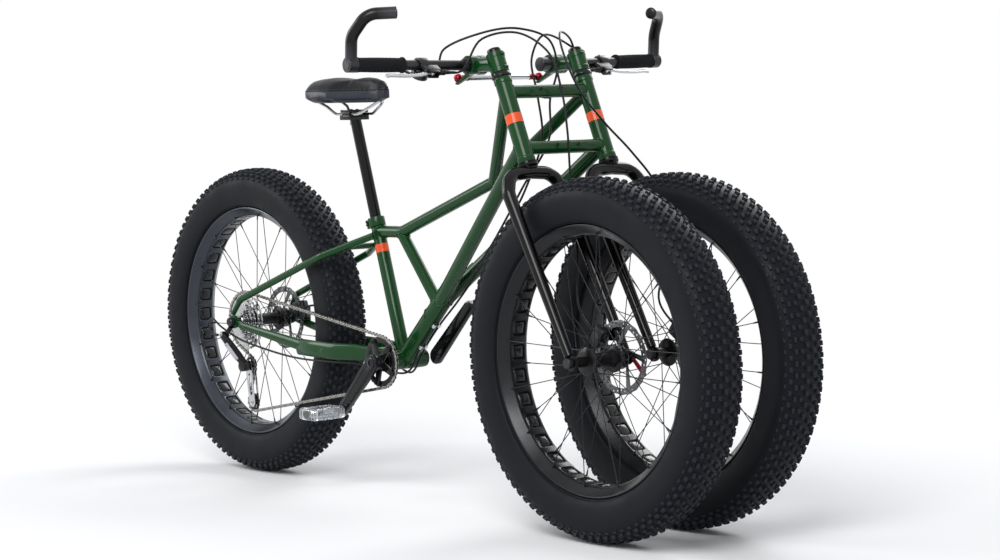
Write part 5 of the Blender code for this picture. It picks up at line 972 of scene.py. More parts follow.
def hex_bolt(at: Vector, along: Vector, radius: float = 0.0035, height: float = 0.004) -> bpy.types.Object:
    """A socket head screw: a round head with a hexagon recess.

    Args:
        at: Where its head begins.
        along: The way it faces.
        radius: Its head's radius.
        height: Its head's height.

    Returns:
        The screw.
    """
    head = rod(at - along * 0.002, at + along * height, radius, sides=20, edge=0.0004)
    socket = rod(at + along * (height - 0.0022), at + along * (height + 0.002), radius * 0.55, sides=6)
    return cut(head, socket)


def dropout(centre: Vector) -> bpy.types.Object:
    """The round end plate of a stay or a fork leg, bored for its axle."""
    outlines = [ring_points(0.0169, 40), ring_points(0.0049, 24)]
    return plate(outlines, 0.0068, Matrix.Translation(centre) @ UPRIGHT, 0.0008)


# Wheels


@dataclass
class Tyre:
    """A fat tyre: round casing with ribbed side walls and five rows of studs on each half."""

    width_radius: float = 0.336
    crown: float = 0.0432
    half_width: float = 0.0560
    pitches: int = 96
    stud_height: float = 0.0058

    def outside(self, turn: float) -> Vector:
        """The casing at an angle from the crown, as across and radius."""
        across = self.half_width * math.sin(turn) ** 0.86
        return Vector((across, self.width_radius + self.crown * math.cos(turn) ** 0.80))

    def casing(self) -> bpy.types.Object:
        """The carcass with its bead inside the rim."""
        half = [
            (0.2668, 0.0198), (0.2838, 0.0356), (0.2862, 0.0376), (0.2885, 0.0392), (0.2893, 0.0412),
            (0.2905, 0.0418),
        ]
        for i in range(1, 15):
            turn = math.pi / 2 * i / 15
            across = 0.0418 + (self.half_width - 0.0418) * math.sin(turn) ** 0.9
            ripple = 0.0005 if i in (2, 4) else 0.0
            half.append((0.2905 + (self.width_radius - 0.2905) * (1 - math.cos(turn)), across + ripple))
        for i in range(15, -1, -1):
            point = self.outside(math.pi / 2 * i / 15 * 0.9999)
            half.append((point.y, point.x))
        profile = half + [(radius, -across) for radius, across in reversed(half[:-1])]
        return lathe(profile, ORIGIN, Y, 144)

    def stud(self, turn: float, length: float, width: float, height: float, shift: float) -> bpy.types.Object:
        """One row of studs.

        Args:
            turn: The row's angle from the crown.
            length: A stud's length round the tyre.
            width: Its width across the tyre.
            height: How far it stands out.
            shift: How far the row is turned, as a share of the pitch.

        Returns:
            The row.
        """
        sign = -1 if turn < 0 else 1
        here, near = self.outside(abs(turn)), self.outside(abs(turn) + 0.02)
        slope = (near - here).normalized()
        out = Vector((0, sign * -slope.y, slope.x)).normalized()
        bpy.ops.mesh.primitive_cube_add(size=1, scale=(length, width, height + 0.003))
        obj = settled(bpy.context.object)
        pick_faces(obj, lambda centre, normal: normal.z > 0.9)
        only(obj)
        bpy.ops.object.mode_set(mode="EDIT")
        bpy.ops.transform.resize(value=(0.80, 0.80, 1.0))
        bpy.ops.object.mode_set(mode="OBJECT")
        rounded(obj, 0.0008, 1)
        place = Vector((0, sign * here.x, here.y)) + out * (height - 0.003) / 2
        settled(obj, axes_at(place, out, X))
        settled(obj, Matrix.Rotation(2 * math.pi * shift / self.pitches, 4, Y))
        return around(obj, self.pitches, ORIGIN, Y)

    def build(self) -> bpy.types.Object:
        """The whole tyre about the origin."""
        rows = [self.casing()]
        high = self.stud_height
        for sign in (-1, 1):
            rows.append(self.stud(sign * 0.12, 0.0125, 0.0085, high * 0.93, 0.0 if sign > 0 else 0.5))
            rows.append(self.stud(sign * 0.36, 0.0105, 0.0080, high, 0.5 if sign > 0 else 0.0))
            rows.append(self.stud(sign * 0.62, 0.0130, 0.0075, high, 0.0))
            rows.append(self.stud(sign * 0.86, 0.0125, 0.0080, high, 0.5))
            rows.append(self.stud(sign * 1.10, 0.0100, 0.0060, high * 0.55, 0.0))
        return finished(joined(rows), RUBBER, 40)


@dataclass
class Rim:
    """A wide single wall rim with 32 windows, and the strip that bulges in them."""

    windows: int = 32
    window: tuple[float, float] = (0.0335, 0.0350)
    corner: float = 0.009

    def build(self, finish: Finish) -> bpy.types.Object:
        """The rim about the origin.

        Args:
            finish: Its finish.

        Returns:
            The rim.
        """
        half_outer = [
            (0.2866, 0.0394), (0.2862, 0.0410), (0.2848, 0.0417), (0.2828, 0.0411), (0.2812, 0.0388),
            (0.2680, 0.0262), (0.2650, 0.0232), (0.2640, 0.0205),
        ]
        half_inner = [(0.2664, 0.0200), (0.2672, 0.0214), (0.2850, 0.0380)]
        outer = half_outer + [(r, -a) for r, a in reversed(half_outer)]
        inner = [(r, -a) for r, a in reversed(half_inner)] + half_inner
        obj = lathe(outer + inner, ORIGIN, Y, 160)
        tool = self.rounded_window()
        around(settled(tool, Matrix.Translation((0, 0, 0.265))), self.windows, ORIGIN, Y)
        cut(obj, tool)
        rounded(obj, 0.0007, 2, 50)
        return finished(obj, finish, 30)

    def rounded_window(self) -> bpy.types.Object:
        """The punch for one window, with round corners."""
        long, wide = self.window[0] / 2 - self.corner, self.window[1] / 2 - self.corner
        outline = []
        for quarter, (x, y) in enumerate(((long, wide), (-long, wide), (-long, -wide), (long, -wide))):
            for i in range(6):
                turn = math.pi / 2 * (quarter + i / 5)
                outline.append((x + self.corner * math.cos(turn), y + self.corner * math.sin(turn)))
        return plate([outline], 0.016, Matrix(), 0.0)

    def strip(self) -> bpy.types.Object:
        """The rim strip: a pillow in each window."""
        pillow = brick((0.0318, 0.0334, 0.0150), Matrix.Translation((0, 0, 0.2705)), 0.0072, 5)
        dome = ball(Vector((0, 0, 0.2640)), 0.0128, (1.0, 1.04, 0.16))
        return finished(around(joined([pillow, dome]), self.windows, ORIGIN, Y), STRIP, 60)


@dataclass
class Wheel:
    """One wheel's hub, laced spokes and brake disc, with a tyre and a rim set round them."""

    name: str
    body: str
    axle: Vector
    half_hub: float
    flange_left: float
    flange_right: float
    lace: int = 16
    disc_inset: float = 0.0155

    def hub(self) -> bpy.types.Object:
        """The hub shell with both flanges, its bearing ends and the disc's seat."""
        left, right, half = self.flange_left, self.flange_right, self.half_hub - 0.0004
        disc = self.half_hub - self.disc_inset - 0.0013
        profile = [
            (0.0052, -half), (0.0098, -half), (0.0110, -half + 0.001), (0.0113, right - 0.0052),
            (0.0190, right - 0.0040), (0.0285, right - 0.0017), (0.0300, right - 0.0008),
            (0.0300, right + 0.0008), (0.0285, right + 0.0017), (0.0195, right + 0.0035),
            (0.0160, right + 0.0100), (0.0150, right + 0.0200), (0.0150, left - 0.0200),
            (0.0160, left - 0.0100), (0.0195, left - 0.0035), (0.0285, left - 0.0017),
            (0.0300, left - 0.0008), (0.0300, left + 0.0008), (0.0285, left + 0.0017),
            (0.0215, min(left + 0.006, disc)), (0.0200, disc), (0.0120, disc), (0.0120, half - 0.001),
            (0.0105, half), (0.0052, half),
        ]
        return lathe(profile, self.axle, Y, 48)

    def spokes(self) -> list[bpy.types.Object]:
        """Spokes with their bent heads at the flange and nipples at the rim."""
        pieces = []
        for side, flange in ((1, self.flange_left), (-1, self.flange_right)):
            for number in (0, 1):
                lean = math.radians(52.0) * (1 if number else -1)
                angle = 2 * math.pi * (number + (0.25 if side > 0 else 0.75)) / self.lace
                shift = 0.0022 * (1 if number else -1)
                start = heading(angle - lean) * 0.0262 + Y * (flange + shift)
                end = heading(angle) * 0.2678 + Y * (side * 0.0262)
                run = (end - start).normalized()
                head = start - Y * shift * 1.6
                line = tube([head, start - Y * shift * 0.3, start + run * 0.0015, end], 0.0010, 8)
                nipple = rod(end - run * 0.0130, end, 0.0014, 0.0022, sides=8, edge=0.0003)
                knob = ball(head, 0.0021)
                both = joined([line, nipple, knob])
                both.data.transform(Matrix.Translation(self.axle))
                pieces.append(around(both, self.lace // 2, self.axle, Y))
        return pieces

    def disc(self) -> bpy.types.Object:
        """The ground brake disc: a drilled, waved band on five swept arms, with six screws."""
        y = self.half_hub - self.disc_inset
        outer = []
        for i in range(180):
            turn = 2 * math.pi * i / 180
            radius = 0.0793 + 0.0007 * math.cos(turn * 20)
            outer.append((radius * math.cos(turn), radius * math.sin(turn)))
        outlines = [outer, ring_points(0.0125, 32)]
        gap = 2 * math.pi / 5
        for arm in range(5):
            start = 2 * math.pi * arm / 5
            outside = arc(0.0650, [start + 0.07 + (gap - 0.20) * i / 12 for i in range(13)])
            inside = arc(0.0245, [start - 0.42 + (gap - 0.40) * (1 - i / 8) for i in range(9)])
            outlines.append(outside + inside)
        for i in range(40):
            turn = 2 * math.pi * i / 40
            radius = 0.0722 + (0.0034, 0.0, -0.0034, 0.0)[i % 4]
            outlines.append(ring_points(0.0022, 10, (radius * math.cos(turn), radius * math.sin(turn))))
        disc = plate(outlines, 0.0019, axes_at(self.axle + Y * y, Y), 0.0002)
        screw_at = self.axle + Vector((0.0175, y + 0.0008, 0))
        return joined([disc, around(hex_bolt(screw_at, Y, 0.0027, 0.0018), 6, self.axle, Y)])

    def build(
        self, tyre: bpy.types.Object, rim: bpy.types.Object, strip: bpy.types.Object, rim_finish: Finish
    ) -> None:
        """Hands over the wheel's pieces.

        Args:
            tyre: The tyre to copy.
            rim: The rim to copy.
            strip: The rim strip to copy.
            rim_finish: The finish of this wheel's rim.
        """
        move = Matrix.Translation(self.axle)
        hand_over(copied(tyre, move), f"{self.name}_studded_tyre", self.body, [f"{self.name}_tyre"])
        own_rim = finished(copied(rim, move), rim_finish, 30)
        hand_over(own_rim, f"{self.name}_drilled_rim", self.body, [f"{self.name}_rim"])
        hand_over(copied(strip, move), f"{self.name}_rim_strip", self.body)
        hub = finished(self.hub(), ANODISED)
        hand_over(hub, f"{self.name}_turned_hub", self.body, [f"{self.name}_hub"])
        laced = finished(joined(self.spokes()), DARK_SPOKE)
        hand_over(laced, f"{self.name}_laced_spokes", self.body)
        disc = finished(self.disc(), DISC_STEEL)
        hand_over(disc, f"{self.name}_ground_disc", self.body, [f"{self.name}_brake_disc"])


# Frame

# The radius to which tubes reach into a head tube and the seat tube, and the cut round the cranks' shell
HEAD_CUT = 0.0176
SEAT_TUBE_CUT = 0.0149
SHELL_CUT = (CRANK_AXIS, Y, 0.0214)


def coped(obj: bpy.types.Object, *others: tuple[Vector, Vector, float]) -> bpy.types.Object:
    """Cuts a tube's end to sit on others.

    Args:
        obj: The tube.
        others: For each other tube, a point on its axis, its direction and the radius cut away.

    Returns:
        The tube.
    """
    tools = []
    for at, along, radius in others:
        reach = along.normalized() * 0.16
        tools.append(rod(at - reach, at + reach, radius, sides=40))
    return cut(obj, *tools)


@dataclass
class MainFrame:
    """The front triangle's tubes, both head tubes and crossbars, and their weld beads."""

    seat_radius: float = 0.0159
    top_radius: float = 0.0140
    down_radius: float = 0.0222
    head_radius: float = 0.0185
    crossbar_radius: float = 0.0143
    upper_branch: float = 0.0137
    lower_branch: float = 0.0168
    shell_radius: float = 0.0225
    brace_radius: float = 0.0137

    def __post_init__(self) -> None:
        """Works out the routes that several tubes share."""
        self.top_slope = heading(math.radians(19.8))
        self.top_start = up_seat_tube(0.301 / math.sin(SEAT_ANGLE))
        self.top_bend = self.top_start + Vector((0.092, 0, 0.001))
        self.top_end = self.top_bend + self.top_slope * 0.378
        self.down = heading(math.radians(45))
        self.down_end = CRANK_AXIS + self.down * DOWN_TUBE_LENGTH

    def seat_tube(self) -> bpy.types.Object:
        """The seat tube with its socket, and the shell under it."""
        wall = [
            (0.0, 0.0), (self.seat_radius, 0.0), (self.seat_radius, 0.3475), (0.0157, 0.348),
            (0.01425, 0.348), (0.01425, 0.168), (0.0, 0.168),
        ]
        shell = [
            (0.0202, -0.05), (0.0220, -0.05), (self.shell_radius, -0.0493), (self.shell_radius, 0.0493),
            (0.0220, 0.05), (0.0202, 0.05),
        ]
        return joined([
            coped(lathe(wall, CRANK_AXIS, SEAT_UP, 48, closed=False), SHELL_CUT),
            lathe(shell, CRANK_AXIS, Y, 56),
            bead(up_seat_tube(0.028), SEAT_UP, self.seat_radius, CRANK_AXIS, Y, self.shell_radius),
        ])

    def top_tube(self) -> bpy.types.Object:
        """The bent top tube, its brace and its two upper branches."""
        seat = (up_seat_tube(0.30), SEAT_UP, SEAT_TUBE_CUT)
        route = bent([self.top_start, self.top_bend, self.top_end], 0.070, 12)
        level = CROSSBAR_LEVELS[0]
        middle = (steerer(Side.RIGHT, level) + steerer(Side.LEFT, level)) / 2
        main = coped(tube(route, self.top_radius, 40), seat, (middle, Y, 0.0133))
        brace_top = route[5]
        brace_foot = CRANK_AXIS + self.down * 0.190
        run = (brace_foot - brace_top).normalized()
        down_cut = (CRANK_AXIS + self.down * 0.15, self.down, 0.0212)
        seat_point, slope, radius = up_seat_tube(0.30), self.top_slope, self.brace_radius
        pieces = [
            main,
            coped(rod(brace_top, brace_foot, radius, sides=40), down_cut),
            bead(self.top_start + X * 0.022, X, self.top_radius, seat_point, SEAT_UP, self.seat_radius),
            bead(brace_foot - run * 0.03, run, radius, CRANK_AXIS, self.down, self.down_radius),
            bead(brace_top + run * 0.02, run, radius, brace_top, route[6] - route[4], self.top_radius),
            bead(middle - slope * 0.02, slope, self.top_radius, middle, Y, self.crossbar_radius),
        ]
        for side in Side:
            joint = steerer(side, 0.627)
            inside = self.top_end - slope * 0.010 + Y * side.value * 0.003
            run = (joint - inside).normalized()
            branch = rod(inside, joint, self.upper_branch, sides=40)
            pieces.append(coped(branch, (joint, STEER_UP, HEAD_CUT)))
            start = joint - run * 0.024
            pieces.append(bead(start, run, self.upper_branch, joint, STEER_UP, self.head_radius))
        return joined(pieces)

    def down_tube(self) -> bpy.types.Object:
        """The down tube and its two lower branches."""
        down, end, wide, branch = self.down, self.down_end, self.down_radius, self.lower_branch
        pieces = [
            coped(rod(CRANK_AXIS, end, wide, sides=48), SHELL_CUT),
            bead(CRANK_AXIS + down * 0.03, down, wide, CRANK_AXIS, Y, self.shell_radius),
            ball(end - down * 0.004, wide * 0.995),
        ]
        for side in Side:
            joint = steerer(side, 0.500)
            start = end - down * 0.020 + Y * side.value * 0.003
            run = (joint - start).normalized()
            pieces.append(coped(rod(start, joint, branch, sides=44), (joint, STEER_UP, HEAD_CUT)))
            pieces.append(bead(joint - run * 0.028, run, branch, joint, STEER_UP, self.head_radius))
            pieces.append(bead(start + run * 0.05, -run, branch, end, down, wide))
        return joined(pieces)

    def head(self) -> bpy.types.Object:
        """Both head tubes with thickened ends, and the crossbars with their threaded bosses."""
        pieces = []
        wall = [
            (0.0163, 0.0), (0.0196, 0.0), (0.0200, 0.0006), (0.0200, 0.0115), (self.head_radius, 0.0135),
            (self.head_radius, 0.1845), (0.0200, 0.1865), (0.0200, 0.1974), (0.0196, 0.198), (0.0163, 0.198),
        ]
        boss = [
            (0.0026, 0.0125), (0.0046, 0.0125), (0.0046, 0.0160), (0.0040, 0.0165), (0.0030, 0.0165),
            (0.0026, 0.0160),
        ]
        for side in Side:
            pieces.append(lathe(wall, steerer(side, 0.463), STEER_UP, 48))
        for along in CROSSBAR_LEVELS:
            right, left = steerer(Side.RIGHT, along), steerer(Side.LEFT, along)
            bar = rod(right, left, self.crossbar_radius, sides=40)
            pieces.append(coped(bar, (right, STEER_UP, HEAD_CUT), (left, STEER_UP, HEAD_CUT)))
            for side, end in ((Side.RIGHT, right), (Side.LEFT, left)):
                start = end - Y * side.value * 0.024
                pieces.append(bead(start, Y, self.crossbar_radius, end, STEER_UP, self.head_radius))
            for place in CROSSBAR_BOSSES:
                pieces.append(lathe(boss, (right + left) / 2 + Y * place, STEER_AHEAD, 24))
        return joined(pieces)

    def bands(self) -> list[bpy.types.Object]:
        """Plain orange bands round both head tubes and the seat tube."""
        ring = [(0.0186, 0.0), (0.01885, 0.0002), (0.01885, 0.0218), (0.0186, 0.022)]
        bands = [lathe(ring, steerer(side, 0.553), STEER_UP, 48) for side in Side]
        low = [(0.0160, 0.0), (0.01625, 0.0002), (0.01625, 0.0198), (0.0160, 0.020)]
        bands.append(lathe(low, up_seat_tube(0.262), SEAT_UP, 48))
        return bands

    def build(self) -> None:
        """Hands over the welded frame."""
        hand_over(finished(self.seat_tube(), GREEN), "welded_seat_tube", "frame", ["seat_tube"])
        hand_over(finished(self.top_tube(), GREEN), "welded_top_tube", "frame", ["top_tube"])
        hand_over(finished(self.down_tube(), GREEN), "welded_down_tube", "frame", ["down_tube"])
        hand_over(finished(self.head(), GREEN), "welded_head_tubes", "frame", ["head_tubes"])
        hand_over(finished(joined(self.bands()), ORANGE), "painted_bands", "frame")


@dataclass
class RearStays:
    """Chainstays with their tall front sleeves, seatstays, bridges and dropouts."""

    wide: float = 0.0755
    level: float = CRANK_AXIS.z + 0.013
    end_y: float = 0.0885
    stay_radius: float = 0.0085

    def ring(self, x: float, y: float, z: float, half_width: float, half_height: float) -> Ring:
        """An upright oval ring for a stay that runs along X.

        Args:
            x: Its middle's X.
            y: Its middle's Y.
            z: Its middle's Z.
            half_width: Half its width along Y.
            half_height: Half its height along Z.

        Returns:
            The ring as loft takes it.
        """
        turn = Matrix((Y, Z, X)).transposed().to_4x4()
        return Matrix.Translation((x, y, z)) @ turn, half_width, half_height

    def chainstay(self, side: Side) -> list[bpy.types.Object]:
        """One chainstay: a slim tapered stay let into a tall sleeve.

        Args:
            side: Which chainstay.

        Returns:
            Its pieces.
        """
        s = side.value
        end_y, z, wide, level = self.end_y, REAR_AXLE.z, self.wide, self.level
        slim = [
            (-0.6875, end_y, z - 0.004, 0.0030, 0.0072), (-0.6760, end_y, z - 0.006, 0.0048, 0.0084),
            (-0.6640, end_y, z - 0.008, 0.0062, 0.0090), (-0.6000, 0.0856, z - 0.018, 0.0074, 0.0104),
            (-0.5300, 0.0812, z - 0.0285, 0.0082, 0.0122), (-0.4520, 0.0765, z - 0.0405, 0.0088, 0.0140),
            (-0.4300, 0.0756, z - 0.0440, 0.0086, 0.0140),
        ]
        tall = [
            (-0.4425, wide, level + 0.003, 0.0080, 0.0194), (-0.4412, wide, level + 0.003, 0.0088, 0.0204),
            (-0.3800, wide, level + 0.0015, 0.0088, 0.0205), (-0.3150, wide, level, 0.0088, 0.0205),
            (-0.2850, wide - 0.0045, level, 0.0088, 0.0205), (-0.2350, wide - 0.0200, level, 0.0088, 0.0204),
            (-0.1800, 0.0450, level - 0.001, 0.0088, 0.0175),
            (-0.1350, 0.0360, level - 0.002, 0.0088, 0.0140),
            (-0.1150, 0.0320, level - 0.004, 0.0088, 0.0140),
        ]
        sleeve = coped(loft([self.ring(x, s * y, h, a, b) for x, y, h, a, b in tall], 32), SHELL_CUT)
        stay = loft([self.ring(x, s * y, h, a, b) for x, y, h, a, b in slim], 28)
        end = dropout(REAR_AXLE + Y * s * end_y)
        boss = ball(Vector((-0.335, s * (wide + 0.0072), level + 0.001)), 0.0105, (1.0, 0.22, 0.55))
        return [stay, sleeve, end, boss]

    def chainstays(self) -> bpy.types.Object:
        """Both chainstays, their bridge and the rear caliper's tab."""
        pieces = [piece for side in Side for piece in self.chainstay(side)]
        bridge = [Vector((-0.215, y, self.level)) for y in (-0.0515, 0.0515)]
        pieces.append(rod(*bridge, self.stay_radius, sides=24))
        centre, _ = caliper_spot(REAR_AXLE, *REAR_CALIPER)
        tab = axes_at(Vector((centre.x - 0.001, centre.y + CALIPER_TAB, centre.z - 0.012)), Y, Z)
        pieces.append(brick((0.044, 0.022, 0.006), tab, 0.0015))
        return joined(pieces)

    def seatstays(self) -> bpy.types.Object:
        """Both seatstays and the bridge over the tyre."""
        top, low = up_seat_tube(0.305), REAR_AXLE + Vector((-0.003, 0, 0.020))
        bend = REAR_AXLE + Vector((0.026, 0, 0.057))
        turn = top - (top - bend).normalized() * 0.150
        turn_y, top_y, radius = 0.07347, 0.0159, self.stay_radius
        pieces = []
        for side in Side:
            s = side.value
            corners = [
                Vector((low.x, s * self.end_y, low.z)), Vector((bend.x, s * 0.085, bend.z)),
                Vector((turn.x, s * turn_y, turn.z)), Vector((top.x, s * top_y, top.z)),
            ]
            route = bent(corners, 0.035, 8)
            radii = [0.0062, 0.0070] + [radius] * (len(route) - 2)
            pieces.append(coped(tube(route, radius, 24, radii), (up_seat_tube(0.25), SEAT_UP, SEAT_TUBE_CUT)))
            run = (corners[3] - corners[2]).normalized()
            pieces.append(bead(corners[3] - run * 0.02, run, radius, up_seat_tube(0), SEAT_UP, 0.0159))
        upper, lower = Vector((top.x, top_y, top.z)), Vector((turn.x, turn_y, turn.z))
        end = upper.lerp(lower, 0.092 / (lower - upper).length)
        pieces.append(rod(Vector((end.x, -end.y, end.z)), end, 0.0070, sides=24))
        return joined(pieces)

    def build(self) -> None:
        """Hands over the stays."""
        hand_over(finished(self.chainstays(), GREEN), "welded_chainstays", "frame", ["chainstays"])
        hand_over(finished(self.seatstays(), GREEN), "welded_seatstays", "frame", ["seatstays"])


# Forks and steering


@dataclass
class Fork:
    """One rigid fork with its crown race, top cap and dropouts."""

    side: Side
    spread: float = 0.0790
    leg_radius: float = 0.0145
    foot_radius: float = 0.0105

    def shoulder(self, leg: int) -> Vector:
        """Where a leg, -1 for the right or 1 for the left, turns down beside the wheel."""
        return steerer(self.side, 0.396, leg * self.spread, 0.003)

    def leg_end(self, leg: int) -> Vector:
        """The lower end of a leg, beside the axle."""
        return self.side.axle + Y * leg * 0.0785 + Vector((-0.0075, 0, 0.0135))

    def legs(self) -> bpy.types.Object:
        """Both legs as one tube bent over the wheel, tapered to the dropouts."""
        corners = []
        for leg in (-1, 1):
            down = [
                steerer(self.side, 0.442), steerer(self.side, 0.438, leg * self.spread * 0.74),
                self.shoulder(leg), self.leg_end(leg),
            ]
            corners += list(reversed(down)) if leg < 0 else down[1:]
        route = bent(corners, 0.040, 10)
        radii = [self.foot_radius] + [self.leg_radius] * (len(route) - 2) + [self.foot_radius]
        return tube(route, self.leg_radius, 32, radii)

    def caliper_lug(self) -> bpy.types.Object:
        """The lug between the left leg and the caliper."""
        caliper, _ = caliper_spot(self.side.axle, *FRONT_CALIPER)
        end, shoulder = self.leg_end(1), self.shoulder(1)
        on_leg = end.lerp(shoulder, (caliper.z - end.z) / (steerer(self.side, 0.396).z - end.z))
        outline = capsule((on_leg.x, on_leg.z), (caliper.x, caliper.z), 0.0094, self.foot_radius)
        return plate([outline], 0.006, Matrix.Translation(Y * (caliper.y + CALIPER_TAB)) @ UPRIGHT, 0.0008)

    def build(self) -> None:
        """Hands over the fork."""
        side, axle = self.side, self.side.axle
        race = [
            (0.0140, 0.0), (0.0178, 0.0), (0.0186, 0.003), (0.0215, 0.006), (0.0224, 0.0075),
            (0.0224, 0.0125), (0.0216, 0.0135), (0.0216, 0.0145), (0.0224, 0.0150), (0.0224, 0.0157),
            (0.0140, 0.0157),
        ]
        cap = [
            (0.0, 0.7197), (0.0150, 0.7197), (0.0158, 0.7205), (0.0158, 0.7265), (0.0150, 0.7290),
            (0.0120, 0.7308), (0.0, 0.7310),
        ]
        foot = axle - STEER_AHEAD * FORK_OFFSET
        pieces = [
            self.legs(), rod(steerer(side, 0.438), steerer(side, 0.7196), 0.0143, sides=40),
            lathe(race, steerer(side, 0.4470), STEER_UP, 48), lathe(cap, foot, STEER_UP, 40, closed=False),
            hex_bolt(steerer(side, 0.7300), STEER_UP, 0.0048, 0.0028),
        ]
        pieces += [dropout(axle + Y * leg * 0.0788) for leg in (-1, 1)]
        pieces.append(self.caliper_lug())
        name = f"fork_{side.word}"
        hand_over(finished(joined(pieces), BLACK), f"enamelled_{name}", side.body, [name])


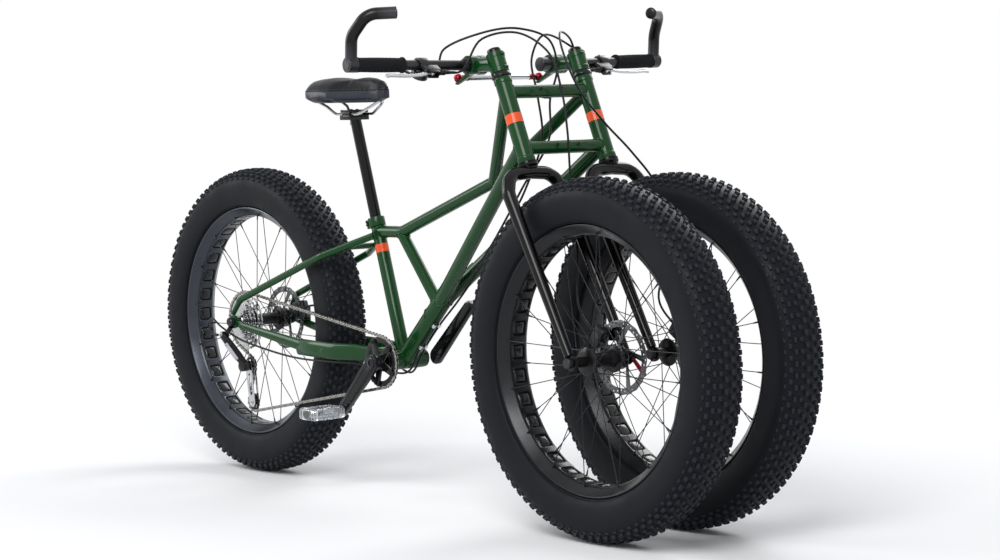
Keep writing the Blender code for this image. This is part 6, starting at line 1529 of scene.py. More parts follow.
@dataclass
class Cockpit:
    """One side's stem, half bar with its bar end, grip, control, lever and the shifter on the right."""

    side: Side
    bend_y: float = 0.155
    tip_y: float = 0.4525
    grip_y: float = 0.4265
    grip_length: float = 0.118

    def bar_centre(self) -> Vector:
        """The middle of the bar's clamp."""
        return steerer(self.side, 0.6965) + Vector((-0.0765, 0, -0.0020))

    def bar_point(self, y: float) -> Vector:
        """A point on the bar.

        Args:
            y: Its distance from the middle plane.

        Returns:
            The point.
        """
        centre = self.bar_centre()
        share = max(0.0, (y - self.bend_y) / (self.tip_y - self.bend_y))
        return Vector((centre.x - 0.023 * share, self.side.value * y, centre.z + 0.005 * share))

    def pivot(self) -> Vector:
        """The tie rod's pin on this stem."""
        return self.bar_centre() + Vector((-0.060, 0, -0.027))

    def control_axes(self) -> tuple[Vector, Vector, Vector, Vector]:
        """The control's origin on the bar, then ahead, square to the bar, and out along the bar."""
        origin = self.bar_point(0.262)
        out = (self.bar_point(0.272) - self.bar_point(0.252)).normalized()
        matrix = axes_at(origin, out, heading(-math.radians(32))).to_3x3()
        return origin, matrix.col[0].copy(), matrix.col[1].copy(), matrix.col[2].copy()

    def lever_pivot(self) -> Vector:
        """The middle of the lever's pivot."""
        origin, ahead, _, out = self.control_axes()
        return origin + ahead * 0.030 - out * 0.012

    def cable_mouth(self) -> Vector:
        """Where the first brake cable enters its adjuster."""
        origin, ahead, _, out = self.control_axes()
        return origin + ahead * 0.030 - out * 0.0589

    def bar_bore(self) -> bpy.types.Object:
        """What the bar's clamp leaves free for the bar."""
        centre = self.bar_centre()
        return rod(centre - Y * 0.05, centre + Y * 0.05, 0.0163, sides=40)

    def stem(self) -> bpy.types.Object:
        """The reversed stem: split clamps with their screws, forged arm and tie rod lug."""
        side = self.side
        low, high = steerer(side, 0.6735), steerer(side, 0.7195)
        middle, centre = (low + high) / 2, self.bar_centre()
        clamp = [
            (0.0150, 0.0), (0.0198, 0.0), (0.0205, 0.0008), (0.0205, 0.0110), (0.0196, 0.0120),
            (0.0196, 0.0340), (0.0205, 0.0350), (0.0205, 0.0452), (0.0198, 0.0460), (0.0150, 0.0460),
        ]
        jaw = [
            (0.0163, -0.023), (0.0204, -0.023), (0.0212, -0.0222), (0.0212, -0.0080), (0.0202, -0.0068),
            (0.0202, 0.0068), (0.0212, 0.0080), (0.0212, 0.0222), (0.0204, 0.023), (0.0163, 0.023),
        ]
        along = (centre - middle).normalized()
        up = Y.cross(along).normalized()
        turn = Matrix((Y, up, Y.cross(up))).transposed().to_4x4()
        shares = (
            (0.0, 0.0150, 0.0200), (0.25, 0.0138, 0.0172), (0.55, 0.0130, 0.0150), (0.8, 0.0146, 0.0158),
            (1.0, 0.0168, 0.0172),
        )
        arm = loft([(Matrix.Translation(middle.lerp(centre, t)) @ turn, a, b) for t, a, b in shares], 28)
        steerer_bore = rod(low - STEER_UP * 0.02, high + STEER_UP * 0.02, 0.0150, sides=40)
        arm = cut(arm, steerer_bore, self.bar_bore())
        pieces = [arm, lathe(clamp, low, STEER_UP, 48), lathe(jaw, centre, Y, 48)]
        pin = self.pivot()
        lug_end = pin - STEER_UP * 0.0104
        lug_turn = Matrix((Y, STEER_UP, Y.cross(STEER_UP))).transposed().to_4x4()
        lug = [
            (centre + Vector((-0.0127, 0, -0.0148)), 0.0120, 0.0060),
            (lug_end + STEER_AHEAD * 0.012, 0.0085, 0.0030), (lug_end - STEER_AHEAD * 0.007, 0.0070, 0.0030),
        ]
        tongue = loft([(Matrix.Translation(at) @ lug_turn, a, b) for at, a, b in lug], 24)
        pieces.append(cut(tongue, self.bar_bore()))
        for height in (0.0075, 0.0385):
            at = low + STEER_UP * height + STEER_AHEAD * 0.0195 - Y * side.value * 0.006
            pieces.append(hex_bolt(at, Y * side.value, 0.0036, 0.0095))
        for across in (-0.0155, 0.0155):
            for lift in (-0.0135, 0.0135):
                pieces.append(hex_bolt(centre + Vector((-0.0165, across, lift)), -X, 0.0032, 0.0045))
        return joined(pieces)

    def bar(self) -> bpy.types.Object:
        """The half bar with its plug, and the bar end in its clamp."""
        s = self.side.value
        ys = [0.0695, 0.1465, 0.1500, 0.1535, 0.1570, 0.1650, 0.1800, self.tip_y]
        radii = [0.0159, 0.0159, 0.0152, 0.0124, 0.0114, 0.0111, 0.0111, 0.0111]
        pieces = [tube([self.bar_point(y) for y in ys], 0.0159, 36, radii)]
        plug = [
            (0.0, 0.0), (0.0125, 0.0), (0.0150, 0.0004), (0.0159, 0.0014), (0.0159, 0.0030), (0.0, 0.0030)
        ]
        pieces.append(lathe(plug, self.bar_point(0.068), Y * s, 36, closed=False))
        tip = self.bar_point(self.tip_y)
        out = (tip - self.bar_point(0.165)).normalized()
        seat = tip - out * 0.01265
        clamp = [
            (0.0113, -0.0115), (0.0158, -0.0115), (0.0165, -0.0108), (0.0165, 0.0108), (0.0158, 0.0115),
            (0.0113, 0.0115),
        ]
        pieces.append(lathe(clamp, seat, out, 40))
        pieces.append(hex_bolt(seat + Vector((-0.0155, 0, -0.0075)), -Z, 0.0034, 0.0060))
        corners = [
            seat, seat + Vector((0.004, 0, 0.0594)), seat + Vector((0.0385, -s * 0.01584, 0.10584)),
            seat + Vector((0.070, -s * 0.072, 0.108)),
        ]
        route = bent(corners, 0.040, 12)
        last = (route[-1] - route[-2]).normalized()
        pieces.append(tube(route[:-1] + [route[-1] - last * 0.004], 0.0130, 32))
        dome = [
            (0.0, 0.0), (0.0131, 0.0), (0.0134, 0.0010), (0.0131, 0.0025), (0.0110, 0.0042),
            (0.0060, 0.0051), (0.0, 0.0052),
        ]
        pieces.append(lathe(dome, route[-1] - last * 0.0045, last, 32, closed=False))
        return joined(pieces)

    def grip(self) -> bpy.types.Object:
        """The foam grip: a soft sleeve with rounded rings at both ends and shallow grooves."""
        start, end = self.bar_point(self.grip_y - self.grip_length), self.bar_point(self.grip_y)
        length = (end - start).length
        profile = [
            (0.0117, 0.0), (0.0160, 0.0), (0.0174, 0.0010), (0.0176, 0.0025), (0.0174, 0.0042),
            (0.0162, 0.0055),
        ]
        steps = 60
        for i in range(steps + 1):
            height = 0.0070 + (length - 0.0130) * i / steps
            swell = 0.0154 + 0.0006 * math.sin(math.pi * i / steps)
            groove = 0.0005 if i % 6 == 0 and 6 <= i <= 54 else 0.0
            profile.append((swell - groove, height))
        profile += [
            (0.0156, length - 0.0045), (0.0164, length - 0.0030), (0.0160, length - 0.0010),
            (0.0148, length), (0.0117, length),
        ]
        return lathe(profile, start, end - start, 40)

    def control(self) -> bpy.types.Object:
        """The lever body with its knurled cable adjusters and its clamp's screw."""
        pieces = [refined(f"control_{self.side.word}", 0.0009, 30)]
        origin, ahead, square, out = self.control_axes()
        for number in range(2 if self.side is Side.LEFT else 1):
            mouth = self.lever_pivot() - out * 0.016 + number * SECOND_MOUTH
            knurl = []
            for i in range(9):
                knurl += [(0.0062, 0.004 + i * 0.0014), (0.0057, 0.0047 + i * 0.0014)]
            pieces.append(lathe([(0.0, 0.003), *knurl, (0.0, 0.0175)], mouth, -out, 18, closed=False))
        screw_at = origin - ahead * 0.0155 - square * 0.0035 + out * 0.004
        pieces.append(hex_bolt(screw_at, -square, 0.0030, 0.0075))
        return joined(pieces)

    def lever(self) -> bpy.types.Object:
        """The forged lever blade: hub, hooked neck, finger rest and ball end."""
        _, ahead, square, out = self.control_axes()
        pivot = self.lever_pivot()
        turn = Matrix((ahead, square, out)).transposed().to_4x4()
        stations = [
            (0.004, 0.0, 0.0056, 0.0031), (0.012, 0.0012, 0.0068, 0.0033), (0.022, 0.0040, 0.0073, 0.0033),
            (0.035, 0.0088, 0.0064, 0.0032), (0.050, 0.0120, 0.0058, 0.0031), (0.068, 0.0136, 0.0058, 0.0031),
            (0.085, 0.0140, 0.0059, 0.0032), (0.102, 0.0134, 0.0057, 0.0032), (0.115, 0.0125, 0.0054, 0.0032),
            (0.123, 0.0143, 0.0058, 0.0035), (0.1275, 0.0158, 0.0048, 0.0031),
        ]
        rings = []
        for along, bow, depth, half in stations:
            rings.append((Matrix.Translation(pivot + out * along + ahead * bow) @ turn, depth, half))
        blade = loft(rings, 24)
        hub = [
            (0.0034, -0.0037), (0.0072, -0.0037), (0.0078, -0.0031), (0.0078, 0.0031), (0.0072, 0.0037),
            (0.0034, 0.0037),
        ]
        bore = rod(pivot - square * 0.02, pivot + square * 0.02, 0.0034, sides=24)
        return joined([cut(blade, bore), lathe(hub, pivot, square, 36)])

    def build(self) -> None:
        """Hands over this side's pieces."""
        word, body = self.side.word, self.side.body
        hand_over(finished(self.stem(), GREEN), f"forged_stem_{word}", body, [f"stem_{word}"])
        hand_over(finished(self.bar(), ANODISED), f"butted_bar_{word}", body, [f"handlebar_{word}"])
        grip = hand_over(finished(self.grip(), FOAM, 50), f"foam_grip_{word}", body, [f"grip_{word}"])
        control = finished(self.control(), ANODISED)
        hand_over(control, f"lever_body_{word}", body, [f"control_{word}"])
        lever = finished(self.lever(), ALLOY)
        hand_over(lever, f"forged_lever_{word}", f"{word}_lever", [f"brake_lever_{word}"])


@dataclass
class TieRod:
    """The steering tie rod: polished tube, red rod ends with jam nuts."""

    def build(self) -> None:
        """Hands over the rod."""
        right, left = Cockpit(Side.RIGHT).pivot(), Cockpit(Side.LEFT).pivot()
        pieces = [
            rod(right + Y * 0.030, left - Y * 0.030, 0.0058, sides=28, edge=0.0006),
            rod(right + Y * 0.009, left - Y * 0.009, 0.0036, sides=20),
        ]
        hand_over(finished(joined(pieces), ALLOY), "polished_tie_rod", "steering_rod", ["tie_rod"])
        eye = [
            (0.0040, -0.0068), (0.0078, -0.0068), (0.0092, -0.0050), (0.0095, 0.0), (0.0092, 0.0050),
            (0.0078, 0.0068), (0.0040, 0.0068),
        ]
        ends = []
        for centre, inward in ((right, Y), (left, -Y)):
            ends.append(lathe(eye, centre, STEER_UP, 36))
            sleeve = centre + inward * 0.0082, centre + inward * 0.0240
            ends.append(rod(*sleeve, 0.0066, sides=28, edge=0.0006))
            jam_nut = centre + inward * 0.0250, centre + inward * 0.0292
            ends.append(rod(*jam_nut, 0.0068, sides=6, edge=0.0004))
        hand_over(finished(joined(ends), RED), "anodised_rod_ends", "steering_rod")


# Drive


@dataclass
class Drive:
    """Chainring, cassette, pulleys in their cage, the chain over all four, and the cranks."""

    pitch: float = 0.0127
    ring_line: float = -0.0725
    rear_line: float = -0.0510
    guide: Vector = Vector((-0.6880, 0, 0.2720))
    tension: Vector = Vector((-0.675057, 0, 0.179905))
    crank_angle: float = math.radians(224.5)
    crank_length: float = 0.175
    bolt_circle: float = 0.052
    ring_teeth: int = 30
    sprocket_teeth: int = 36
    pulley_teeth: int = 11

    def pitch_radius(self, teeth: int) -> float:
        """The radius of the chain's pins on a toothed wheel."""
        return self.pitch / 2 / math.sin(math.pi / teeth)

    def crank_out(self, side: Side) -> Vector:
        """The direction of a crank arm from the cranks' axis."""
        return heading(self.crank_angle if side is Side.RIGHT else self.crank_angle + math.pi)

    def spider_turns(self) -> list[float]:
        """The angles of the spider's five arms."""
        return [self.crank_angle + math.radians(36 + 72 * i) for i in range(5)]

    def wheel(self, teeth: int, inner: float, thickness: float, windows: int = 0) -> bpy.types.Object:
        """A toothed wheel about the origin in the XZ plane.

        Args:
            teeth: How many teeth it has.
            inner: Its bore's radius.
            thickness: Its whole thickness.
            windows: How many windows it has between its bore and its teeth.

        Returns:
            The wheel.
        """
        radius = self.pitch_radius(teeth)
        outer = []
        for i in range(teeth * 8):
            share = (i % 8) / 8
            reach = radius + 0.0011 * math.cos(2 * math.pi * share) - 0.0011
            angle = 2 * math.pi * (i + 4) / (teeth * 8)
            outer.append((reach * math.cos(angle), reach * math.sin(angle)))
        outlines = [outer, ring_points(inner, 48)]
        for number in range(windows):
            start, width = 2 * math.pi * number / windows, 2 * math.pi / windows * 0.62
            turns = [start + width * i / 6 for i in range(7)]
            outlines.append(arc(radius - 0.0075, turns) + arc(inner + 0.0035, list(reversed(turns))))
        return plate(outlines, thickness, UPRIGHT, 0.0002)

    def chainring(self) -> bpy.types.Object:
        """The chainring with its bolts to the spider's five arms."""
        centre = CRANK_AXIS + Y * self.ring_line
        pieces = [settled(self.wheel(self.ring_teeth, 0.0450, 0.0030), Matrix.Translation(centre))]
        for angle in self.spider_turns():
            hole = centre + heading(angle) * self.bolt_circle
            pieces.append(hex_bolt(hole - Y * 0.0068, -Y, 0.0048, 0.0012))
            pieces.append(rod(hole + Y * 0.0010, hole + Y * 0.0032, 0.0048, sides=24, edge=0.0004))
        return joined(pieces)

    def arm(self, side: Side) -> bpy.types.Object:
        """One forged crank arm, hollowed along its face, with its fixing bolt's cap.

        Args:
            side: Which arm. The right one has the spider.

        Returns:
            The arm.
        """
        s = side.value
        middle = CRANK_AXIS + Y * s * (0.0890 + 0.00675)
        place = axes_at(middle, Y, self.crank_out(side))
        body = plate([capsule((0, 0), (self.crank_length, 0), 0.0192, 0.0138, 16)], 0.0133, place, 0.0022)
        hollow = capsule((0.034, 0), (0.148, 0), 0.0082, 0.0062, 8)
        groove = plate([hollow], 0.0040, Matrix.Translation(Y * s * 0.0080) @ place, 0.0)
        pieces = [cut(body, groove)]
        cap = [
            (0.0, 0.0), (0.0118, 0.0), (0.0128, 0.0008), (0.0128, 0.0020), (0.0112, 0.0030),
            (0.0070, 0.0032), (0.0066, 0.0014), (0.0, 0.0014),
        ]
        pieces.append(lathe(cap, middle + Y * s * 0.0062, Y * s, 36, closed=False))
        if side is Side.RIGHT:
            flat = Matrix.Translation(CRANK_AXIS - Y * 0.0766) @ UPRIGHT
            for angle in self.spider_turns():
                tip = Vector((math.cos(angle), math.sin(angle)))
                outline = capsule(tuple(tip * 0.014), tuple(tip * self.bolt_circle), 0.0105, 0.0068, 8)
                pieces.append(plate([outline], 0.0048, flat, 0.0008))
            hub_ends = CRANK_AXIS - Y * 0.0742, CRANK_AXIS - Y * 0.0900
            pieces.append(rod(*hub_ends, 0.0185, sides=40, edge=0.0010))
        return joined(pieces)

    def cassette(self) -> bpy.types.Object:
        """Six sprockets from 36 to 11 teeth, their carrier and the lock ring."""
        centre = REAR_AXLE + Y * self.rear_line
        pieces = []
        sizes = (
            (self.sprocket_teeth, 0.030), (31, 0.026), (26, 0.022), (21, 0.019), (16, 0.017), (11, 0.0150)
        )
        for number, (teeth, inner) in enumerate(sizes):
            sprocket = self.wheel(teeth, inner, 0.0018, 8 if number < 3 else 0)
            place = REAR_AXLE + Y * (self.rear_line - 0.004 * number)
            pieces.append(settled(sprocket, Matrix.Translation(place)))
        carrier = [
            (0.0150, -0.0205), (0.0172, -0.0205), (0.0190, -0.0100), (0.0225, -0.0070), (0.0312, -0.0012),
            (0.0312, 0.0012), (0.0150, 0.0012),
        ]
        pieces.append(lathe(carrier, centre, Y, 40))
        ring = [
            (0.0110, -0.0235), (0.0150, -0.0235), (0.0158, -0.0225), (0.0158, -0.0212), (0.0110, -0.0212)
        ]
        pieces.append(lathe(ring, centre, Y, 24))
        return joined(pieces)

    def pulley(self, centre: Vector) -> bpy.types.Object:
        """One jockey wheel with its raised hub.

        Args:
            centre: Its axis, in the middle plane.

        Returns:
            The wheel.
        """
        at = centre + Y * self.rear_line
        wheel = settled(self.wheel(self.pulley_teeth, 0.0032, 0.0024, 5), Matrix.Translation(at))
        hub = [
            (0.0032, -0.0026), (0.0064, -0.0026), (0.0068, -0.0020), (0.0068, 0.0020), (0.0064, 0.0026),
            (0.0032, 0.0026),
        ]
        return joined([wheel, lathe(hub, at, Y, 28)])

    def cage(self) -> bpy.types.Object:
        """Both cage plates, cut out between the pulleys, and the pulleys' bolts."""
        pieces = []
        first, second = (self.guide.x, self.guide.z), (self.tension.x, self.tension.z)
        run = (self.tension - self.guide).normalized()
        for side in (-1, 1):
            place = Matrix.Translation(Y * (self.rear_line + side * 0.00625)) @ UPRIGHT
            near, far = self.guide + run * 0.026, self.tension - run * 0.024
            hole = capsule((near.x, near.z), (far.x, far.z), 0.0064, 0.0056, 8)
            pieces.append(plate([capsule(first, second, 0.0140, 0.0125), hole], 0.0015, place, 0.0004))
        for centre in (self.guide, self.tension):
            at = centre + Y * self.rear_line
            pieces.append(rod(at - Y * 0.0070, at + Y * 0.0082, 0.0029, sides=20, edge=0.0003))
            pieces.append(hex_bolt(at - Y * 0.0068, -Y, 0.0050, 0.0020))
        return joined(pieces)

    def route(self) -> list[tuple[Vector, Vector]]:
        """The chain's pins in order, each with the way the chain runs there."""
        wheels = [
            (CRANK_AXIS, self.ring_teeth, 1), (self.tension, self.pulley_teeth, 1),
            (self.guide, self.pulley_teeth, -1), (REAR_AXLE, self.sprocket_teeth, 1),
        ]
        radii = [self.pitch_radius(teeth) for _, teeth, _ in wheels]
        runs = []
        for i, (a, _, sa) in enumerate(wheels):
            b, _, sb = wheels[(i + 1) % 4]
            gap, slope = (b - a).length, math.atan2(b.z - a.z, b.x - a.x)
            lean = math.asin((radii[i] * sa - radii[(i + 1) % 4] * sb) / gap)
            runs.append([slope + math.copysign(math.pi / 2, sense) - lean for sense in (sa, sb)])
        pins = []
        for i, (centre, _, sense) in enumerate(wheels):
            arrive, leave = runs[i - 1][1], runs[i][0]
            sweep = (arrive - leave if sense > 0 else leave - arrive) % (2 * math.pi)
            steps = max(3, round(sweep * radii[i] / self.pitch))
            line = Y * (self.ring_line if i == 0 else self.rear_line)
            for k in range(steps + 1):
                angle = arrive - sense * sweep * k / steps
                pins.append(centre + line + heading(angle) * radii[i])
            after, _, _ = wheels[(i + 1) % 4]
            next_line = Y * (self.ring_line if i == 3 else self.rear_line)
            target = after + next_line + heading(runs[i][1]) * radii[(i + 1) % 4]
            free = max(1, round((target - pins[-1]).length / self.pitch))
            pins += [pins[-1].lerp(target, k / free) for k in range(1, free)]
        return [(pin, (pins[(i + 1) % len(pins)] - pin)) for i, pin in enumerate(pins)]

    def chain(self) -> tuple[bpy.types.Object, bpy.types.Object]:
        """Every link's waisted side plates, and every roller with its pin."""
        end = [(0.0058, 0.0034), (0.0084, 0.0038), (0.0099, 0.0020), (0.0101, 0.0)]
        waist = [(-x, half) for x, half in reversed(end)] + [(0.0, 0.0022)] + end
        outline = waist + [(x, -half) for x, half in reversed(waist[1:-1])]
        plates = []
        for across in (0.0027, 0.0019):
            places = [Matrix.Translation(Y * side * across) @ UPRIGHT for side in (-1, 1)]
            plates.append(joined([plate([outline], 0.0008, place, 0.0001) for place in places]))
        pin_rod = rod(Y * -0.0032, Y * 0.0032, 0.0017, sides=8)
        barrels = joined([pin_rod, rod(Y * -0.0014, Y * 0.0014, 0.0037, sides=10)])
        bars, rollers = [], []
        for number, (pin, run) in enumerate(self.route()):
            if run.length < 0.0005:
                continue
            flat = Vector((-run.z, 0, run.x)).normalized()
            turn = Matrix((run.normalized(), flat.cross(run).normalized(), flat)).transposed().to_4x4()
            place = Matrix.Translation(pin + run / 2) @ turn
            fit = Matrix.Scale(min(1.0, run.length / self.pitch), 4, X)
            bars.append(copied(plates[number % 2], place @ fit))
            rollers.append(copied(barrels, Matrix.Translation(pin)))
        for master in (*plates, barrels):
            bpy.data.objects.remove(master)
        return joined(bars), joined(rollers)

    def link_plate(self) -> bpy.types.Object:
        """The derailleur's bright outer link, its pivot pins and its mounting and limit screws."""
        start = REAR_AXLE + Vector((-0.026, -0.1063, -0.034))
        knuckle = self.guide + Vector((-0.004, -0.0683, 0.006))
        along = (knuckle - start).normalized()
        out = (along * along.y - Y).normalized()
        middle = start.lerp(knuckle, 0.52) + out * 0.0092
        pieces = [brick((0.050, 0.0150, 0.0024), axes_at(middle, out, along), 0.0009)]
        for share in (-0.021, 0.021):
            pieces.append(hex_bolt(middle + along * share + out * 0.0010, out, 0.0032, 0.0016))
        pieces.append(hex_bolt(REAR_AXLE + Vector((-0.026, -0.1105, -0.034)), -Y, 0.0052, 0.0020))
        for across in (-0.0035, 0.0035):
            at = start + along * 0.006 + along.cross(out) * across - along * 0.012
            pieces.append(hex_bolt(at, -along, 0.0017, 0.0030))
        return joined(pieces)

    def pedal(self, side: Side) -> None:
        """Hands over one platform pedal: clear body, gripping pins, silver spindle and cap.

        Args:
            side: Which pedal.
        """
        s, word, rides_on = side.value, side.word, f"{side.word}_pedal"
        centre = CRANK_AXIS + self.crank_out(side) * self.crank_length + Y * s * 0.1565
        body = brick((0.062, 0.094, 0.028), Matrix.Translation(centre), 0.0060, 3)
        for across in (-1, 1):
            window = brick((0.016, 0.066, 0.060), Matrix.Translation(centre + X * across * 0.0165), 0.0045)
            body = cut(body, window)
        hand_over(finished(body, CLEAR), f"clear_pedal_body_{word}", rides_on, [f"pedal_{word}"])
        outward = Y * s
        metal = [
            rod(centre - outward * 0.0665, centre + outward * 0.0465, 0.0045, sides=24),
            rod(centre - outward * 0.0470, centre - outward * 0.0560, 0.0075, sides=6, edge=0.0005),
            rod(centre - outward * 0.0440, centre + outward * 0.0440, 0.0088, sides=28, edge=0.001),
        ]
        for along in (-0.026, 0.026):
            for across in (-0.036, -0.018, 0.0, 0.018, 0.036):
                at = centre + Vector((along, across, 0))
                metal.append(rod(at - Z * 0.0138, at + Z * 0.0138, 0.0013, sides=8))
        hand_over(finished(joined(metal), ALLOY), f"pedal_spindle_{word}", rides_on)
        cap = ball(centre + outward * 0.0452, 0.0100, (1.35, 0.16, 0.9))
        hand_over(finished(cap, NYLON), f"pedal_end_cap_{word}", rides_on)

    def build(self) -> None:
        """Hands over the drive."""
        for side in Side:
            self.pedal(side)
        hand_over(finished(self.chainring(), ANODISED), "drilled_chainring", "crank", ["chainring"])
        for side in Side:
            name = f"crank_{side.word}"
            hand_over(finished(self.arm(side), GLOSS_BLACK), f"forged_{name}", "crank", [name])
        hand_over(finished(self.cassette(), STEEL), "six_sprocket_cassette", "sprockets", ["cassette"])
        for name, centre in (("guide", self.guide), ("tension", self.tension)):
            pulley = finished(self.pulley(centre), NYLON)
            hand_over(pulley, f"toothed_{name}_pulley", f"{name}_wheel", [f"{name}_pulley"])
        hand_over(finished(self.cage(), ALLOY), "pressed_cage_plates", "frame", ["derailleur_cage"])
        bars, rollers = self.chain()
        hand_over(finished(bars, CHAIN_STEEL), "chain_side_plates", "frame", ["chain"])
        hand_over(finished(rollers, DARK_SPOKE), "chain_rollers", "frame")
        hand_over(finished(self.link_plate(), ALLOY), "derailleur_link_plate", "frame")


# Brakes, axles and small fittings


@dataclass
class Fittings:
    """Calipers, axles, headset, seat collar, post, rails and the other small machined pieces."""

    def caliper(self, name: str, axle: Vector, across: float, degrees: float, body: str) -> None:
        """A disc caliper: a body slotted for the disc, two bolts and a cap over each piston.

        Args:
            name: The CAD node it stands for.
            axle: The middle of its wheel's axle.
            across: Its distance to the rider's left.
            degrees: Its angle about the axle.
            body: The body it rides on.
        """
        centre, out = caliper_spot(axle, across, degrees)
        place = axes_at(centre, Y, out)
        shell = brick((0.030, 0.046, 0.032), place, 0.0050, 3)
        slot = brick((0.060, 0.060, 0.0042), Matrix.Translation(-out * 0.0085) @ place, 0.0)
        pieces = [cut(shell, slot)]
        side = Y.cross(out)
        for along in (-0.0165, 0.0165):
            pieces.append(hex_bolt(centre + side * along + out * 0.0030 + Y * 0.0150, Y, 0.0034, 0.0022))
        outer = [(0.0, 0.0), (0.0108, 0.0), (0.0114, 0.0007), (0.0114, 0.0018), (0.0, 0.0018)]
        inner = [(0.0, 0.0), (0.0112, 0.0), (0.0112, 0.0012), (0.0, 0.0016)]
        pieces.append(lathe(outer, centre + Y * 0.0158, Y, 32, closed=False))
        pieces.append(lathe(inner, centre - Y * 0.0158, -Y, 32, closed=False))
        hand_over(finished(joined(pieces), ANODISED), f"machined_{name}", body, [name])

    def axle(self, name: str, centre: Vector, half: float, finish: Finish, body: str) -> None:
        """A quick axle: its shaft and cam lever, and a dark knurled nut over each end.

        Args:
            name: The CAD node it stands for.
            centre: The axle's middle.
            half: From there to each nut.
            finish: The shaft's and the lever's finish.
            body: The body it rides on.
        """
        hand_over(finished(refined(name, 0.0005, 40), finish), f"quick_{name}", body, [name])
        nut = [(0.0, 0.0006), (0.0108, 0.0006)]
        for i in range(5):
            nut += [(0.0108, 0.0020 + i * 0.0020), (0.0113, 0.0028 + i * 0.0020)]
        nut += [(0.0100, 0.0128), (0.0, 0.0131)]
        ends = [lathe(nut, centre + Y * s * half, Y * s, 24, closed=False) for s in (-1, 1)]
        hand_over(finished(joined(ends), ANODISED), f"knurled_nuts_{name}", body)

    def small(
        self,
        node: str,
        name: str,
        body: str,
        finish: Finish,
        extras: Sequence[bpy.types.Object] = (),
        edge: float = 0.0006,
    ) -> None:
        """A machined piece.

        Args:
            node: The CAD node that it follows and stands for.
            name: Its name.
            body: The body it rides on.
            finish: Its finish.
            extras: Screws to join to it.
            edge: How far its edges are rounded.
        """
        obj = joined([refined(node, edge, 34), *extras])
        hand_over(finished(obj, finish), name, body, [node])

    def build(self) -> None:
        """Hands over all of them."""
        self.caliper("rear_caliper", REAR_AXLE, *REAR_CALIPER, "frame")
        self.axle("rear_axle", REAR_AXLE, 0.092, STEEL, "frame")
        for side in Side:
            self.caliper(f"front_caliper_{side.word}", side.axle, *FRONT_CALIPER, side.body)
            self.axle(f"front_axle_{side.word}", side.axle, 0.082, RED, side.body)
            self.small(f"headset_cup_{side.word}", f"turned_headset_{side.word}", "frame", GLOSS_BLACK)
        bolts = []
        for along in CROSSBAR_LEVELS:
            middle = (steerer(Side.RIGHT, along) + steerer(Side.LEFT, along)) / 2
            for place in CROSSBAR_BOSSES:
                at = middle + Y * place + STEER_AHEAD * 0.0163
                bolts.append(hex_bolt(at, STEER_AHEAD, 0.0036, 0.0016))
        hand_over(finished(joined(bolts), ANODISED), "crossbar_boss_bolts", "frame")
        self.small("bottom_bracket", "bottom_bracket_cups", "frame", ANODISED)
        collar_bolt = hex_bolt(up_seat_tube(0.337) - X * 0.0262 - Y * 0.0085, -Y, 0.0040, 0.0030)
        self.small("seat_collar", "split_seat_collar", "frame", GREEN, [collar_bolt])
        self.small("seatpost", "forged_seatpost", "seat", GLOSS_BLACK)
        self.small("saddle_rails", "bent_saddle_rails", "seat", STEEL, edge=0.0)
        self.small("derailleur", "derailleur_body", "frame", ANODISED)
        self.small("shift_trigger", "shift_thumb_lever", "gear_trigger", NYLON)


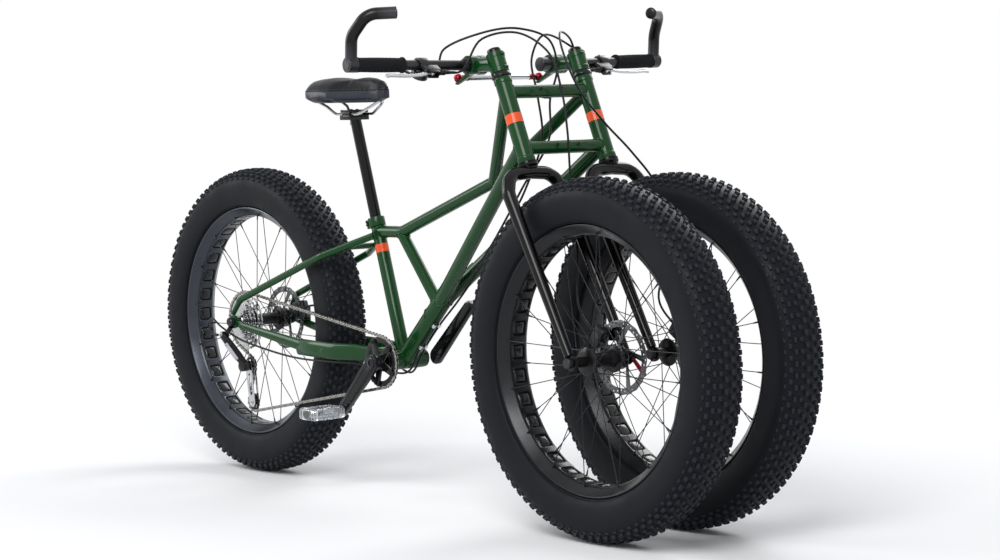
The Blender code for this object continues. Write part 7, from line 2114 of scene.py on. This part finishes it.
@dataclass
class Saddle:
    """A wide stuffed saddle: pebbled top, smooth side panels, piping and stitching."""

    length: float = 0.262
    clamp_level: float = 0.607
    clamp_ahead_of_rear: float = 0.128
    voxel: float = 0.0045
    panel_share: float = 0.45
    piping_radius: float = 0.0013
    stitch_lift: float = 0.052
    drawn_in: float = 0.0025
    pressure: float = 4.0
    frames: int = 20
    reach: float = 0.007

    def build(self) -> None:
        """Hands over the cushion, its piping and its stitching."""
        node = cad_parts["saddle"]
        cushion = refined("saddle", 0.0)
        modified(cushion, "REMESH", mode="VOXEL", voxel_size=self.voxel, use_smooth_shade=True)
        box = [node.matrix_world @ Vector(corner) for corner in node.bound_box]
        low, high = min(c.z for c in box), max(c.z for c in box)
        self.stuffed(cushion)
        modified(cushion, "SUBSURF", levels=1, render_levels=1)
        cushion.data.materials.clear()
        for finish in (VINYL, SIDE_VINYL):
            cushion.data.materials.append(finish.material())
        split = low + (high - low) * self.panel_share
        for face in cushion.data.polygons:
            face.material_index = 1 if face.center.z < split else 0
            face.use_smooth = True
        hand_over(cushion, "stuffed_saddle_cushion", "seat", ["saddle"])
        piping = tube(self.girth(cushion, split), self.piping_radius, 10, closed=True)
        hand_over(finished(piping, VINYL), "saddle_piping", "seat")
        stitches = []
        for lift in (self.stitch_lift, -self.stitch_lift):
            line = self.girth(cushion, split + (high - low) * lift)
            stitches += [rod(a, a.lerp(b, 0.9), 0.0006, sides=6) for a, b in list(zip(line, line[1:]))[::2]]
        hand_over(finished(joined(stitches), THREAD), "saddle_stitching", "seat")

    def stuffed(self, cushion: bpy.types.Object) -> None:
        """Lets cloth under pressure take the foam's shape, drawn in a little first.

        Args:
            cushion: The cushion, whose mesh becomes the settled cloth.
        """
        start = [vertex.co.copy() for vertex in cushion.data.vertices]
        for vertex in cushion.data.vertices:
            vertex.co -= vertex.normal * self.drawn_in
        cloth = cushion.modifiers.new("Cloth", "CLOTH")
        cloth.settings.use_pressure = True
        cloth.settings.uniform_pressure_force = self.pressure
        cloth.settings.effector_weights.gravity = 0.0
        cloth.settings.quality = 6
        cloth.point_cache.frame_start, cloth.point_cache.frame_end = 1, self.frames
        scene = bpy.context.scene
        for step in range(1, self.frames + 1):
            scene.frame_set(step)
            bpy.context.view_layer.update()
        only(cushion)
        bpy.ops.object.modifier_apply(modifier=cloth.name)
        scene.frame_set(1)
        for vertex, before in zip(cushion.data.vertices, start):
            move = vertex.co - before
            if move.length > self.reach:
                vertex.co = before + move * (self.reach / move.length)

    def girth(self, cushion: bpy.types.Object, level: float) -> list[Vector]:
        """Points round the cushion's skin, each where a ray from outside meets it.

        Args:
            cushion: The cushion.
            level: Their height above the floor.

        Returns:
            The points, in order round the cushion.
        """
        rear = up_seat_tube(self.clamp_level).x - self.clamp_ahead_of_rear
        middle = Vector((rear + self.length * 0.42, 0, level))
        points = []
        for i in range(144):
            turn = 2 * math.pi * i / 144
            ray = Vector((math.cos(turn), math.sin(turn), 0))
            hit, point, _, _ = cushion.ray_cast(middle + ray * 0.3, -ray)
            if hit:
                points.append(point)
        return points


@dataclass
class Cables:
    """The black housings with their ferrules, and the clips that hold them."""

    radius: float = 0.0025
    per_span: int = 10
    clip_shares: tuple[float, float] = (0.35, 0.70)

    def under(self, share: float, lateral: float) -> Vector:
        """A point beneath the down tube, at a share of its run from the cranks."""
        along, below = heading(math.pi / 4), heading(-math.pi / 4)
        return CRANK_AXIS + along * DOWN_TUBE_LENGTH * share + below * 0.0253 + Y * lateral

    def front(self, side: Side) -> tuple[list[Vector], int]:
        """A front brake cable's points, and the number of the one on the frame's side.

        Args:
            side: Which cable.

        Returns:
            The points from its lever to its caliper, and that number.
        """
        s = side.value
        _, _, _, out = Cockpit(side).control_axes()
        mouth = Cockpit(side).cable_mouth()
        end, outward = self.caliper_end(side.axle, FRONT_CALIPER)
        loop = ((0.350, s * 0.128, 1.064), (0.392, s * 0.062, 1.076), (0.445, s * 0.022, 1.034))
        lower = {
            Side.RIGHT: (
                (0.479, -0.014, 0.950), (0.498, -0.016, 0.860), (0.503, -0.0145, 0.760),
                (0.517, -0.0175, 0.680), (0.543, -0.034, 0.600),
            ),
            Side.LEFT: (
                (0.483, 0.034, 0.950), (0.508, 0.080, 0.880), (0.534, 0.140, 0.810),
                (0.551, 0.196, 0.735), (0.552, 0.220, 0.670), (0.568, 0.216, 0.600),
            ),
        }[side]
        points = [mouth, mouth - out * 0.020, *map(Vector, loop), *map(Vector, lower)]
        points += [end + outward * 0.060 + Vector((-0.004, 0.008, 0.010)), end + outward * 0.012, end]
        return points, 5

    def caliper_end(self, axle: Vector, spot: tuple[float, float]) -> tuple[Vector, Vector]:
        """Where a brake cable ends on its caliper, and its direction out of it."""
        caliper, outward = caliper_spot(axle, *spot)
        return caliper + outward * 0.0156 - Y * 0.006, outward

    def along_down_tube(self, lateral: float, last_lateral: float) -> list[Vector]:
        """Points from above the down tube's end, then beneath it to the cranks."""
        first = self.under(1.12, lateral) + Vector((0.004, 0, -0.004))
        return [first, *(self.under(share, last_lateral) for share in reversed(self.clip_shares))]

    def rear_brake(self) -> list[Vector]:
        """The rear brake cable's points from its lever to its caliper."""
        _, _, _, out = Cockpit(Side.LEFT).control_axes()
        mouth = Cockpit(Side.LEFT).cable_mouth() + SECOND_MOUTH
        end, outward = self.caliper_end(REAR_AXLE, REAR_CALIPER)
        middle = (
            (0.337, 0.160, 1.034), (0.332, 0.124, 1.058), (0.338, 0.060, 1.072), (0.352, 0.012, 1.020),
            (0.376, 0.006, 0.940), (0.385, 0.010, 0.850), (0.330, 0.010, 0.740), (0.200, 0.010, 0.590),
        )
        stays = (
            (-0.105, 0.012, 0.291), (-0.155, 0.026, 0.291), (-0.225, 0.058, 0.3065), (-0.315, 0.0795, 0.3085),
            (-0.430, 0.0875, 0.3125), (-0.495, 0.0955, 0.3425), (-0.535, 0.0835, 0.415),
        )
        beneath = self.along_down_tube(0.010, 0.008)
        points = [mouth, mouth - out * 0.016, *map(Vector, middle), *beneath, *map(Vector, stays)]
        return points + [end + outward * 0.030, end + outward * 0.008, end]

    def shift(self) -> list[Vector]:
        """The shift cable's points from its trigger to the derailleur."""
        origin, _, square, out = Cockpit(Side.RIGHT).control_axes()
        down = square if square.z < 0 else -square
        start = origin - out * 0.004 + down * 0.0285 - down * 0.0064 - out * 0.0204
        middle = (
            (0.265, -0.165, 1.045), (0.305, -0.110, 1.074), (0.362, -0.030, 1.086), (0.392, 0.030, 1.060),
            (0.398, 0.046, 1.000), (0.384, 0.036, 0.930), (0.392, 0.026, 0.850), (0.338, -0.010, 0.736),
            (0.206, -0.010, 0.584),
        )
        stays = (
            (-0.105, -0.006, 0.291), (-0.155, -0.018, 0.291), (-0.225, -0.052, 0.3065),
            (-0.315, -0.0755, 0.3085), (-0.450, -0.0855, 0.3115), (-0.560, -0.0975, 0.327),
            (-0.660, -0.112, 0.351), (-0.710, -0.122, 0.375), (-0.750, -0.122, 0.393),
            (-0.778, -0.114, 0.373), (-0.762, -0.112, 0.352), (-0.739, -0.112, 0.351),
        )
        beneath = self.along_down_tube(-0.010, -0.008)
        return [start, start - out * 0.014, *map(Vector, middle), *beneath, *map(Vector, stays)]

    def piece(
        self,
        line: Sequence[Vector],
        name: str,
        ferrules: Sequence[int],
        stands_for: Sequence[str],
        body: str = "",
    ) -> bpy.types.Object:
        """One length of housing, with ferrules at the ends that are named.

        Args:
            line: Its centre line.
            name: Its name.
            ferrules: 0 for one at its start, -1 for one at its end.
            stands_for: The CAD nodes it replaces.
            body: The body it rides on, or nothing to leave it on no body.

        Returns:
            The piece.
        """
        pieces = [tube(line, self.radius, 12)]
        for end in ferrules:
            run = (line[1] - line[0] if end == 0 else line[-2] - line[-1]).normalized()
            near, far = line[end] + run * 0.0005, line[end] + run * 0.0130
            pieces.append(rod(near, far, 0.0033, sides=16, edge=0.0003))
        obj = finished(joined(pieces), HOUSING, 50)
        return hand_over(obj, name, body, stands_for, moves=bool(body))

    def build(self) -> None:
        """Hands over all four cables, each cut in two where it crosses a steering joint."""
        for side in Side:
            points, number = self.front(side)
            line, shared = flowing(points, self.per_span), number * self.per_span
            node = f"front_brake_cable_{side.word}"
            upper = self.piece(line[: shared + 1], f"{node}_upper", (0,), [node])
            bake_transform(upper)
            lower = self.piece(line[shared:], f"{node}_lower", (-1,), [])
            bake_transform(lower)
        routes = (
            ("shift_cable", self.shift(), Side.RIGHT.body),
            ("rear_brake_cable", self.rear_brake(), Side.LEFT.body),
        )
        for name, points, body in routes:
            line, shared = flowing(points, self.per_span), 7 * self.per_span
            upper = self.piece(line[: shared + 1], f"{name}_upper", (0,), [name])
            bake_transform(upper)
            self.piece(line[shared:], f"{name}_lower", (-1,), [], "frame")
        clip = [(0.0026, -0.005), (0.0042, -0.005), (0.0046, 0.0), (0.0042, 0.005), (0.0026, 0.005)]
        along = Vector((1, 0, 1)).normalized()
        clips = []
        for share in self.clip_shares:
            for lateral in (-0.008, 0.008):
                clips.append(lathe(clip, self.under(share, lateral), along, 20))
        hand_over(finished(joined(clips), ALLOY), "cable_clips", "frame")


# The studio


@dataclass
class Studio:
    """Floor, lamps, world and the camera at the photograph's place."""

    camera_at: tuple[float, float, float] = (4.6245, -3.6743, 0.9552)
    yaw: float = math.radians(140.0324)
    pitch: float = math.radians(-4.2990)
    roll: float = math.radians(-1.2805)
    lens: float = 91.5674

    def seen_rays(self, tree: bpy.types.NodeTree) -> bpy.types.NodeSocket:
        """Adds what tells the rays of the camera, of glass and of mirrors from the rest.

        Args:
            tree: The node tree of the floor's material or the world.

        Returns:
            An output that is 1 for those rays.
        """
        rays = add_node(tree, "ShaderNodeLightPath")
        seen = rays.outputs["Is Camera Ray"]
        for kind in ("Is Transmission Ray", "Is Glossy Ray"):
            either = add_node(tree, "ShaderNodeMath", {0: seen, 1: rays.outputs[kind]}, operation="MAXIMUM")
            seen = either.outputs[0]
        return seen

    def floor(self) -> None:
        """A wide pale floor, white to the camera and to mirrors where nothing shades it."""
        bpy.ops.mesh.primitive_plane_add(size=60, location=(0, 0, -0.0005))
        plane = bpy.context.object
        plane.name = "studio_floor"
        material = bpy.data.materials.new("matt_studio_floor")
        material.use_nodes = True
        shader = material.node_tree.nodes["Principled BSDF"]
        shader.inputs["Base Color"].default_value = linear("#f4f4f5")
        shader.inputs["Roughness"].default_value = 0.85
        shader.inputs["Specular IOR Level"].default_value = 0.15
        tree = material.node_tree
        place = add_node(tree, "ShaderNodeTexCoord").outputs["Object"]
        away = add_node(tree, "ShaderNodeVectorMath", {0: place}, operation="LENGTH").outputs["Value"]
        fade = {0: away, 1: 1.1, 2: 2.4, 3: 0.0, 4: 1.0}
        far = add_node(tree, "ShaderNodeMapRange", fade, interpolation_type="SMOOTHSTEP").outputs[0]
        seen = self.seen_rays(tree)
        share = add_node(tree, "ShaderNodeMath", {0: seen, 1: far}, operation="MULTIPLY").outputs[0]
        white = add_node(tree, "ShaderNodeEmission", {"Color": (1, 1, 1, 1), "Strength": 1.0}).outputs[0]
        mix = add_node(tree, "ShaderNodeMixShader", {0: share, 1: shader.outputs[0], 2: white})
        tree.links.new(mix.outputs[0], tree.nodes["Material Output"].inputs["Surface"])
        plane.data.materials.append(material)

    def world(self) -> None:
        """White to the camera and in reflections, softer as a light."""
        world = bpy.data.worlds.new("pale_studio")
        bpy.context.scene.world = world
        world.use_nodes = True
        tree = world.node_tree
        tree.nodes.clear()
        seen = self.seen_rays(tree)
        light = add_node(tree, "ShaderNodeBackground", {"Color": linear("#eef1f5"), "Strength": 0.55})
        white = add_node(tree, "ShaderNodeBackground", {"Color": (1, 1, 1, 1), "Strength": 1.0})
        mix = add_node(tree, "ShaderNodeMixShader", {0: seen, 1: light.outputs[0], 2: white.outputs[0]})
        add_node(tree, "ShaderNodeOutputWorld", {"Surface": mix.outputs[0]})

    def lamp(self, name: str, at: Sequence[float], size: float, power: float) -> None:
        """Adds a soft square lamp that faces the tricycle.

        Args:
            name: Its name.
            at: Where it is.
            size: The length of its side.
            power: Its power in watts.
        """
        bpy.ops.object.light_add(type="AREA", location=at)
        lamp = bpy.context.object
        lamp.name = name
        lamp.data.size = size
        lamp.data.energy = power
        lamp.rotation_euler = (Vector((0, 0, 0.5)) - Vector(at)).to_track_quat("-Z", "Y").to_euler()

    def camera(self) -> None:
        """The camera as it was fitted in the photograph."""
        level = math.cos(self.pitch)
        ahead = Vector((level * math.cos(self.yaw), level * math.sin(self.yaw), math.sin(self.pitch)))
        right = ahead.cross(Z).normalized()
        up = right.cross(ahead)
        rolled = right * math.cos(self.roll) + up * math.sin(self.roll)
        upright = up * math.cos(self.roll) - right * math.sin(self.roll)
        data = bpy.data.cameras.new("photo_camera")
        data.lens = self.lens
        data.sensor_width = 36.0
        data.clip_end = 200.0
        camera = bpy.data.objects.new("photo_camera", data)
        bpy.context.scene.collection.objects.link(camera)
        turn = Matrix((rolled, upright, -ahead)).transposed().to_4x4()
        camera.matrix_world = Matrix.Translation(self.camera_at) @ turn
        bpy.context.scene.camera = camera

    def build(self) -> None:
        """Sets the whole stage."""
        bpy.context.scene.view_settings.view_transform = "Standard"
        self.floor()
        self.world()
        self.lamp("key_lamp", (2.6, -3.2, 3.6), 2.4, 150)
        self.lamp("side_lamp", (-3.4, -2.6, 2.4), 2.0, 70)
        self.lamp("back_lamp", (-1.0, 3.6, 3.2), 2.4, 90)
        self.camera()


def note_sizes() -> None:
    """Brings the view layer up to date."""
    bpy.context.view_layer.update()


def main() -> None:
    """Builds every sub-assembly in order and reports each piece."""
    bpy.ops.object.select_all(action="DESELECT")
    tyre = Tyre().build()
    rim_builder = Rim()
    rim = rim_builder.build(BLACK_RIM)
    strip = rim_builder.strip()
    rear = Wheel("rear", "rear_wheel", REAR_AXLE, half_hub=0.085, flange_left=0.048, flange_right=-0.036)
    rear.build(tyre, rim, strip, GREY_RIM)
    for side in Side:
        front = Wheel(
            f"front_{side.word}", f"{side.word}_wheel", side.axle,
            half_hub=0.075, flange_left=0.038, flange_right=-0.038,
        )
        front.build(tyre, rim, strip, BLACK_RIM)
    for master in (tyre, rim, strip):
        bpy.data.objects.remove(master)
    MainFrame().build()
    RearStays().build()
    for side in Side:
        Fork(side).build()
        Cockpit(side).build()
    TieRod().build()
    Drive().build()
    Fittings().build()
    Saddle().build()
    Cables().build()
    Studio().build()
    note_sizes()


if __name__ == "__main__":
    main()
